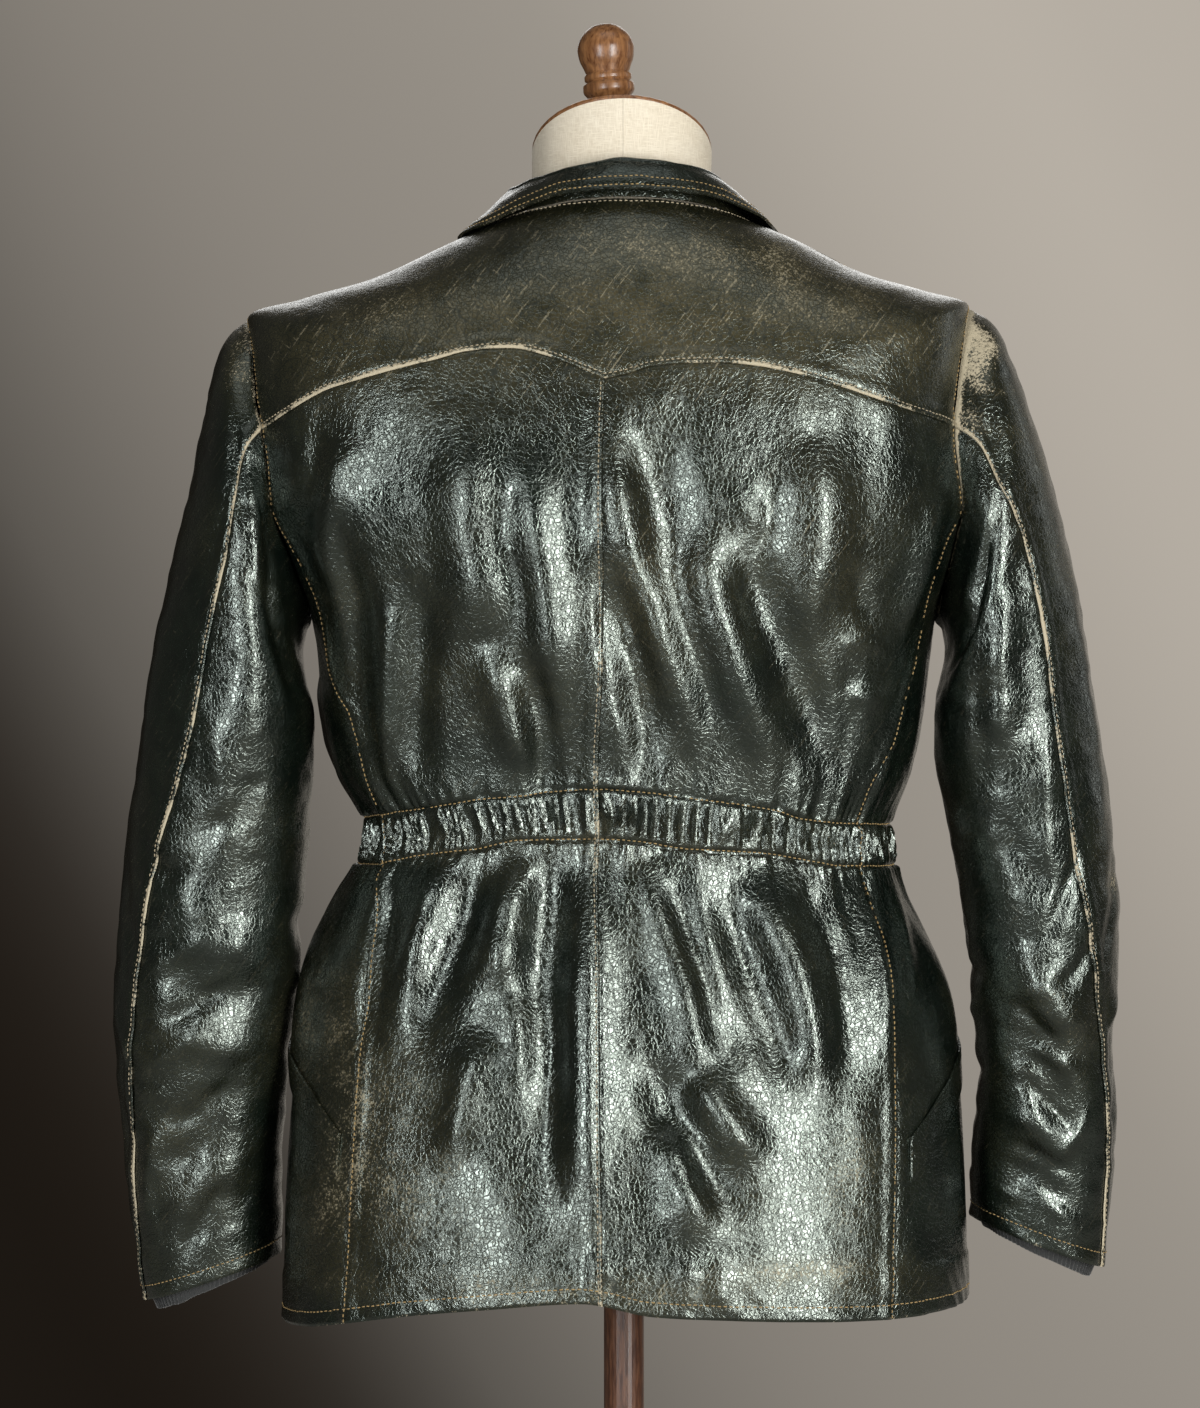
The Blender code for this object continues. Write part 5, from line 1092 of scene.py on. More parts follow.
# %% Back panels
def back_panel(side, word):
    princess = line_of(PRINCESS[side])

    def back_edge(level):
        return np.where(level < PRINCESS_LEVEL, side * armhole_angle(level), princess(level))

    top = levels_between(constant(PRINCESS_LEVEL), yoke_line), spread(0.075, ROW_STEP, fine_end=True), 5.7
    parts = LOW_PARTS + [plain_part(MIDDLE_LEVEL, PRINCESS_LEVEL, 0.058, 6.5), top]
    columns = spread(0.200, COLUMN_STEP, fine_start=True, fine_end=True)
    angle, level, ends = stack_parts(parts, *ordered(side, back_edge, centre_seam), columns)
    outside, centre = ordered(side, "left", "right")
    edges = {outside: "over", centre: "over" if side < 0 else "under", "low": "hem", "high": "under"}
    rubs = {outside: "princess", centre: "centre" if side < 0 else "plain", "low": "hem"}
    torso_panel(f"back_{word}", angle, level, edges, rubs, stitched=ends[:2])

# %% Side panels
SINK_DEPTH = 0.32


def side_panel(side, word):
    left_of, right_of = ordered(side, lambda level: side * side_front(level), line_of(PRINCESS[side]))
    columns = spread(0.160, COLUMN_STEP, fine_start=True, fine_end=True)
    angle, level, ends = stack_parts(LOW_PARTS, left_of, right_of, columns)
    # the upper rows sink towards the armpit
    window = step_up(columns, 0.0, 0.16) * step_up(1 - columns, 0.0, 0.16)
    low_edge = armhole_level(np.clip(np.abs(angle), *UNDER_ARM)) - PRINCESS_LEVEL
    sink = np.clip((8.6 - level) / 1.6, 0.0, 1.0) * SINK_DEPTH * low_edge / (MIDDLE_LEVEL - PRINCESS_LEVEL)
    level = level + sink * window
    # the last rows lead on to the armhole's edge, and their ends stay on the two seams
    share = spread(0.045, ROW_STEP, fine_end=True)[1:, None]
    edge = MIDDLE_LEVEL - share * (MIDDLE_LEVEL - PRINCESS_LEVEL)
    upper_angle = left_of(edge) * (1 - columns) + right_of(edge) * columns
    top_level = armhole_level(np.clip(np.abs(upper_angle), *UNDER_ARM))
    upper_level = level[-1] * (1 - share) + top_level * share
    from_left = (edge - upper_level[:, :1]) * (1 - step_up(columns, 0.0, 0.12))
    from_right = (edge - upper_level[:, -1:]) * (1 - step_up(1 - columns, 0.0, 0.12))
    angle = np.concatenate([angle, upper_angle])
    level = np.concatenate([level, upper_level + from_left + from_right])
    edges = {"left": "under", "right": "under", "low": "hem", "high": "seam"}
    torso_panel(f"side_{word}", angle, level, edges, {"low": "hem", "high": "armhole"}, stitched=ends[:2])

# %% Front panels
def front_panel(side, word):
    def front_edge(level):
        shoulder = np.where(level <= SHOULDER_LEVEL, 90.0, 180.0 - armhole_angle(level))
        return side * np.where(level > PRINCESS_LEVEL, side_front(level), shoulder)

    def middle_edge(level):
        reach = plain_body(90.0, level)[..., 0]
        return side * (180.0 + np.degrees(FRONT_LAP / (1.1 * reach)))

    parts = LOW_PARTS + [
        plain_part(MIDDLE_LEVEL, PRINCESS_LEVEL, 0.050, 6.5),
        plain_part(PRINCESS_LEVEL, EDGE_LEVEL, 0.048, 5.7),
        plain_part(EDGE_LEVEL, SHOULDER_LEVEL, 0.050, 4.6),
        plain_part(SHOULDER_LEVEL, 0.0, 0.118, 2.0, fine_end=True),
    ]
    columns = spread(0.165, COLUMN_STEP, fine_start=True, fine_end=True)
    angle, level, ends = stack_parts(parts, *ordered(side, middle_edge, front_edge), columns)
    middle, outside = ordered(side, "left", "right")
    edges = {outside: "over", middle: "over", "low": "hem", "high": "seam"}
    rubs = {outside: "princess", middle: "plain", "low": "hem"}
    torso_panel(f"front_{word}", angle, level, edges, rubs, lap_raise if side < 0 else None, ends[:2])


for side, word in SIDES:
    back_panel(side, word)
    side_panel(side, word)
    front_panel(side, word)
print("torso panels:", {name: len(made.data.polygons) for name, made in MADE.items()})

# %% [markdown]
# ## Back yoke
#
# The yoke is one piece over both shoulders, and its lower edge comes to two points beside the centre.
# Its rows follow that edge and flatten towards the neck, where a plain grid would leave a corner of the
# lower edge stepped. It laps over the backs, and its edge is the most worn seam of all.

# %% Back yoke
share = 1.0 - spread(0.150, ROW_STEP, fine_start=True, fine_end=True)
edge_level = share * EDGE_LEVEL
edge = np.where(edge_level <= SHOULDER_LEVEL, 90.0, armhole_angle(edge_level))
middle = np.full(len(share), -3.0)
for _ in range(16):
    middle = centre_seam(yoke_line(middle) * share)
columns = spread(0.235, COLUMN_STEP, fine_start=True)
mirrored = 1.0 - columns[::-1]
left_half = -edge[:, None] * (1 - columns) + middle[:, None] * columns
right_half = middle[:, None] * (1 - mirrored) + edge[:, None] * mirrored
angle = np.concatenate([left_half, right_half[:, 1:]], axis=1)
torso_panel(
    "back_yoke", angle, yoke_line(angle) * share[:, None],
    {"low": "over", "left": "seam", "right": "seam", "high": "seam"},
    {"low": "yoke", "left": "armhole", "right": "armhole", "high": "princess"},
)
print("yoke:", len(MADE["back_yoke_leather"].data.polygons), "faces")

# %% [markdown]
# ## Sizes of the sleeves
#
# A sleeve is cut in two pieces, an upper and an under one. Together they are a tube of rings that
# leans forward at the elbow, so each row of the table is one ring. A bent cylinder with an armature
# would need weights, and its elbow would pinch where leather folds.

# %% Rings of the sleeves
# row, x_out, z_out, x_in, z_in, y_mid, half_depth, back_seam_angle, front_seam_angle
SLEEVE_LEFT = in_metres((
    (0, -248, 1104, -205, 905, -4, 72, 77, -80),
    (1, -264, 1088, -210, 896, -5, 77, 79, -80),
    (2, -274.5, 1050, -212.5, 883, -8, 78, 79, -79),
    (3, -285.5, 995, -209.5, 864, -10, 76, 78, -77),
    (4, -298.7, 940, -205, 844, -10, 73, 75, -75),
    (5, -312, 875, -205.5, 815, -8, 69, 74, -73),
    (6, -320.5, 817.5, -208, 775, -4, 66, 68, -72),
    (7, -329, 760, -211, 735, 0, 64, 58, -72),
    (8, -335.8, 694, -214.5, 685, 4, 61, 51, -74),
    (9, -338.4, 640, -219.5, 640, 10, 58, 47, -77),
    (10, -335.5, 585, -224.5, 590, 16, 54, 41, -80),
    (11, -330, 520, -228.5, 540, 24, 50, 34, -84),
    (12, -320.5, 453, -230, 484, 30, 46, 25, -88),
), *range(1, 7))
SLEEVE_RIGHT = in_metres((
    (0, 227, 1112, 205, 905, -4, 72, 80, -80),
    (1, 244, 1100, 211, 896, -5, 77, 81, -80),
    (2, 259, 1066, 212.5, 882, -8, 78, 79, -79),
    (3, 272.5, 1027, 209.5, 865, -10, 76, 73, -77),
    (4, 286, 980, 204.5, 842, -10, 73, 68, -75),
    (5, 299, 923, 206, 815, -8, 69, 68, -73),
    (6, 307.5, 870, 212.5, 780, -4, 66, 70, -72),
    (7, 317, 815, 219.5, 742, 0, 64, 71, -72),
    (8, 323.8, 762, 226, 703, 2, 62, 69, -73),
    (9, 328.2, 705, 230, 667, 6, 60, 62, -75),
    (10, 327.5, 656, 233.5, 634, 10, 58, 52, -77),
    (11, 324.5, 625, 235, 600, 14, 56, 44, -79),
    (12, 328.5, 576.5, 233.5, 565, 20, 53, 41, -82),
    (13, 326.2, 530, 231.5, 536, 26, 50, 36, -85),
    (14, 319.9, 475, 232.5, 508, 30, 47, 28, -88),
), *range(1, 7))
# a row's usual length and the tube's usual radius, for places on the sleeve laid flat
SLEEVE_ROW = 0.055
SLEEVE_RADIUS = 0.06
print("rings:", len(SLEEVE_LEFT), len(SLEEVE_RIGHT))

# %% Large folds of the sleeves
# row_1, angle_1, row_2, angle_2, row_3, angle_3, width, height
SLEEVE_FOLDS_LEFT = in_metres((
    (2.6, 95, 4.5, 105, 6.5, 100, 20, 5), (1.6, 118, 3, 135, 4.5, 140, 14, -5),
    (6.8, 62, 7.9, 100, 7.4, 140, 12, 3.5), (7.6, 60, 8.6, 100, 8, 140, 11, -3.5),
    (8.7, 60, 9.3, 100, 8.9, 135, 12, 3.5), (9.2, 130, 10.4, 90, 10.8, 60, 11, -3),
    (10.5, 130, 11, 95, 11.2, 60, 12, 2.5),
), 6, 7)
SLEEVE_FOLDS_RIGHT = in_metres((
    (1.8, 100, 2.6, 118, 3.4, 135, 16, -6), (3.6, 88, 4.8, 100, 6, 110, 20, 5),
    (3.2, 70, 4.6, 82, 6.2, 86, 12, -3.5), (8.6, 115, 9.7, 92, 10.5, 66, 13, 5),
    (9.6, 120, 10.9, 98, 12.2, 74, 12, -5), (9.4, 60, 10.2, 44, 11, 30, 12, -3.5),
    (11.4, 125, 12, 100, 12.6, 72, 12, 3.5), (12.4, 130, 12.9, 100, 13.2, 66, 12, -2.5),
), 6, 7)
print("large folds:", len(SLEEVE_FOLDS_LEFT), len(SLEEVE_FOLDS_RIGHT))

# %% Small folds of the sleeves
SLEEVE_FINE_LEFT = in_metres((
    (0.9, 60, 1.6, 78, 2.4, 84, 7, -2.2), (0.8, 92, 1.7, 101, 2.6, 104, 7, 2),
    (1, 112, 1.9, 121, 2.9, 122, 6, -2), (4.9, 80, 6.1, 96, 7.2, 98, 8, 2.4),
    (5.3, 118, 6.2, 104, 6.8, 78, 7, -2.2), (6.9, 44, 7.2, 62, 7.1, 84, 6, -2.4),
    (7.7, 96, 8.1, 74, 8.3, 52, 6, 2.2), (8.2, 116, 8.7, 92, 9, 66, 5, -2.2),
    (8.8, 104, 9.3, 78, 9.5, 50, 6, 2.2), (9.6, 120, 10, 96, 10.3, 62, 6, -2.4),
    (10.2, 66, 10.7, 52, 11.4, 44, 6, 2), (10.8, 112, 11.3, 92, 11.7, 70, 6, -2),
    (4.2, 40, 5.4, 30, 6.6, 34, 10, 2.2), (7.2, 20, 7.8, 34, 8.2, 52, 7, -2.2),
    (8.6, 16, 9.1, 32, 9.4, 48, 7, 2), (9.8, 10, 10.2, 26, 10.4, 42, 7, -2),
    (7, 220, 7.6, 180, 7.3, 150, 9, -2.8), (8.2, 214, 8.4, 180, 8.1, 152, 9, 2.4),
    (9, 230, 9.4, 190, 9.2, 150, 9, -2.6), (6.4, 300, 7.4, 280, 8.2, 250, 10, -2.8),
    (8, 320, 8.8, 290, 9.2, 260, 10, 2.6), (2, 250, 3.4, 262, 5, 268, 12, 3.4),
    (1.6, 226, 3, 214, 4.4, 210, 12, -3.2),
), 6, 7)
SLEEVE_FINE_RIGHT = in_metres((
    (0.9, 62, 1.7, 74, 2.6, 76, 7, -2), (0.8, 90, 1.6, 94, 2.6, 92, 8, 2.2),
    (1.2, 122, 2, 128, 3, 124, 6, 2), (3.8, 120, 5, 118, 6.2, 124, 8, -2.6),
    (5.8, 70, 7, 84, 8, 84, 8, 2.4), (6.4, 118, 7.4, 106, 8.4, 84, 7, -2.4),
    (7.6, 60, 8.2, 78, 8.8, 100, 6, -2.2), (8.8, 52, 9.3, 72, 9.5, 96, 6, -2.4),
    (9.4, 122, 10, 104, 10.6, 84, 5, -2.2), (10.2, 118, 10.8, 92, 11.3, 66, 6, 2.8),
    (10.9, 122, 11.5, 98, 12.1, 74, 5, -2.4), (11.6, 60, 12.2, 74, 12.7, 98, 6, 2.2),
    (12.1, 120, 12.5, 94, 12.9, 62, 6, -2.2), (12.8, 118, 13.3, 88, 13.6, 62, 6, 1.8),
    (4.6, 42, 6, 30, 7.6, 34, 10, 2.2), (8, 20, 8.8, 34, 9.4, 50, 7, -2.2),
    (9.8, 16, 10.4, 30, 10.9, 46, 7, 2.2), (11.2, 10, 11.8, 24, 12.1, 42, 7, -2),
    (8.2, 220, 8.8, 180, 8.5, 150, 9, -2.8), (9.4, 214, 9.6, 180, 9.3, 152, 9, 2.4),
    (10.4, 230, 10.8, 190, 10.6, 150, 9, -2.6), (7.4, 300, 8.4, 280, 9.4, 250, 10, -2.8),
    (9.2, 320, 10, 290, 10.6, 260, 10, 2.6), (2.2, 250, 3.8, 262, 5.6, 268, 12, 3.4),
    (1.8, 226, 3.2, 214, 4.8, 210, 12, -3.2),
), 6, 7)
print("small folds:", len(SLEEVE_FINE_LEFT), len(SLEEVE_FINE_RIGHT))

# %% [markdown]
# ## Sleeve tubes
#
# The first ring of a sleeve has to lie on the armhole's edge, or a slit shows there. So the tube starts
# as the armhole's own loop of points and turns into the rings of the table within three rows. Its
# columns follow the two seams. A plain tube pushed into the torso would cross the panels.

# %% Lines and rings
LOOP_DOWN = 40
LOOP_STEP = 0.0023


def run_along(points):
    """Distance of each point from the first one, along their line."""
    return np.concatenate([[0.0], np.cumsum(np.linalg.norm(np.diff(points, axis=0), axis=1))])


def at_places(places, run, rows):
    """Rows of numbers read off at places along a run."""
    return np.stack([np.interp(places, run, rows[:, i]) for i in range(rows.shape[1])], -1)


def sleeve_ring(table, row, angle):
    """Point of a sleeve's plain tube. Its angle in degrees is 0 on the outer side and 90 behind."""
    row, angle = np.broadcast_arrays(np.asarray(row, float), np.asarray(angle, float))
    x_out, z_out, x_in, z_in, y_mid, depth = (smooth(table, i, row) for i in range(1, 7))
    cos = np.cos(np.radians(angle))
    sin = np.sin(np.radians(angle))
    across = cos * (1 + 0.06 * sin * sin)
    deep = sin * (1 + 0.06 * cos * cos)
    x = (x_out + x_in) / 2 + (x_out - x_in) / 2 * across
    z = (z_out + z_in) / 2 + (z_out - z_in) / 2 * across
    return np.stack([x, y_mid - depth * deep, z], -1)


def fine_loop(side):
    """Fine angles and levels round the armhole, and the places of the two sleeve seams among them."""
    down = np.linspace(SHOULDER_LEVEL, EDGE_LEVEL, LOOP_DOWN)
    lower = np.linspace(EDGE_LEVEL, PRINCESS_LEVEL, 30)[1:]
    under = np.linspace(*UNDER_ARM, 60)[1:-1]
    angle = np.concatenate([armhole_angle(down), armhole_angle(lower), under])
    level = np.concatenate([down, lower, armhole_level(under)])
    angle = np.concatenate([angle, 180 - armhole_angle(lower)[::-1], 180 - armhole_angle(down)[::-1]])
    level = np.concatenate([level, lower[::-1], down[::-1]])
    run = run_along(plain_body(side * angle, level))
    first, last = run[LOOP_DOWN - 1], run[-LOOP_DOWN]
    ends = [0.0, first, last, run[-1]]
    places = [0.0]
    for a, b in zip(ends[:-1], ends[1:]):
        fine_a, fine_b = a > 0.0, b < run[-1]
        places.extend(a + (b - a) * spread(b - a, LOOP_STEP, fine_a, fine_b)[1:])
    places = np.array(places[:-1])
    marks = [int(np.argmin(np.abs(places - first))), int(np.argmin(np.abs(places - last)))]
    return side * np.interp(places, run, angle), np.interp(places, run, level), marks


print("points round an armhole:", len(fine_loop(-1)[0]))

# %% Grid of a sleeve
def sleeve_grid(side, table, folds, rows):
    """Points of a whole sleeve, cuff to armhole, columns to the right seen from outside."""
    angle, level, (b, f) = fine_loop(side)
    flat = plain_body(angle, level)
    loop = flat + plain_normal(angle, level) * torso_height(angle, level, flat)[..., None]
    first = table[0]
    centre = np.array([(first[1] + first[3]) / 2, first[5], (first[2] + first[4]) / 2])
    reach = np.array([(first[1] - first[3]) / 2, 0.0, (first[2] - first[4]) / 2])
    away = loop - centre
    start = np.degrees(np.arctan2(-away[:, 1] / first[6], away @ reach / (reach @ reach)))
    start = np.degrees(np.unwrap(np.radians(start)))
    # the two seams turn round the tube on their way down, and the columns between them follow
    knots = [start[0], start[b], start[f], start[0] + 360.0]
    shares = [np.interp(start, knots, k) for k in np.eye(4)[1:]]
    row = rows[:, None]
    back_seam, front_seam = smooth(table, 7, row), 360.0 + smooth(table, 8, row)
    moved = back_seam * shares[0] + front_seam * shares[1] + 360.0 * shares[2]
    fade = np.minimum(1.0, row / 2.0)
    turn = start * (1 - fade) + moved * fade
    plain = sleeve_ring(table, row + 0 * turn, turn)
    off = loop - sleeve_ring(table, 0.0, start)
    plain = plain + off * (np.maximum(0.0, 1 - row / 3.0) ** 2)[..., None]
    scales = (SLEEVE_ROW, math.radians(1.0) * SLEEVE_RADIUS) * 3 + (1.0, 1.0)
    flat_folds = [[v * scale for v, scale in zip(fold, scales)] for fold in folds]
    height = fold_height(flat_folds, row * SLEEVE_ROW, np.radians(turn) * SLEEVE_RADIUS)
    height = height * np.minimum(1.0, row / 1.2)
    soft = np.minimum(1.0, row / 0.6)
    lumps = 0.0009 * cloud(plain * [1.0, 1.0, 1.5], 0.030, 17.0) + 0.00035 * cloud(plain, 0.011, 23.0)
    height = height + soft * lumps
    height = height + soft * 0.0005 * cloud(plain * [0.5, 0.5, 1.0], 0.0085, 27.0)
    order = slice(None, None, 1 if side < 0 else -1)
    return plain[::-1, order], height[::-1, order], (b, f)

# %% Upper and under sleeves
SLEEVE_INSIDES = {}


def sleeve_piece(side, name, upper, base, out, lift):
    """One cut piece of a sleeve. The upper one laps over the under one at the back seam."""
    away = edge_distances(base)
    back, front = ordered(side, "right", "left") if upper else ordered(side, "left", "right")
    kinds = {"low": "hem", "high": "seam", back: "over" if upper else "under", front: "seam"}
    for edge, kind in kinds.items():
        lift = lift + lap(kind, away[edge], base[..., 2] + base[..., 0]) * (0.6 if kind == "hem" else 1.0)
    outer = base + out * lift[..., None]
    marks = wear_marks(outer)
    # more speckles on the raised folds and fewer in the hollows: partly wear, partly a painted highlight on
    # the folds and painted shade in the hollows
    marks["wear"] = np.clip(marks["wear"] + 0.12 * np.clip(lift / 0.003, -1, 1), 0.0, 1.2)
    if upper:
        rub_edge(marks, base, away[back], 1.0, 0.0030, 11.0)
    # the right sleeve's head is worn more than the left one's
    rub_edge(marks, base, away["high"], 1.10 if side > 0 else 0.55, 0.0045, 13.0)
    head = np.exp(-((base[..., 2] - 1.06) / 0.07) ** 2)
    marks["rub"] += 0.20 * head * np.exp(-(away["high"] / 0.016) ** 2) * (1.0 if side > 0 else 0.55)
    rub_edge(marks, base, away["low"], 0.42, 0.0030, 15.0)
    shell(f"{name}_leather", name, outer, marks, SUEDE)


for side, word, table, folds in (
    (-1, "left", SLEEVE_LEFT, SLEEVE_FOLDS_LEFT + SLEEVE_FINE_LEFT),
    (1, "right", SLEEVE_RIGHT, SLEEVE_FOLDS_RIGHT + SLEEVE_FINE_RIGHT),
):
    length = float(run_along(sleeve_ring(table, np.linspace(0, table[-1][0], 60), 0.0))[-1])
    rows = spread(length, 0.0024, fine_start=True, fine_end=True) * table[-1][0]
    plain, height, (b, f) = sleeve_grid(side, table, folds, rows)
    out = grid_normals(plain, closed=True)
    count = plain.shape[1]
    if side > 0:
        b, f = count - 1 - f, count - 1 - b
    # b and f are now the left-hand and right-hand ends of the under piece's columns
    for piece, picked in (("upper", np.arange(f, count + b + 1) % count), ("under", np.arange(b, f + 1))):
        name = f"sleeve_{piece}_{word}"
        sleeve_piece(side, name, piece == "upper", plain[:, picked], out[:, picked], height[:, picked])
    SLEEVE_INSIDES[word] = (plain + out * (height - WALL)[..., None], rows[::-1])
print("sleeves:", {name: len(made.data.polygons) for name, made in MADE.items() if "sleeve" in name})

# %% [markdown]
# ## Collar
#
# The collar is one piece folded over: a leaf outside, a round fold, and a stand inside that is sewn to
# the neck seam. One strip of points runs along all three, so the fold is round and has no joint. Two
# separate bands would be simpler to place, but the fold would need a third to hide their edges.

# %% Path of the collar
COLLAR_WALL = 0.0016
COLLAR_RADIUS = 0.0021
# angle, fold_x, fold_y, fold_z, edge_level, edge_lift
COLLAR = in_metres((
    (-166, -18, 65, 1145, 1.75, 2.6),
    (-150, -39, 53, 1159, 1.55, 2.4),
    (-120, -69, 27, 1180, 1.05, 2.2),
    (-90, -75.5, -4, 1187.5, 0.68, 2),
    (-63, -69, -33, 1190, 0.62, 2.6),
    (-42, -53, -53, 1193.5, 0.34, 5.5),
    (-25, -34, -65, 1198.5, 0.2, 10),
    (0, -1, -70.5, 1202.5, 0.14, 11.5),
    (22, 26.5, -67.5, 1201, 0.16, 11),
    (42, 48, -55.5, 1198, 0.2, 8.5),
    (62, 61.5, -35, 1194, 0.34, 5.5),
    (90, 67, -4, 1188, 0.47, 2.8),
    (120, 64, 27, 1180, 1.1, 2.4),
    (150, 38, 53, 1159, 1.55, 2.4),
    (166, 18, 65, 1145, 1.75, 2.6),
), 1, 2, 3, 5)
# degrees round the neck, from one front end to the other
stations = COLLAR[0][0] + (COLLAR[-1][0] - COLLAR[0][0]) * spread(0.450, 0.0019)
fold_top = np.stack([smooth(COLLAR, i, stations) for i in (1, 2, 3)], -1)
fold_top[:, 2] += 0.0008 * ripple(stations / 57.0, 0.22, 3.0)
leaf_level = smooth(COLLAR, 4, stations) + 0.012 * ripple(stations / 57.0, 0.12, 8.0)
neck_level = 0.0 * stations
lift = smooth(COLLAR, 5, stations) + lap_raise(stations)


def torso_face(angle, level):
    """Point of the torso's outer face, with its folds."""
    flat = plain_body(angle, level)
    return flat + plain_normal(angle, level) * torso_height(angle, level, flat)[..., None]


leaf_edge = torso_face(stations, leaf_level) + plain_normal(stations, leaf_level) * lift[:, None]
neck = torso_face(stations, neck_level)
neck = neck + plain_normal(stations, neck_level) * (lap_raise(stations) - WALL / 2)[:, None]
neck[:, 2] += 0.0012
leaf_rise = 0.0012 - 0.0042 * np.exp(-((np.abs(stations + 5.0) - 90.0) / 28.0) ** 2) * (stations < 0)
along = np.gradient(fold_top, axis=0)
outward = unit(np.stack([along[:, 1], -along[:, 0], 0 * stations], -1))
up = np.array([0.0, 0.0, 1.0])
bend = fold_top - up * (COLLAR_RADIUS + COLLAR_WALL / 2)
leaf_top = bend + outward * COLLAR_RADIUS
stand_top = bend - outward * COLLAR_RADIUS
middle = leaf_edge * 0.5 + leaf_top * 0.5 + outward * 0.0012 + up * leaf_rise[:, None]
leaf_length = float(np.linalg.norm(leaf_edge - leaf_top, axis=1).mean())
# the leaf is a curve through its edge, middle and top, then comes the round fold, then the stand
path = []
for t in spread(leaf_length, 0.0016, fine_start=True):
    path.append((1 - t) * (1 - 2 * t) * leaf_edge + 4 * t * (1 - t) * middle + t * (2 * t - 1) * leaf_top)
for turn in np.radians(np.linspace(0.0, 180.0, 10))[1:]:
    path.append(bend + COLLAR_RADIUS * (math.cos(turn) * outward + math.sin(turn) * up))
for t in spread(0.03, 0.0024)[1:]:
    path.append(stand_top * (1 - t) + neck * t)
path = np.array(path[: 1 + 3 * ((len(path) - 1) // 3)])
print("collar rows:", len(path), "columns:", len(stations))

# %% Collar
# distances of the two stitch grooves from the leaf's edge
COLLAR_STITCHES = (0.0032, 0.0095)
out = grid_normals(path)
away = edge_distances(path)
leaf = 1 - step_up(away["low"], leaf_length - 0.004, leaf_length + 0.002)
rise = COLLAR_WALL / 2 + leaf * (0.0005 * cloud(path, 0.020, 33.0) + 0.0003 * cloud(path, 0.008, 35.0))
rise = rise + leaf * 0.0007 * (1 - step_up(away["low"], 0.0075, 0.0125))
for place in COLLAR_STITCHES:
    rise = rise - 0.00035 * np.exp(-((away["low"] - place) / 0.0008) ** 2)
outer = path + out * rise[..., None]
marks = wear_marks(outer)
marks["wear"] = np.clip(marks["wear"] + 0.10 * leaf, 0.0, 1.2)
rub_edge(marks, path, away["low"], 0.42, 0.0024, 17.0)
rub_edge(marks, path, np.abs(away["low"] - leaf_length - 0.002), 0.38, 0.0050, 19.0)
shell("collar_leather", "collar", outer, marks, LEATHER, COLLAR_WALL)
print("collar leaf:", round(leaf_length, 4), "m deep")

# %% [markdown]
# ## Pocket welts
#
# A welt is a doubled strip over the slanted pocket mouth. It lies on the side panel, so its points are
# those of the panel, a small gap and its own wall further out. Two strips of a cube bent on to the
# panel with Shrinkwrap would do as well, but they would lose the folds underneath.

# %% Pocket welts
WELT_WIDTH = 0.36
WELT_THICK = 0.0012
WELT_GAP = 0.0010
# angle from the centre back, level of the pocket line's upper edge
POCKET_LINE = (
    (45, 13.48), (48.4, 13.39), (54.8, 13.2), (64.2, 12.93), (80, 12.62), (100, 12.25), (124, 11.9),
)
for side, word in SIDES:
    lifts = (WELT_WIDTH * (1 - spread(0.0205, 0.0018, fine_start=True, fine_end=True)))[:, None]
    columns = spread(0.150, 0.0022, fine_start=True, fine_end=True)
    # the line's ends on the princess seam and the front seam, found in steps from first guesses
    back_level = np.full((len(lifts), 1), 13.2)
    front_level = np.full((len(lifts), 1), 12.0)
    for _ in range(12):
        back_angle = smooth(PRINCESS[side], 1, back_level)
        front_angle = side * side_front(front_level)
        back_level = straight(POCKET_LINE, np.abs(back_angle)) + lifts
        front_level = straight(POCKET_LINE, np.abs(front_angle)) + lifts
    ends = ordered(side, front_angle, back_angle)
    share = 0.05 + 0.90 * columns
    angle = ends[0] * (1 - share) + ends[1] * share
    level = straight(POCKET_LINE, np.abs(angle)) + lifts
    flat = plain_body(angle, level)
    away = edge_distances(flat)
    height = torso_height(angle, level, flat) + WELT_GAP + WELT_THICK
    border = np.minimum(np.minimum(away["left"], away["right"]), np.minimum(away["low"], away["high"]))
    height = height - 0.0006 * np.exp(-(border / 0.0012) ** 2)
    height = height - 0.0003 * np.exp(-((border - 0.003) / 0.0008) ** 2)
    outer = flat + plain_normal(angle, level) * height[..., None]
    marks = wear_marks(outer)
    rub_edge(marks, flat, border, 0.30, 0.0016, 21.0)
    shell(f"pocket_{word}_leather", f"pocket_{word}", outer, marks, LEATHER, WELT_THICK)
print("welts:", [round(AREAS[f"pocket_{word}_leather"], 4) for side, word in SIDES], "m2")

# %% [markdown]
# ## Knitted wind cuffs
#
# Inside each sleeve end a ribbed tube of knit keeps the wind out and hangs a little below the leather.
# Each rib is a wave of six points round the tube. A bump texture would be lighter, but the ribs show
# at the tube's lower edge, where only real shape counts. The inside needs a third of the points.

# %% Wind cuffs
KNIT_WALL = 0.0016
KNIT_OVERHANG = 0.007
RIBS = 78
RIB_POINTS = 6
RIB_DEPTH = 0.00055


def toward_middle(points, middle):
    """Level directions from points towards the middle of their ring."""
    ways = middle - points
    ways[..., 2] = 0.0
    return unit(ways)


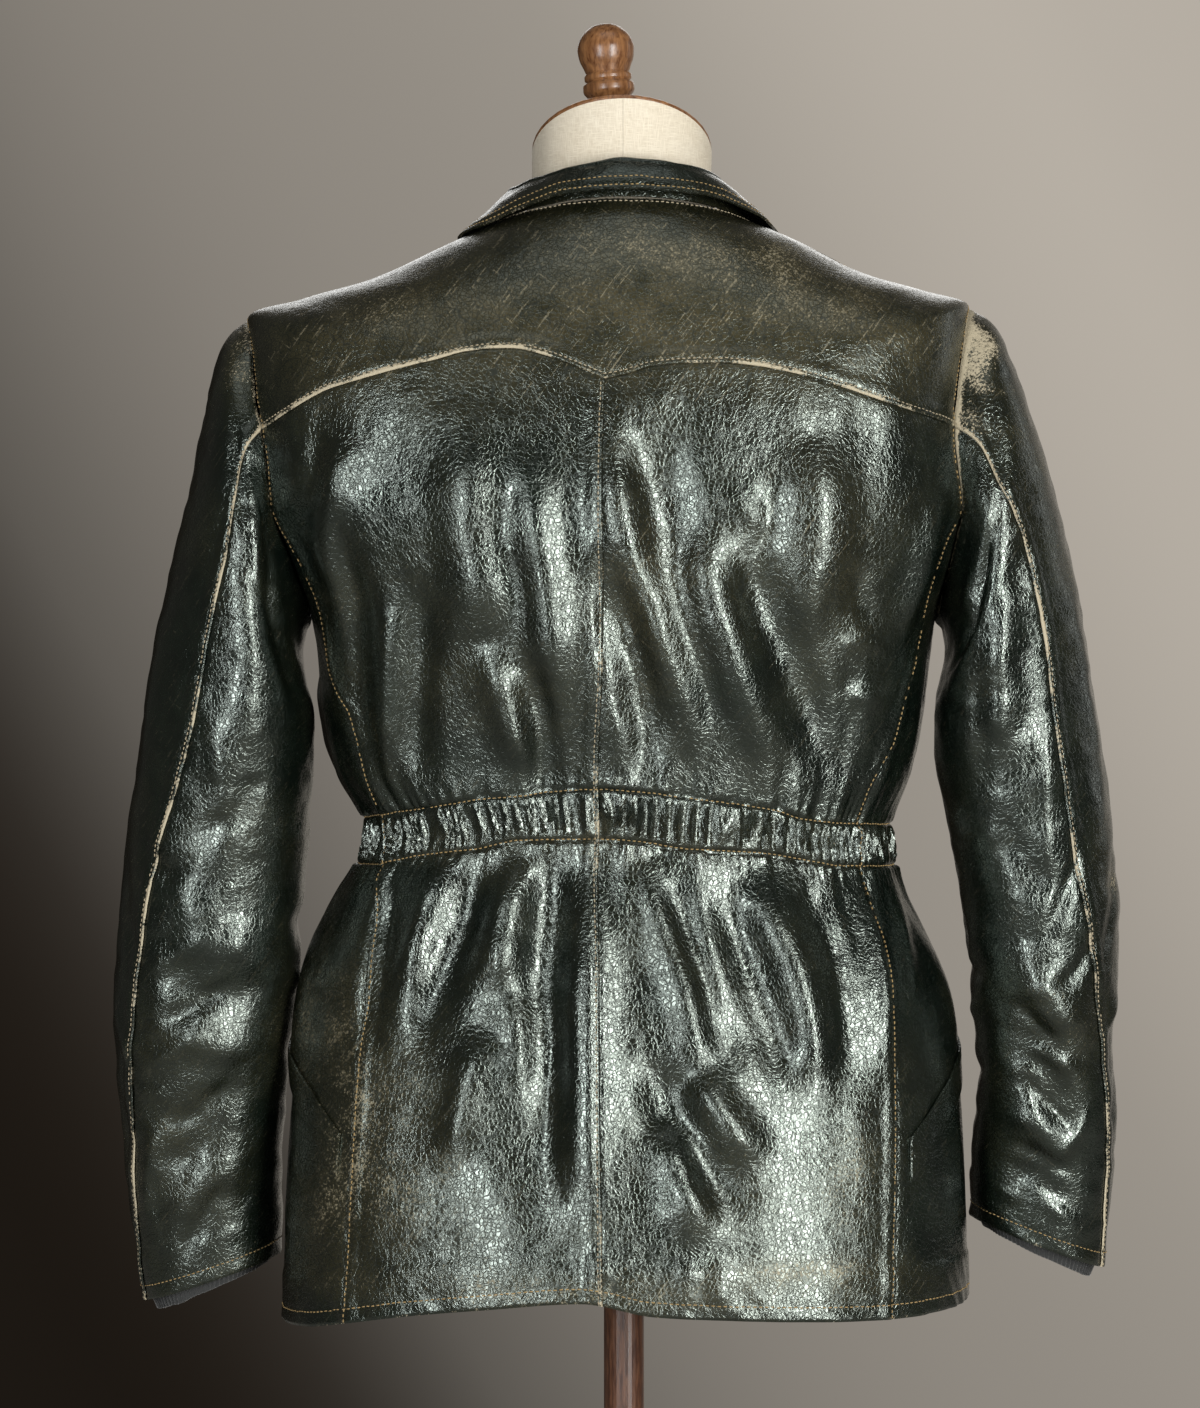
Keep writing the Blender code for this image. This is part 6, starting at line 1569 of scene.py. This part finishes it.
def cuff_rows(inside_grid, rows):
    """Rings of the cuff's outer face, from its lower edge up into the sleeve."""
    count = RIBS * RIB_POINTS
    wave = np.cos(2 * np.pi * np.arange(count) / RIB_POINTS)
    high_row = int(np.searchsorted(-rows, -rows[0] * 11.3 / 12.0))
    lines = []
    for number in (high_row, 0, 0):
        ring = np.concatenate([inside_grid[number], inside_grid[number, :1]])
        run = run_along(ring)
        lines.append(at_places(np.linspace(0.0, run[-1], count, endpoint=False), run, ring))
    insides, drops = (0.0010, 0.0042, 0.0072), (0.0, 0.0, KNIT_OVERHANG)
    made_rows = []
    for t in np.concatenate([np.linspace(0.0, 1.0, 12), np.linspace(1.0, 2.0, 9)[1:]])[::-1]:
        k = min(int(t), 1)
        f = t - k
        line = lines[k] * (1 - f) + lines[k + 1] * f
        inside = insides[k] * (1 - f) + insides[k + 1] * f
        inward = inside + RIB_DEPTH - RIB_DEPTH * wave
        line = line + toward_middle(line, line.mean(axis=0)) * inward[:, None]
        line[:, 2] -= drops[k] * (1 - f) + drops[k + 1] * f
        line[:, 2] += 0.0005 * ripple(np.arange(count) * 0.001, 0.02, 5.0) * (t / 2)
        made_rows.append(line)
    return np.array(made_rows)


for side, word in SIDES:
    outer = cuff_rows(*SLEEVE_INSIDES[word])
    toward = toward_middle(outer, outer.mean(axis=1, keepdims=True))
    inner = outer[:, ::3] + toward[:, ::3] * KNIT_WALL
    (n_rows, n), m = outer.shape[:2], inner.shape[1]
    faces = quads(n_rows, n, closed=True).tolist()
    faces += quads(n_rows, m, n_rows * n, closed=True)[:, ::-1].tolist()
    # two rims join the outside to the inside
    for r in (0, n_rows - 1):
        edge = r * n + np.arange(n + 1) % n
        rim = rim_faces(edge, n_rows * n + r * m + np.arange(m + 1) % m)
        faces += rim if r == 0 else [face[::-1] for face in rim]
    points = np.concatenate([outer.reshape(-1, 3), inner.reshape(-1, 3)])
    made = make_mesh(f"wind_cuff_{word}_knit", points, faces)
    dress(made, KNIT, slot="knit", nodes=(f"wind_cuff_{word}",))
    lengths = np.linalg.norm(np.diff(outer, axis=0), axis=-1).sum(axis=0).mean()
    around = np.linalg.norm(np.roll(outer, -1, axis=1) - outer, axis=-1).sum(axis=1).mean()
    AREAS[made.name] = float(lengths * around)
    MADE[made.name] = made
    print(made.name, len(faces), "faces")

# %% [markdown]
# ## Stitches
#
# The jacket is sewn with pale waxed thread, and rows of small stitches are what makes its seams read as
# seams. Every stitch is a tiny spindle that lies along a line of the cloth, beside an edge or along
# one row of a panel. Instances on a curve would be lighter, but the export needs real meshes, so each
# thread is one mesh. Some stitches are missing, as in old seams.

# %% Stitch lines
STITCHES = {"cream": [], "tan": []}
THREAD_LIFT = 0.00012


def resample(points, normals, pitch):
    """Places of the stitches on a line, with the way along it and out of the cloth."""
    run = run_along(points)
    places = np.arange(pitch * 0.6, run[-1] - pitch * 0.3, pitch)
    spots = at_places(places, run, points)
    along = unit(at_places(places + pitch * 0.25, run, points) - spots)
    outs = at_places(places, run, normals)
    return spots, along, unit(outs - along * (outs * along).sum(axis=1, keepdims=True))


def line_beside(name, edge, away):
    """Points and directions along a panel's edge, at a distance from it."""
    outer, normals = GRIDS[name]
    distance = edge_distances(outer)[edge]
    if edge in ("low", "high"):
        distance, outer, normals = distance.T, outer.transpose(1, 0, 2), normals.transpose(1, 0, 2)
    points, outs = [], []
    for d, p, n in zip(distance, outer, normals):
        order = np.argsort(d)
        points.append(at_places(away, d[order], p[order]))
        outs.append(at_places(away, d[order], n[order]))
    return np.array(points), np.array(outs)


def sew(thread, points, normals, pitch=0.0034, length=0.0025, width=0.00075, skip=0.0, seed=1):
    """Adds stitches along a line. A share of them is missing, as in old seams."""
    spots, along, outs = resample(points, normals, pitch)
    chance = np.random.default_rng(seed)
    keep = chance.random(len(spots)) >= skip
    wobble = np.cross(along, outs) * chance.normal(0.0, 0.00010, (len(spots), 1))
    for spot, way, out in zip((spots + outs * THREAD_LIFT + wobble)[keep], along[keep], outs[keep]):
        STITCHES[thread].append((spot, way, out, length, width))


def sew_edge(thread, name, edge, away, **settings):
    sew(thread, *line_beside(name, edge, away), **settings)

# %% Seams that are stitched
WIDE = {"width": 0.00085}
for side, word in SIDES:
    outside, centre = ordered(side, "left", "right")
    for panel in ("back", "side", "front"):
        name = f"{panel}_{word}_leather"
        outer, normals = GRIDS[name]
        for row in WAIST_LINES[name]:
            sew("tan", outer[row], normals[row], skip=0.02, seed=row + side, **WIDE)
        sew_edge("tan", name, "low", 0.0095, pitch=0.0038, length=0.0029, seed=side + 7, **WIDE)
    sew_edge("tan", f"back_{word}_leather", outside, 0.0028, skip=0.10, seed=side + 11)
    sew_edge("tan", f"front_{word}_leather", outside, 0.0030, skip=0.03, seed=side + 13)
    sew_edge("tan", f"front_{word}_leather", centre, 0.0028, skip=0.05, seed=side + 17)
    sew_edge("cream", f"sleeve_upper_{word}_leather", centre, 0.0030, skip=0.06, seed=side + 19)
    sew_edge("tan", f"sleeve_upper_{word}_leather", "low", 0.0100, seed=side + 23)
    sew_edge("tan", f"sleeve_under_{word}_leather", "low", 0.0100, seed=side + 29)
sew_edge("cream", "back_left_leather", "right", 0.0030, seed=41)
sew_edge("cream", "back_yoke_leather", "low", 0.0034, seed=43)
sew_edge("tan", "back_yoke_leather", "left", 0.0032, skip=0.15, seed=47)
sew_edge("tan", "back_yoke_leather", "right", 0.0032, skip=0.15, seed=53)
sew_edge("cream", "back_yoke_leather", "high", 0.0030, seed=59)
sew_edge("tan", "collar_leather", "low", COLLAR_STITCHES[0], seed=61)
sew_edge("tan", "collar_leather", "low", COLLAR_STITCHES[1], seed=67)
print("stitches:", {thread: len(places) for thread, places in STITCHES.items()})

# %% Thread meshes
END_SINK = 0.00035


def spindle_mesh(name, stitches, material):
    """Joins stitches into one mesh: each has a point, two rings of five and another point."""
    turn = np.radians(np.arange(5) * 72.0)
    spot, way, out = (np.array([s[i] for s in stitches]) for i in range(3))
    length = np.array([s[3] for s in stitches])[:, None]
    width = np.array([s[4] for s in stitches])[:, None]
    side_way = np.cross(way, out)
    sink = out * END_SINK
    points = [spot - way * length * 0.5 - sink]
    for end in (-0.30, 0.30):
        for t in turn:
            round_way = side_way * math.cos(t) + out * math.sin(t)
            points.append(spot + way * length * end + round_way * width / 2)
    points.append(spot + way * length * 0.5 - sink)
    points = np.stack(points, 1).reshape(-1, 3)
    faces = []
    for s in range(len(stitches)):
        b = s * 12
        for j in range(5):
            k = (j + 1) % 5
            faces.append((b, b + 1 + j, b + 1 + k))
            faces.append((b + 1 + j, b + 6 + j, b + 6 + k, b + 1 + k))
            faces.append((b + 11, b + 6 + k, b + 6 + j))
    dress(make_mesh(name, points, faces), material)
    print(name, len(stitches), "stitches")


spindle_mesh("stitches_cream", STITCHES["cream"], CREAM_THREAD)
spindle_mesh("stitches_tan", STITCHES["tan"], TAN_THREAD)

# %% [markdown]
# ## Dress form
#
# The form is a padded torso without limbs, covered in linen, with one sewn seam down the back. Its
# solid was built from the same rings. Here they get a smooth curve through them and more points round,
# since the linen neck is in plain view. Subdividing the solid would round its flat underside too.

# %% Dress form
NECK_TILT = math.radians(27.6)
# below its shoulders: z_back, z_side, z_front, x_left, x_right, y_side, y_back, y_front
FORM_LOW = in_metres((
    (500, 500, 500, 152, 152, 0, -102, 104),
    (516, 516, 516, 168, 168, 0, -113, 115),
    (600, 600, 600, 175, 176, 0, -115, 118),
    (670, 670, 670, 170, 171, 0, -105, 114),
    (725, 725, 725, 159, 162, 0, -92, 108),
    (770, 770, 770, 154, 157, 0, -88, 107),
    (820, 820, 820, 163, 164, 0, -96, 111),
    (880, 880, 880, 174, 174, 0, -108, 118),
    (940, 940, 940, 180, 180, 0, -117, 121),
    (990, 1000, 985, 186, 185, -2, -119, 118),
    (1030, 1050, 1015, 191, 189, -4, -116, 112),
    (1065, 1088, 1038, 193, 190, -5, -111, 104),
), *range(8))
FORM_SHOULDER_LEVELS = (2.20, 1.20, 0.60)
# its neck: z_centre, x_left, x_right, y_middle, half_depth, share of the full tilt
FORM_NECK = in_metres((
    (1166, 72, 69, -3, 57, 0.35),
    (1176, 64, 60, -1, 55, 0.6),
    (1193, 61.2, 57.8, 0, 56, 0.9),
    (1213, 61, 58.2, 1, 57.5, 1),
), *range(5))
FORM_STEP = 3.75
turn = -180.0 + np.arange(96) * FORM_STEP
sin = np.sin(np.radians(turn))
cos = np.cos(np.radians(turn))
rings = []
for z_back, z_side, z_front, x_left, x_right, y_side, y_back, y_front in FORM_LOW:
    x = np.where(sin < 0, x_left, x_right) * sin * (1 + 0.12 * cos * cos)
    y = y_side + (np.where(cos > 0, y_back, y_front) - y_side) * np.abs(cos) * (1 + 0.12 * sin * sin)
    z = z_side + (np.where(cos > 0, z_back, z_front) - z_side) * cos * cos
    rings.append(np.stack([x, y, z], -1))
for level in FORM_SHOULDER_LEVELS:
    ridge = np.clip((np.abs(sin) - 0.985) / 0.01, 0.0, 1.0)
    depth = WALL + 2 * REST_GAP + (1 - ridge) * (0.0055 + 0.0080 * np.clip(-2 * cos, 0.0, 1.0))
    depth = np.maximum(depth, 0.0042)
    rings.append(plain_body(turn, level) - plain_normal(turn, level) * depth[:, None])
for z_centre, x_left, x_right, y_middle, half_depth, tilt in FORM_NECK:
    x = np.where(sin < 0, x_left, x_right) * sin
    y = y_middle - half_depth * cos
    z = z_centre - math.tan(NECK_TILT) * tilt * (y - y_middle)
    rings.append(np.stack([x, y, z], -1))
rings = np.array(rings)
# a curve through the rings, straight from the chest on to the shoulders
chest, neck_foot = len(FORM_LOW), len(FORM_LOW) + len(FORM_SHOULDER_LEVELS)
fine_rows = np.concatenate([np.linspace(0, chest, 61), np.linspace(chest, len(rings) - 1, 61)[1:]])
low = np.clip(np.floor(fine_rows).astype(int), 0, len(rings) - 2)
f = (fine_rows - low)[:, None, None]
tangent = np.gradient(rings, axis=0)
tangent[0], tangent[-1] = rings[1] - rings[0], rings[-1] - rings[-2]
p0, p1 = rings[low], rings[low + 1]
curved = bend_between(p0, p1, tangent[low], tangent[low + 1], f)
in_curve = (fine_rows < chest) | (fine_rows > neck_foot)
fine_form = np.where(in_curve[:, None, None], curved, p0 * (1 - f) + p1 * f)
n = len(turn)
faces = quads(len(fine_form), n, closed=True).tolist()
faces.append(tuple(range(n))[::-1])
faces.append(tuple(range((len(fine_form) - 1) * n, len(fine_form) * n)))
form = make_mesh("form_linen", fine_form.reshape(-1, 3), faces, sharp=60)
dress(form, LINEN, slot="linen", nodes=("form",))
print("form rings:", len(fine_form))

# %% Centre seam of the linen
# a thin sewn ridge a little right of the centre, from side to side of its cross section: across, out
SEAM_ANGLE = 1.5
RIDGE = ((1.6, -0.2), (0.8, 0.3), (0.25, 0.6), (0.0, 0.25))
column = int(round((SEAM_ANGLE + 180.0) / FORM_STEP))
line = fine_form[61:, column]
line_out = grid_normals(fine_form, closed=True)[61:, column]
half = unit(np.cross(np.gradient(line, axis=0), line_out))
cross = [(-a, b) for a, b in RIDGE] + list(RIDGE[-2::-1])
strip = np.stack([line + half * a / 1000.0 + line_out * b / 1000.0 for a, b in cross], 1)
seam = make_mesh("form_seam", strip.reshape(-1, 3), quads(*strip.shape[:2]).tolist())
dress(seam, LINEN, slot="linen")
print("seam of the cover:", len(strip), "rows")

# %% [markdown]
# ## Finial, neck cap and stand
#
# A finial is turned on a lathe, so its shape is one outline spun round an axis. Blender's Screw modifier
# does the same from a curve. Here the outline is a table, made denser and spun, which leaves
# a crisp edge at each bead. The cap, pole and base keep their solids and only get their wood.

# %% Finial
FOOT_X = -0.0069
CAP_THICK = 0.0034
FINIAL_LEAN = math.radians(-4.5)
BALL_ROWS = 8
TURNED_SHARP = 50
# outline, top to bottom: height above its foot's middle, radius
FINIAL = in_metres((
    (83.2, 0), (82.2, 6.8), (78.4, 12.8), (73, 17), (66.5, 18.8), (60, 18), (54.5, 15.8), (50.5, 14.3),
    (48.7, 15.6), (46.2, 15.6), (44.8, 14.6), (42.5, 16.9), (38.5, 17), (34, 14), (27, 11.3), (15, 12),
    (10, 17), (-12, 17.5), (-12, 0),
), 0, 1)
foot = np.array([FOOT_X, FORM_NECK[-1][3], FORM_NECK[-1][0]])
foot = foot + np.array([0.0, 0.0, (REST_GAP * 2 + CAP_THICK) / math.cos(NECK_TILT)])
tilt_up = np.array([0.0, math.sin(NECK_TILT), math.cos(NECK_TILT)])


def denser(rows, steps):
    """A smooth outline through rows, with steps points for each of its stretches."""
    numbered = [(number, *row) for number, row in enumerate(rows)]
    places = np.linspace(0, len(rows) - 1, steps * (len(rows) - 1) + 1)
    return np.stack([smooth(numbered, column, places) for column in (1, 2)], -1)


profile = np.concatenate([denser(FINIAL[:BALL_ROWS], 4), denser(FINIAL[BALL_ROWS:], 3)])
spin = np.radians(np.arange(56) * 360.0 / 56)
points = np.stack([
    profile[:, 1:2] * np.cos(spin), profile[:, 1:2] * np.sin(spin), profile[:, :1] + 0 * spin,
], -1)
x = points[..., 0] * math.cos(FINIAL_LEAN) + points[..., 2] * math.sin(FINIAL_LEAN)
z = -points[..., 0] * math.sin(FINIAL_LEAN) + points[..., 2] * math.cos(FINIAL_LEAN)
points = np.stack([x, points[..., 1], z], -1) + foot
# nothing goes below the neck cap's face
below = np.minimum((points - foot) @ tilt_up, 0.0)
points[..., 2] -= below / tilt_up[2]
faces = quads(len(profile), len(spin), closed=True)[:, [0, 3, 2, 1]]
finial = make_mesh("finial_turned", points.reshape(-1, 3), faces, sharp=TURNED_SHARP)
dress(finial, TURNED, slot="turned_wood", nodes=("finial",))
print("finial rings:", len(profile))

# %% Solids that stay
for name, material in (("neck_cap", TURNED), ("stand_base", DARK_WOOD), ("pole", DARK_WOOD)):
    node = bpy.data.objects[name]
    node.data.materials.clear()
    node.data.materials.append(material)
    print(name, "keeps its solid and gets", material.name)

# %% [markdown]
# ## Buttons
#
# Each of the four front buttons has a raised rim, a dished face and crossed thread, and is turned as the
# finial is. It sits just where its solid sat, over a stitched buttonhole in the left front. Threads
# cross the dished face in pairs and hide where drilled holes would be, so none are drilled.

# %% Buttons
BUTTON_HEIGHTS = (1.060, 0.930, 0.715, 0.570)
# outline of a button, back to front: radius, height
BUTTON_PROFILE = in_metres((
    (0, -1.8), (9.8, -1.8), (10.5, -1), (10.5, 0.8), (9.9, 1.6), (9, 1.8), (8.1, 1.3), (7, 0.7), (0, 0.6),
), 0, 1)
HOLE_SHIFT = 0.00045
button_threads = []
front_levels = np.linspace(0.0, 15.0, 301)
heights = plain_body(180.0, front_levels)[:, 2]
front_points = GRIDS["front_left_leather"][0]
for number, height in enumerate(BUTTON_HEIGHTS, 1):
    low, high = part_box(f"button_{number}")
    middle = (np.array(low) + np.array(high)) / 2
    level = np.interp(-height, -heights, front_levels)
    out = plain_normal(np.array([180.0]), np.array([level]))[0]
    right = unit(np.cross(up, out))
    top = np.cross(out, right)
    spin = np.radians(np.arange(48) * 7.5)
    ring = np.cos(spin)[:, None] * right + np.sin(spin)[:, None] * top
    points = np.array([middle + out * z + r * ring for r, z in BUTTON_PROFILE])
    faces = quads(len(BUTTON_PROFILE), len(spin), closed=True)
    made = make_mesh(f"button_{number}_horn", points.reshape(-1, 3), faces, sharp=TURNED_SHARP)
    dress(made, BUTTON, slot="button", nodes=(f"button_{number}",))
    # two crossed pairs of threads
    for a, b in ((-1, 1), (1, 1)):
        way = (right * a + top * b) / math.sqrt(2)
        for shift in (-HOLE_SHIFT, HOLE_SHIFT):
            spot = middle + out * 0.00095 + np.cross(way, out) * shift
            button_threads.append((spot, way, out, 0.0062, 0.0007))
    # buttonhole stitches on both sides of a slit that runs sideways under the button
    for row in (-0.0011, 0.0011):
        for step in np.arange(-0.0165, 0.0170, 0.0011):
            spot = middle + right * step + top * row
            away = front_points - spot
            flat_gap = np.linalg.norm(away - (away @ out)[..., None] * out, axis=-1)
            nearest = np.unravel_index(int(flat_gap.argmin()), flat_gap.shape)
            depth = float(away[nearest] @ out)
            button_threads.append((spot + out * (depth + 0.0001), top, out, 0.0019, 0.0008))
spindle_mesh("stitches_buttons", button_threads, TAN_THREAD)
print("buttons:", len(BUTTON_HEIGHTS), "with", len(button_threads), "stitches")

# %% [markdown]
# ## What each cloth piece was cut from
#
# Leather is cut flat before it is sewn, gathered and worn, and a table says how large each cut was. It
# could be measured off the folded surface, but a gathered piece was cut wider than it looks, so the
# width and length are stated in metres, and the surface is printed beside them to compare.

# %% Sheets
# piece, flat width, flat length, flat area, how it is held, what it hangs from or lies on
CUTS = (
    ("back_yoke", 0.600, 0.285, 0.0723, "draped", "form_linen"),
    ("back_left", 0.260, 0.635, 0.1176, "gathered", "back_yoke"),
    ("back_right", 0.275, 0.635, 0.1317, "gathered", "back_yoke"),
    ("side_left", 0.215, 0.560, 0.0801, "gathered", "back_left"),
    ("side_right", 0.225, 0.560, 0.0792, "gathered", "back_right"),
    ("front_left", 0.350, 0.900, 0.1809, "gathered", "form_linen"),
    ("front_right", 0.340, 0.870, 0.1762, "gathered", "form_linen"),
    ("sleeve_upper_left", 0.245, 0.680, 0.0942, "hung", "back_yoke"),
    ("sleeve_upper_right", 0.250, 0.670, 0.0934, "hung", "back_yoke"),
    ("sleeve_under_left", 0.320, 0.610, 0.1148, "hung", "sleeve_upper_left"),
    ("sleeve_under_right", 0.320, 0.600, 0.1038, "hung", "sleeve_upper_right"),
    ("collar", 0.620, 0.100, 0.0358, "folded", "back_yoke"),
    ("pocket_left", 0.200, 0.030, 0.0042, "laid", "side_left"),
    ("pocket_right", 0.210, 0.030, 0.0043, "laid", "side_right"),
    ("wind_cuff_left_knit", 0.270, 0.065, 0.0168, "gathered", "sleeve_upper_left"),
    ("wind_cuff_right_knit", 0.270, 0.056, 0.0138, "gathered", "sleeve_upper_right"),
)
for piece, width, length, area, held, under in CUTS:
    name = piece if piece.endswith("_knit") else f"{piece}_leather"
    below = under if under == "form_linen" else f"{under}_leather"
    print(f"{name}: surface {AREAS[name]:.4f} m2, cut {width} x {length} m, flat area {area} m2")

# %% [markdown]
# ## Floor and room
#
# The jacket stands before a plain backdrop that is dark on the left and pale on the right. A lit wall
# would do it, but it would stand in the way from other sides. Here the world itself has the tones, as a
# ramp across it, and is one even grey on the side that the leather mirrors.

# %% Floor
bpy.ops.mesh.primitive_circle_add(vertices=96, radius=2.2, fill_type="NGON", location=(0.0, 0.0, 0.0))
floor = bpy.context.active_object
floor.name = "floor"
floor.data.materials.append(Nodes("pale_floor").surface(Base_Color=(0.42, 0.40, 0.37), Roughness=0.85))
print("floor:", floor.dimensions[0], "m across")

# %% Room
n = Nodes("room", bpy.data.worlds, "Background", "Generated")
bpy.context.scene.world = n.owner
parts = n.feed(n.add("ShaderNodeSeparateXYZ"), Vector=n.place).outputs
tilted = n.math("MULTIPLY_ADD", parts["Z"], 0.55, parts["X"])
across = n.feed(n.add("ShaderNodeMapRange"), Value=tilted, From_Min=-0.20, From_Max=0.20)
ramp = n.feed(n.add("ShaderNodeValToRGB"), Fac=across.outputs["Result"])
ramp.color_ramp.interpolation = "B_SPLINE"
# place on the ramp, brightness
ROOM_TONES = (
    (0.0, 0.008), (0.125, 0.014), (0.22, 0.09), (0.37, 0.205), (0.50, 0.245), (0.68, 0.285), (0.80, 0.37),
    (0.93, 0.44), (1.0, 0.42),
)
for number, (share, tone) in enumerate(ROOM_TONES):
    ends = {0: 0, len(ROOM_TONES) - 1: -1}
    stop = ramp.color_ramp.elements[ends[number]] if number in ends else ramp.color_ramp.elements.new(share)
    warm = 1.0 + 0.2 * (tone < 0.05)
    stop.color = (tone * 1.10 * warm, tone, tone * 0.87 / warm, 1.0)
forward = n.ramp(parts["Y"], 0.55, 0.93, 1.0, 0.0)
n.surface(Color=n.mix(forward, ramp.outputs["Color"], (0.082, 0.076, 0.068)), Strength=1.0)
print("tones of the room:", len(ROOM_TONES))

# %% [markdown]
# ## Lights and camera
#
# Polished leather shows its lights as streaks, so two tall narrow soft lights stand right and left of
# the camera. One big lamp would wash the folds out. A soft one hangs above, and others stand behind for
# the rim and for the front of the jacket. The camera looks level at the middle of the back.

# %% Lights
def soft_light(name, place, target, size, power, colour=(1.0, 1.0, 1.0)):
    """A rectangular lamp at a place that shines at a target."""
    data = bpy.data.lights.new(name, "AREA")
    data.shape = "RECTANGLE"
    data.size, data.size_y = size
    data.energy = power
    data.color = colour
    lamp = bpy.data.objects.new(name, data)
    bpy.context.scene.collection.objects.link(lamp)
    lamp.location = place
    away = np.array(place) - np.array(target)
    flat_length = math.hypot(away[0], away[1])
    lamp.rotation_euler = (math.atan2(flat_length, away[2]), 0.0, math.atan2(away[0], -away[1]))


soft_light("key", (1.35, -2.40, 0.97), (0.0, 0.0, 0.85), (0.44, 1.75), 80.0, (1.0, 0.99, 0.965))
soft_light("fill", (-1.15, -2.55, 0.90), (0.0, 0.0, 0.85), (0.32, 1.6), 42.0, (0.98, 0.99, 1.0))
soft_light("above", (0.1, -0.7, 2.8), (0.0, 0.0, 1.0), (1.6, 0.9), 4.4)
soft_light("rim", (1.9, 0.7, 1.5), (0.0, 0.0, 0.8), (0.4, 1.6), 2.5)
soft_light("behind", (0.0, 2.8, 2.3), (0.0, 0.0, 0.85), (1.6, 1.2), 11.0)
print("lights:", len(bpy.data.lights))

# %% Camera
camera_data = bpy.data.cameras.new("camera")
camera_data.lens = 108.1
camera_data.sensor_width = 36.0
camera_data.dof.use_dof = False
camera = bpy.data.objects.new("camera", camera_data)
bpy.context.scene.collection.objects.link(camera)
camera.location = (-0.0159, -2.8, 0.85)
camera.rotation_euler = (math.radians(90.0), 0.0, 0.0)
bpy.context.scene.camera = camera
bpy.context.scene.view_settings.view_transform = "Standard"
print("camera at:", tuple(round(v, 4) for v in camera.location))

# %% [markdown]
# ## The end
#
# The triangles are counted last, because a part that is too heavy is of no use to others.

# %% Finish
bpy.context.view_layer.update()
triangles = {}
for made in bpy.data.objects:
    if made.type == "MESH" and not made.hide_render:
        made.data.calc_loop_triangles()
        triangles[made.name] = len(made.data.loop_triangles)
print("triangles:", sum(triangles.values()), "largest:", max(triangles.values()))
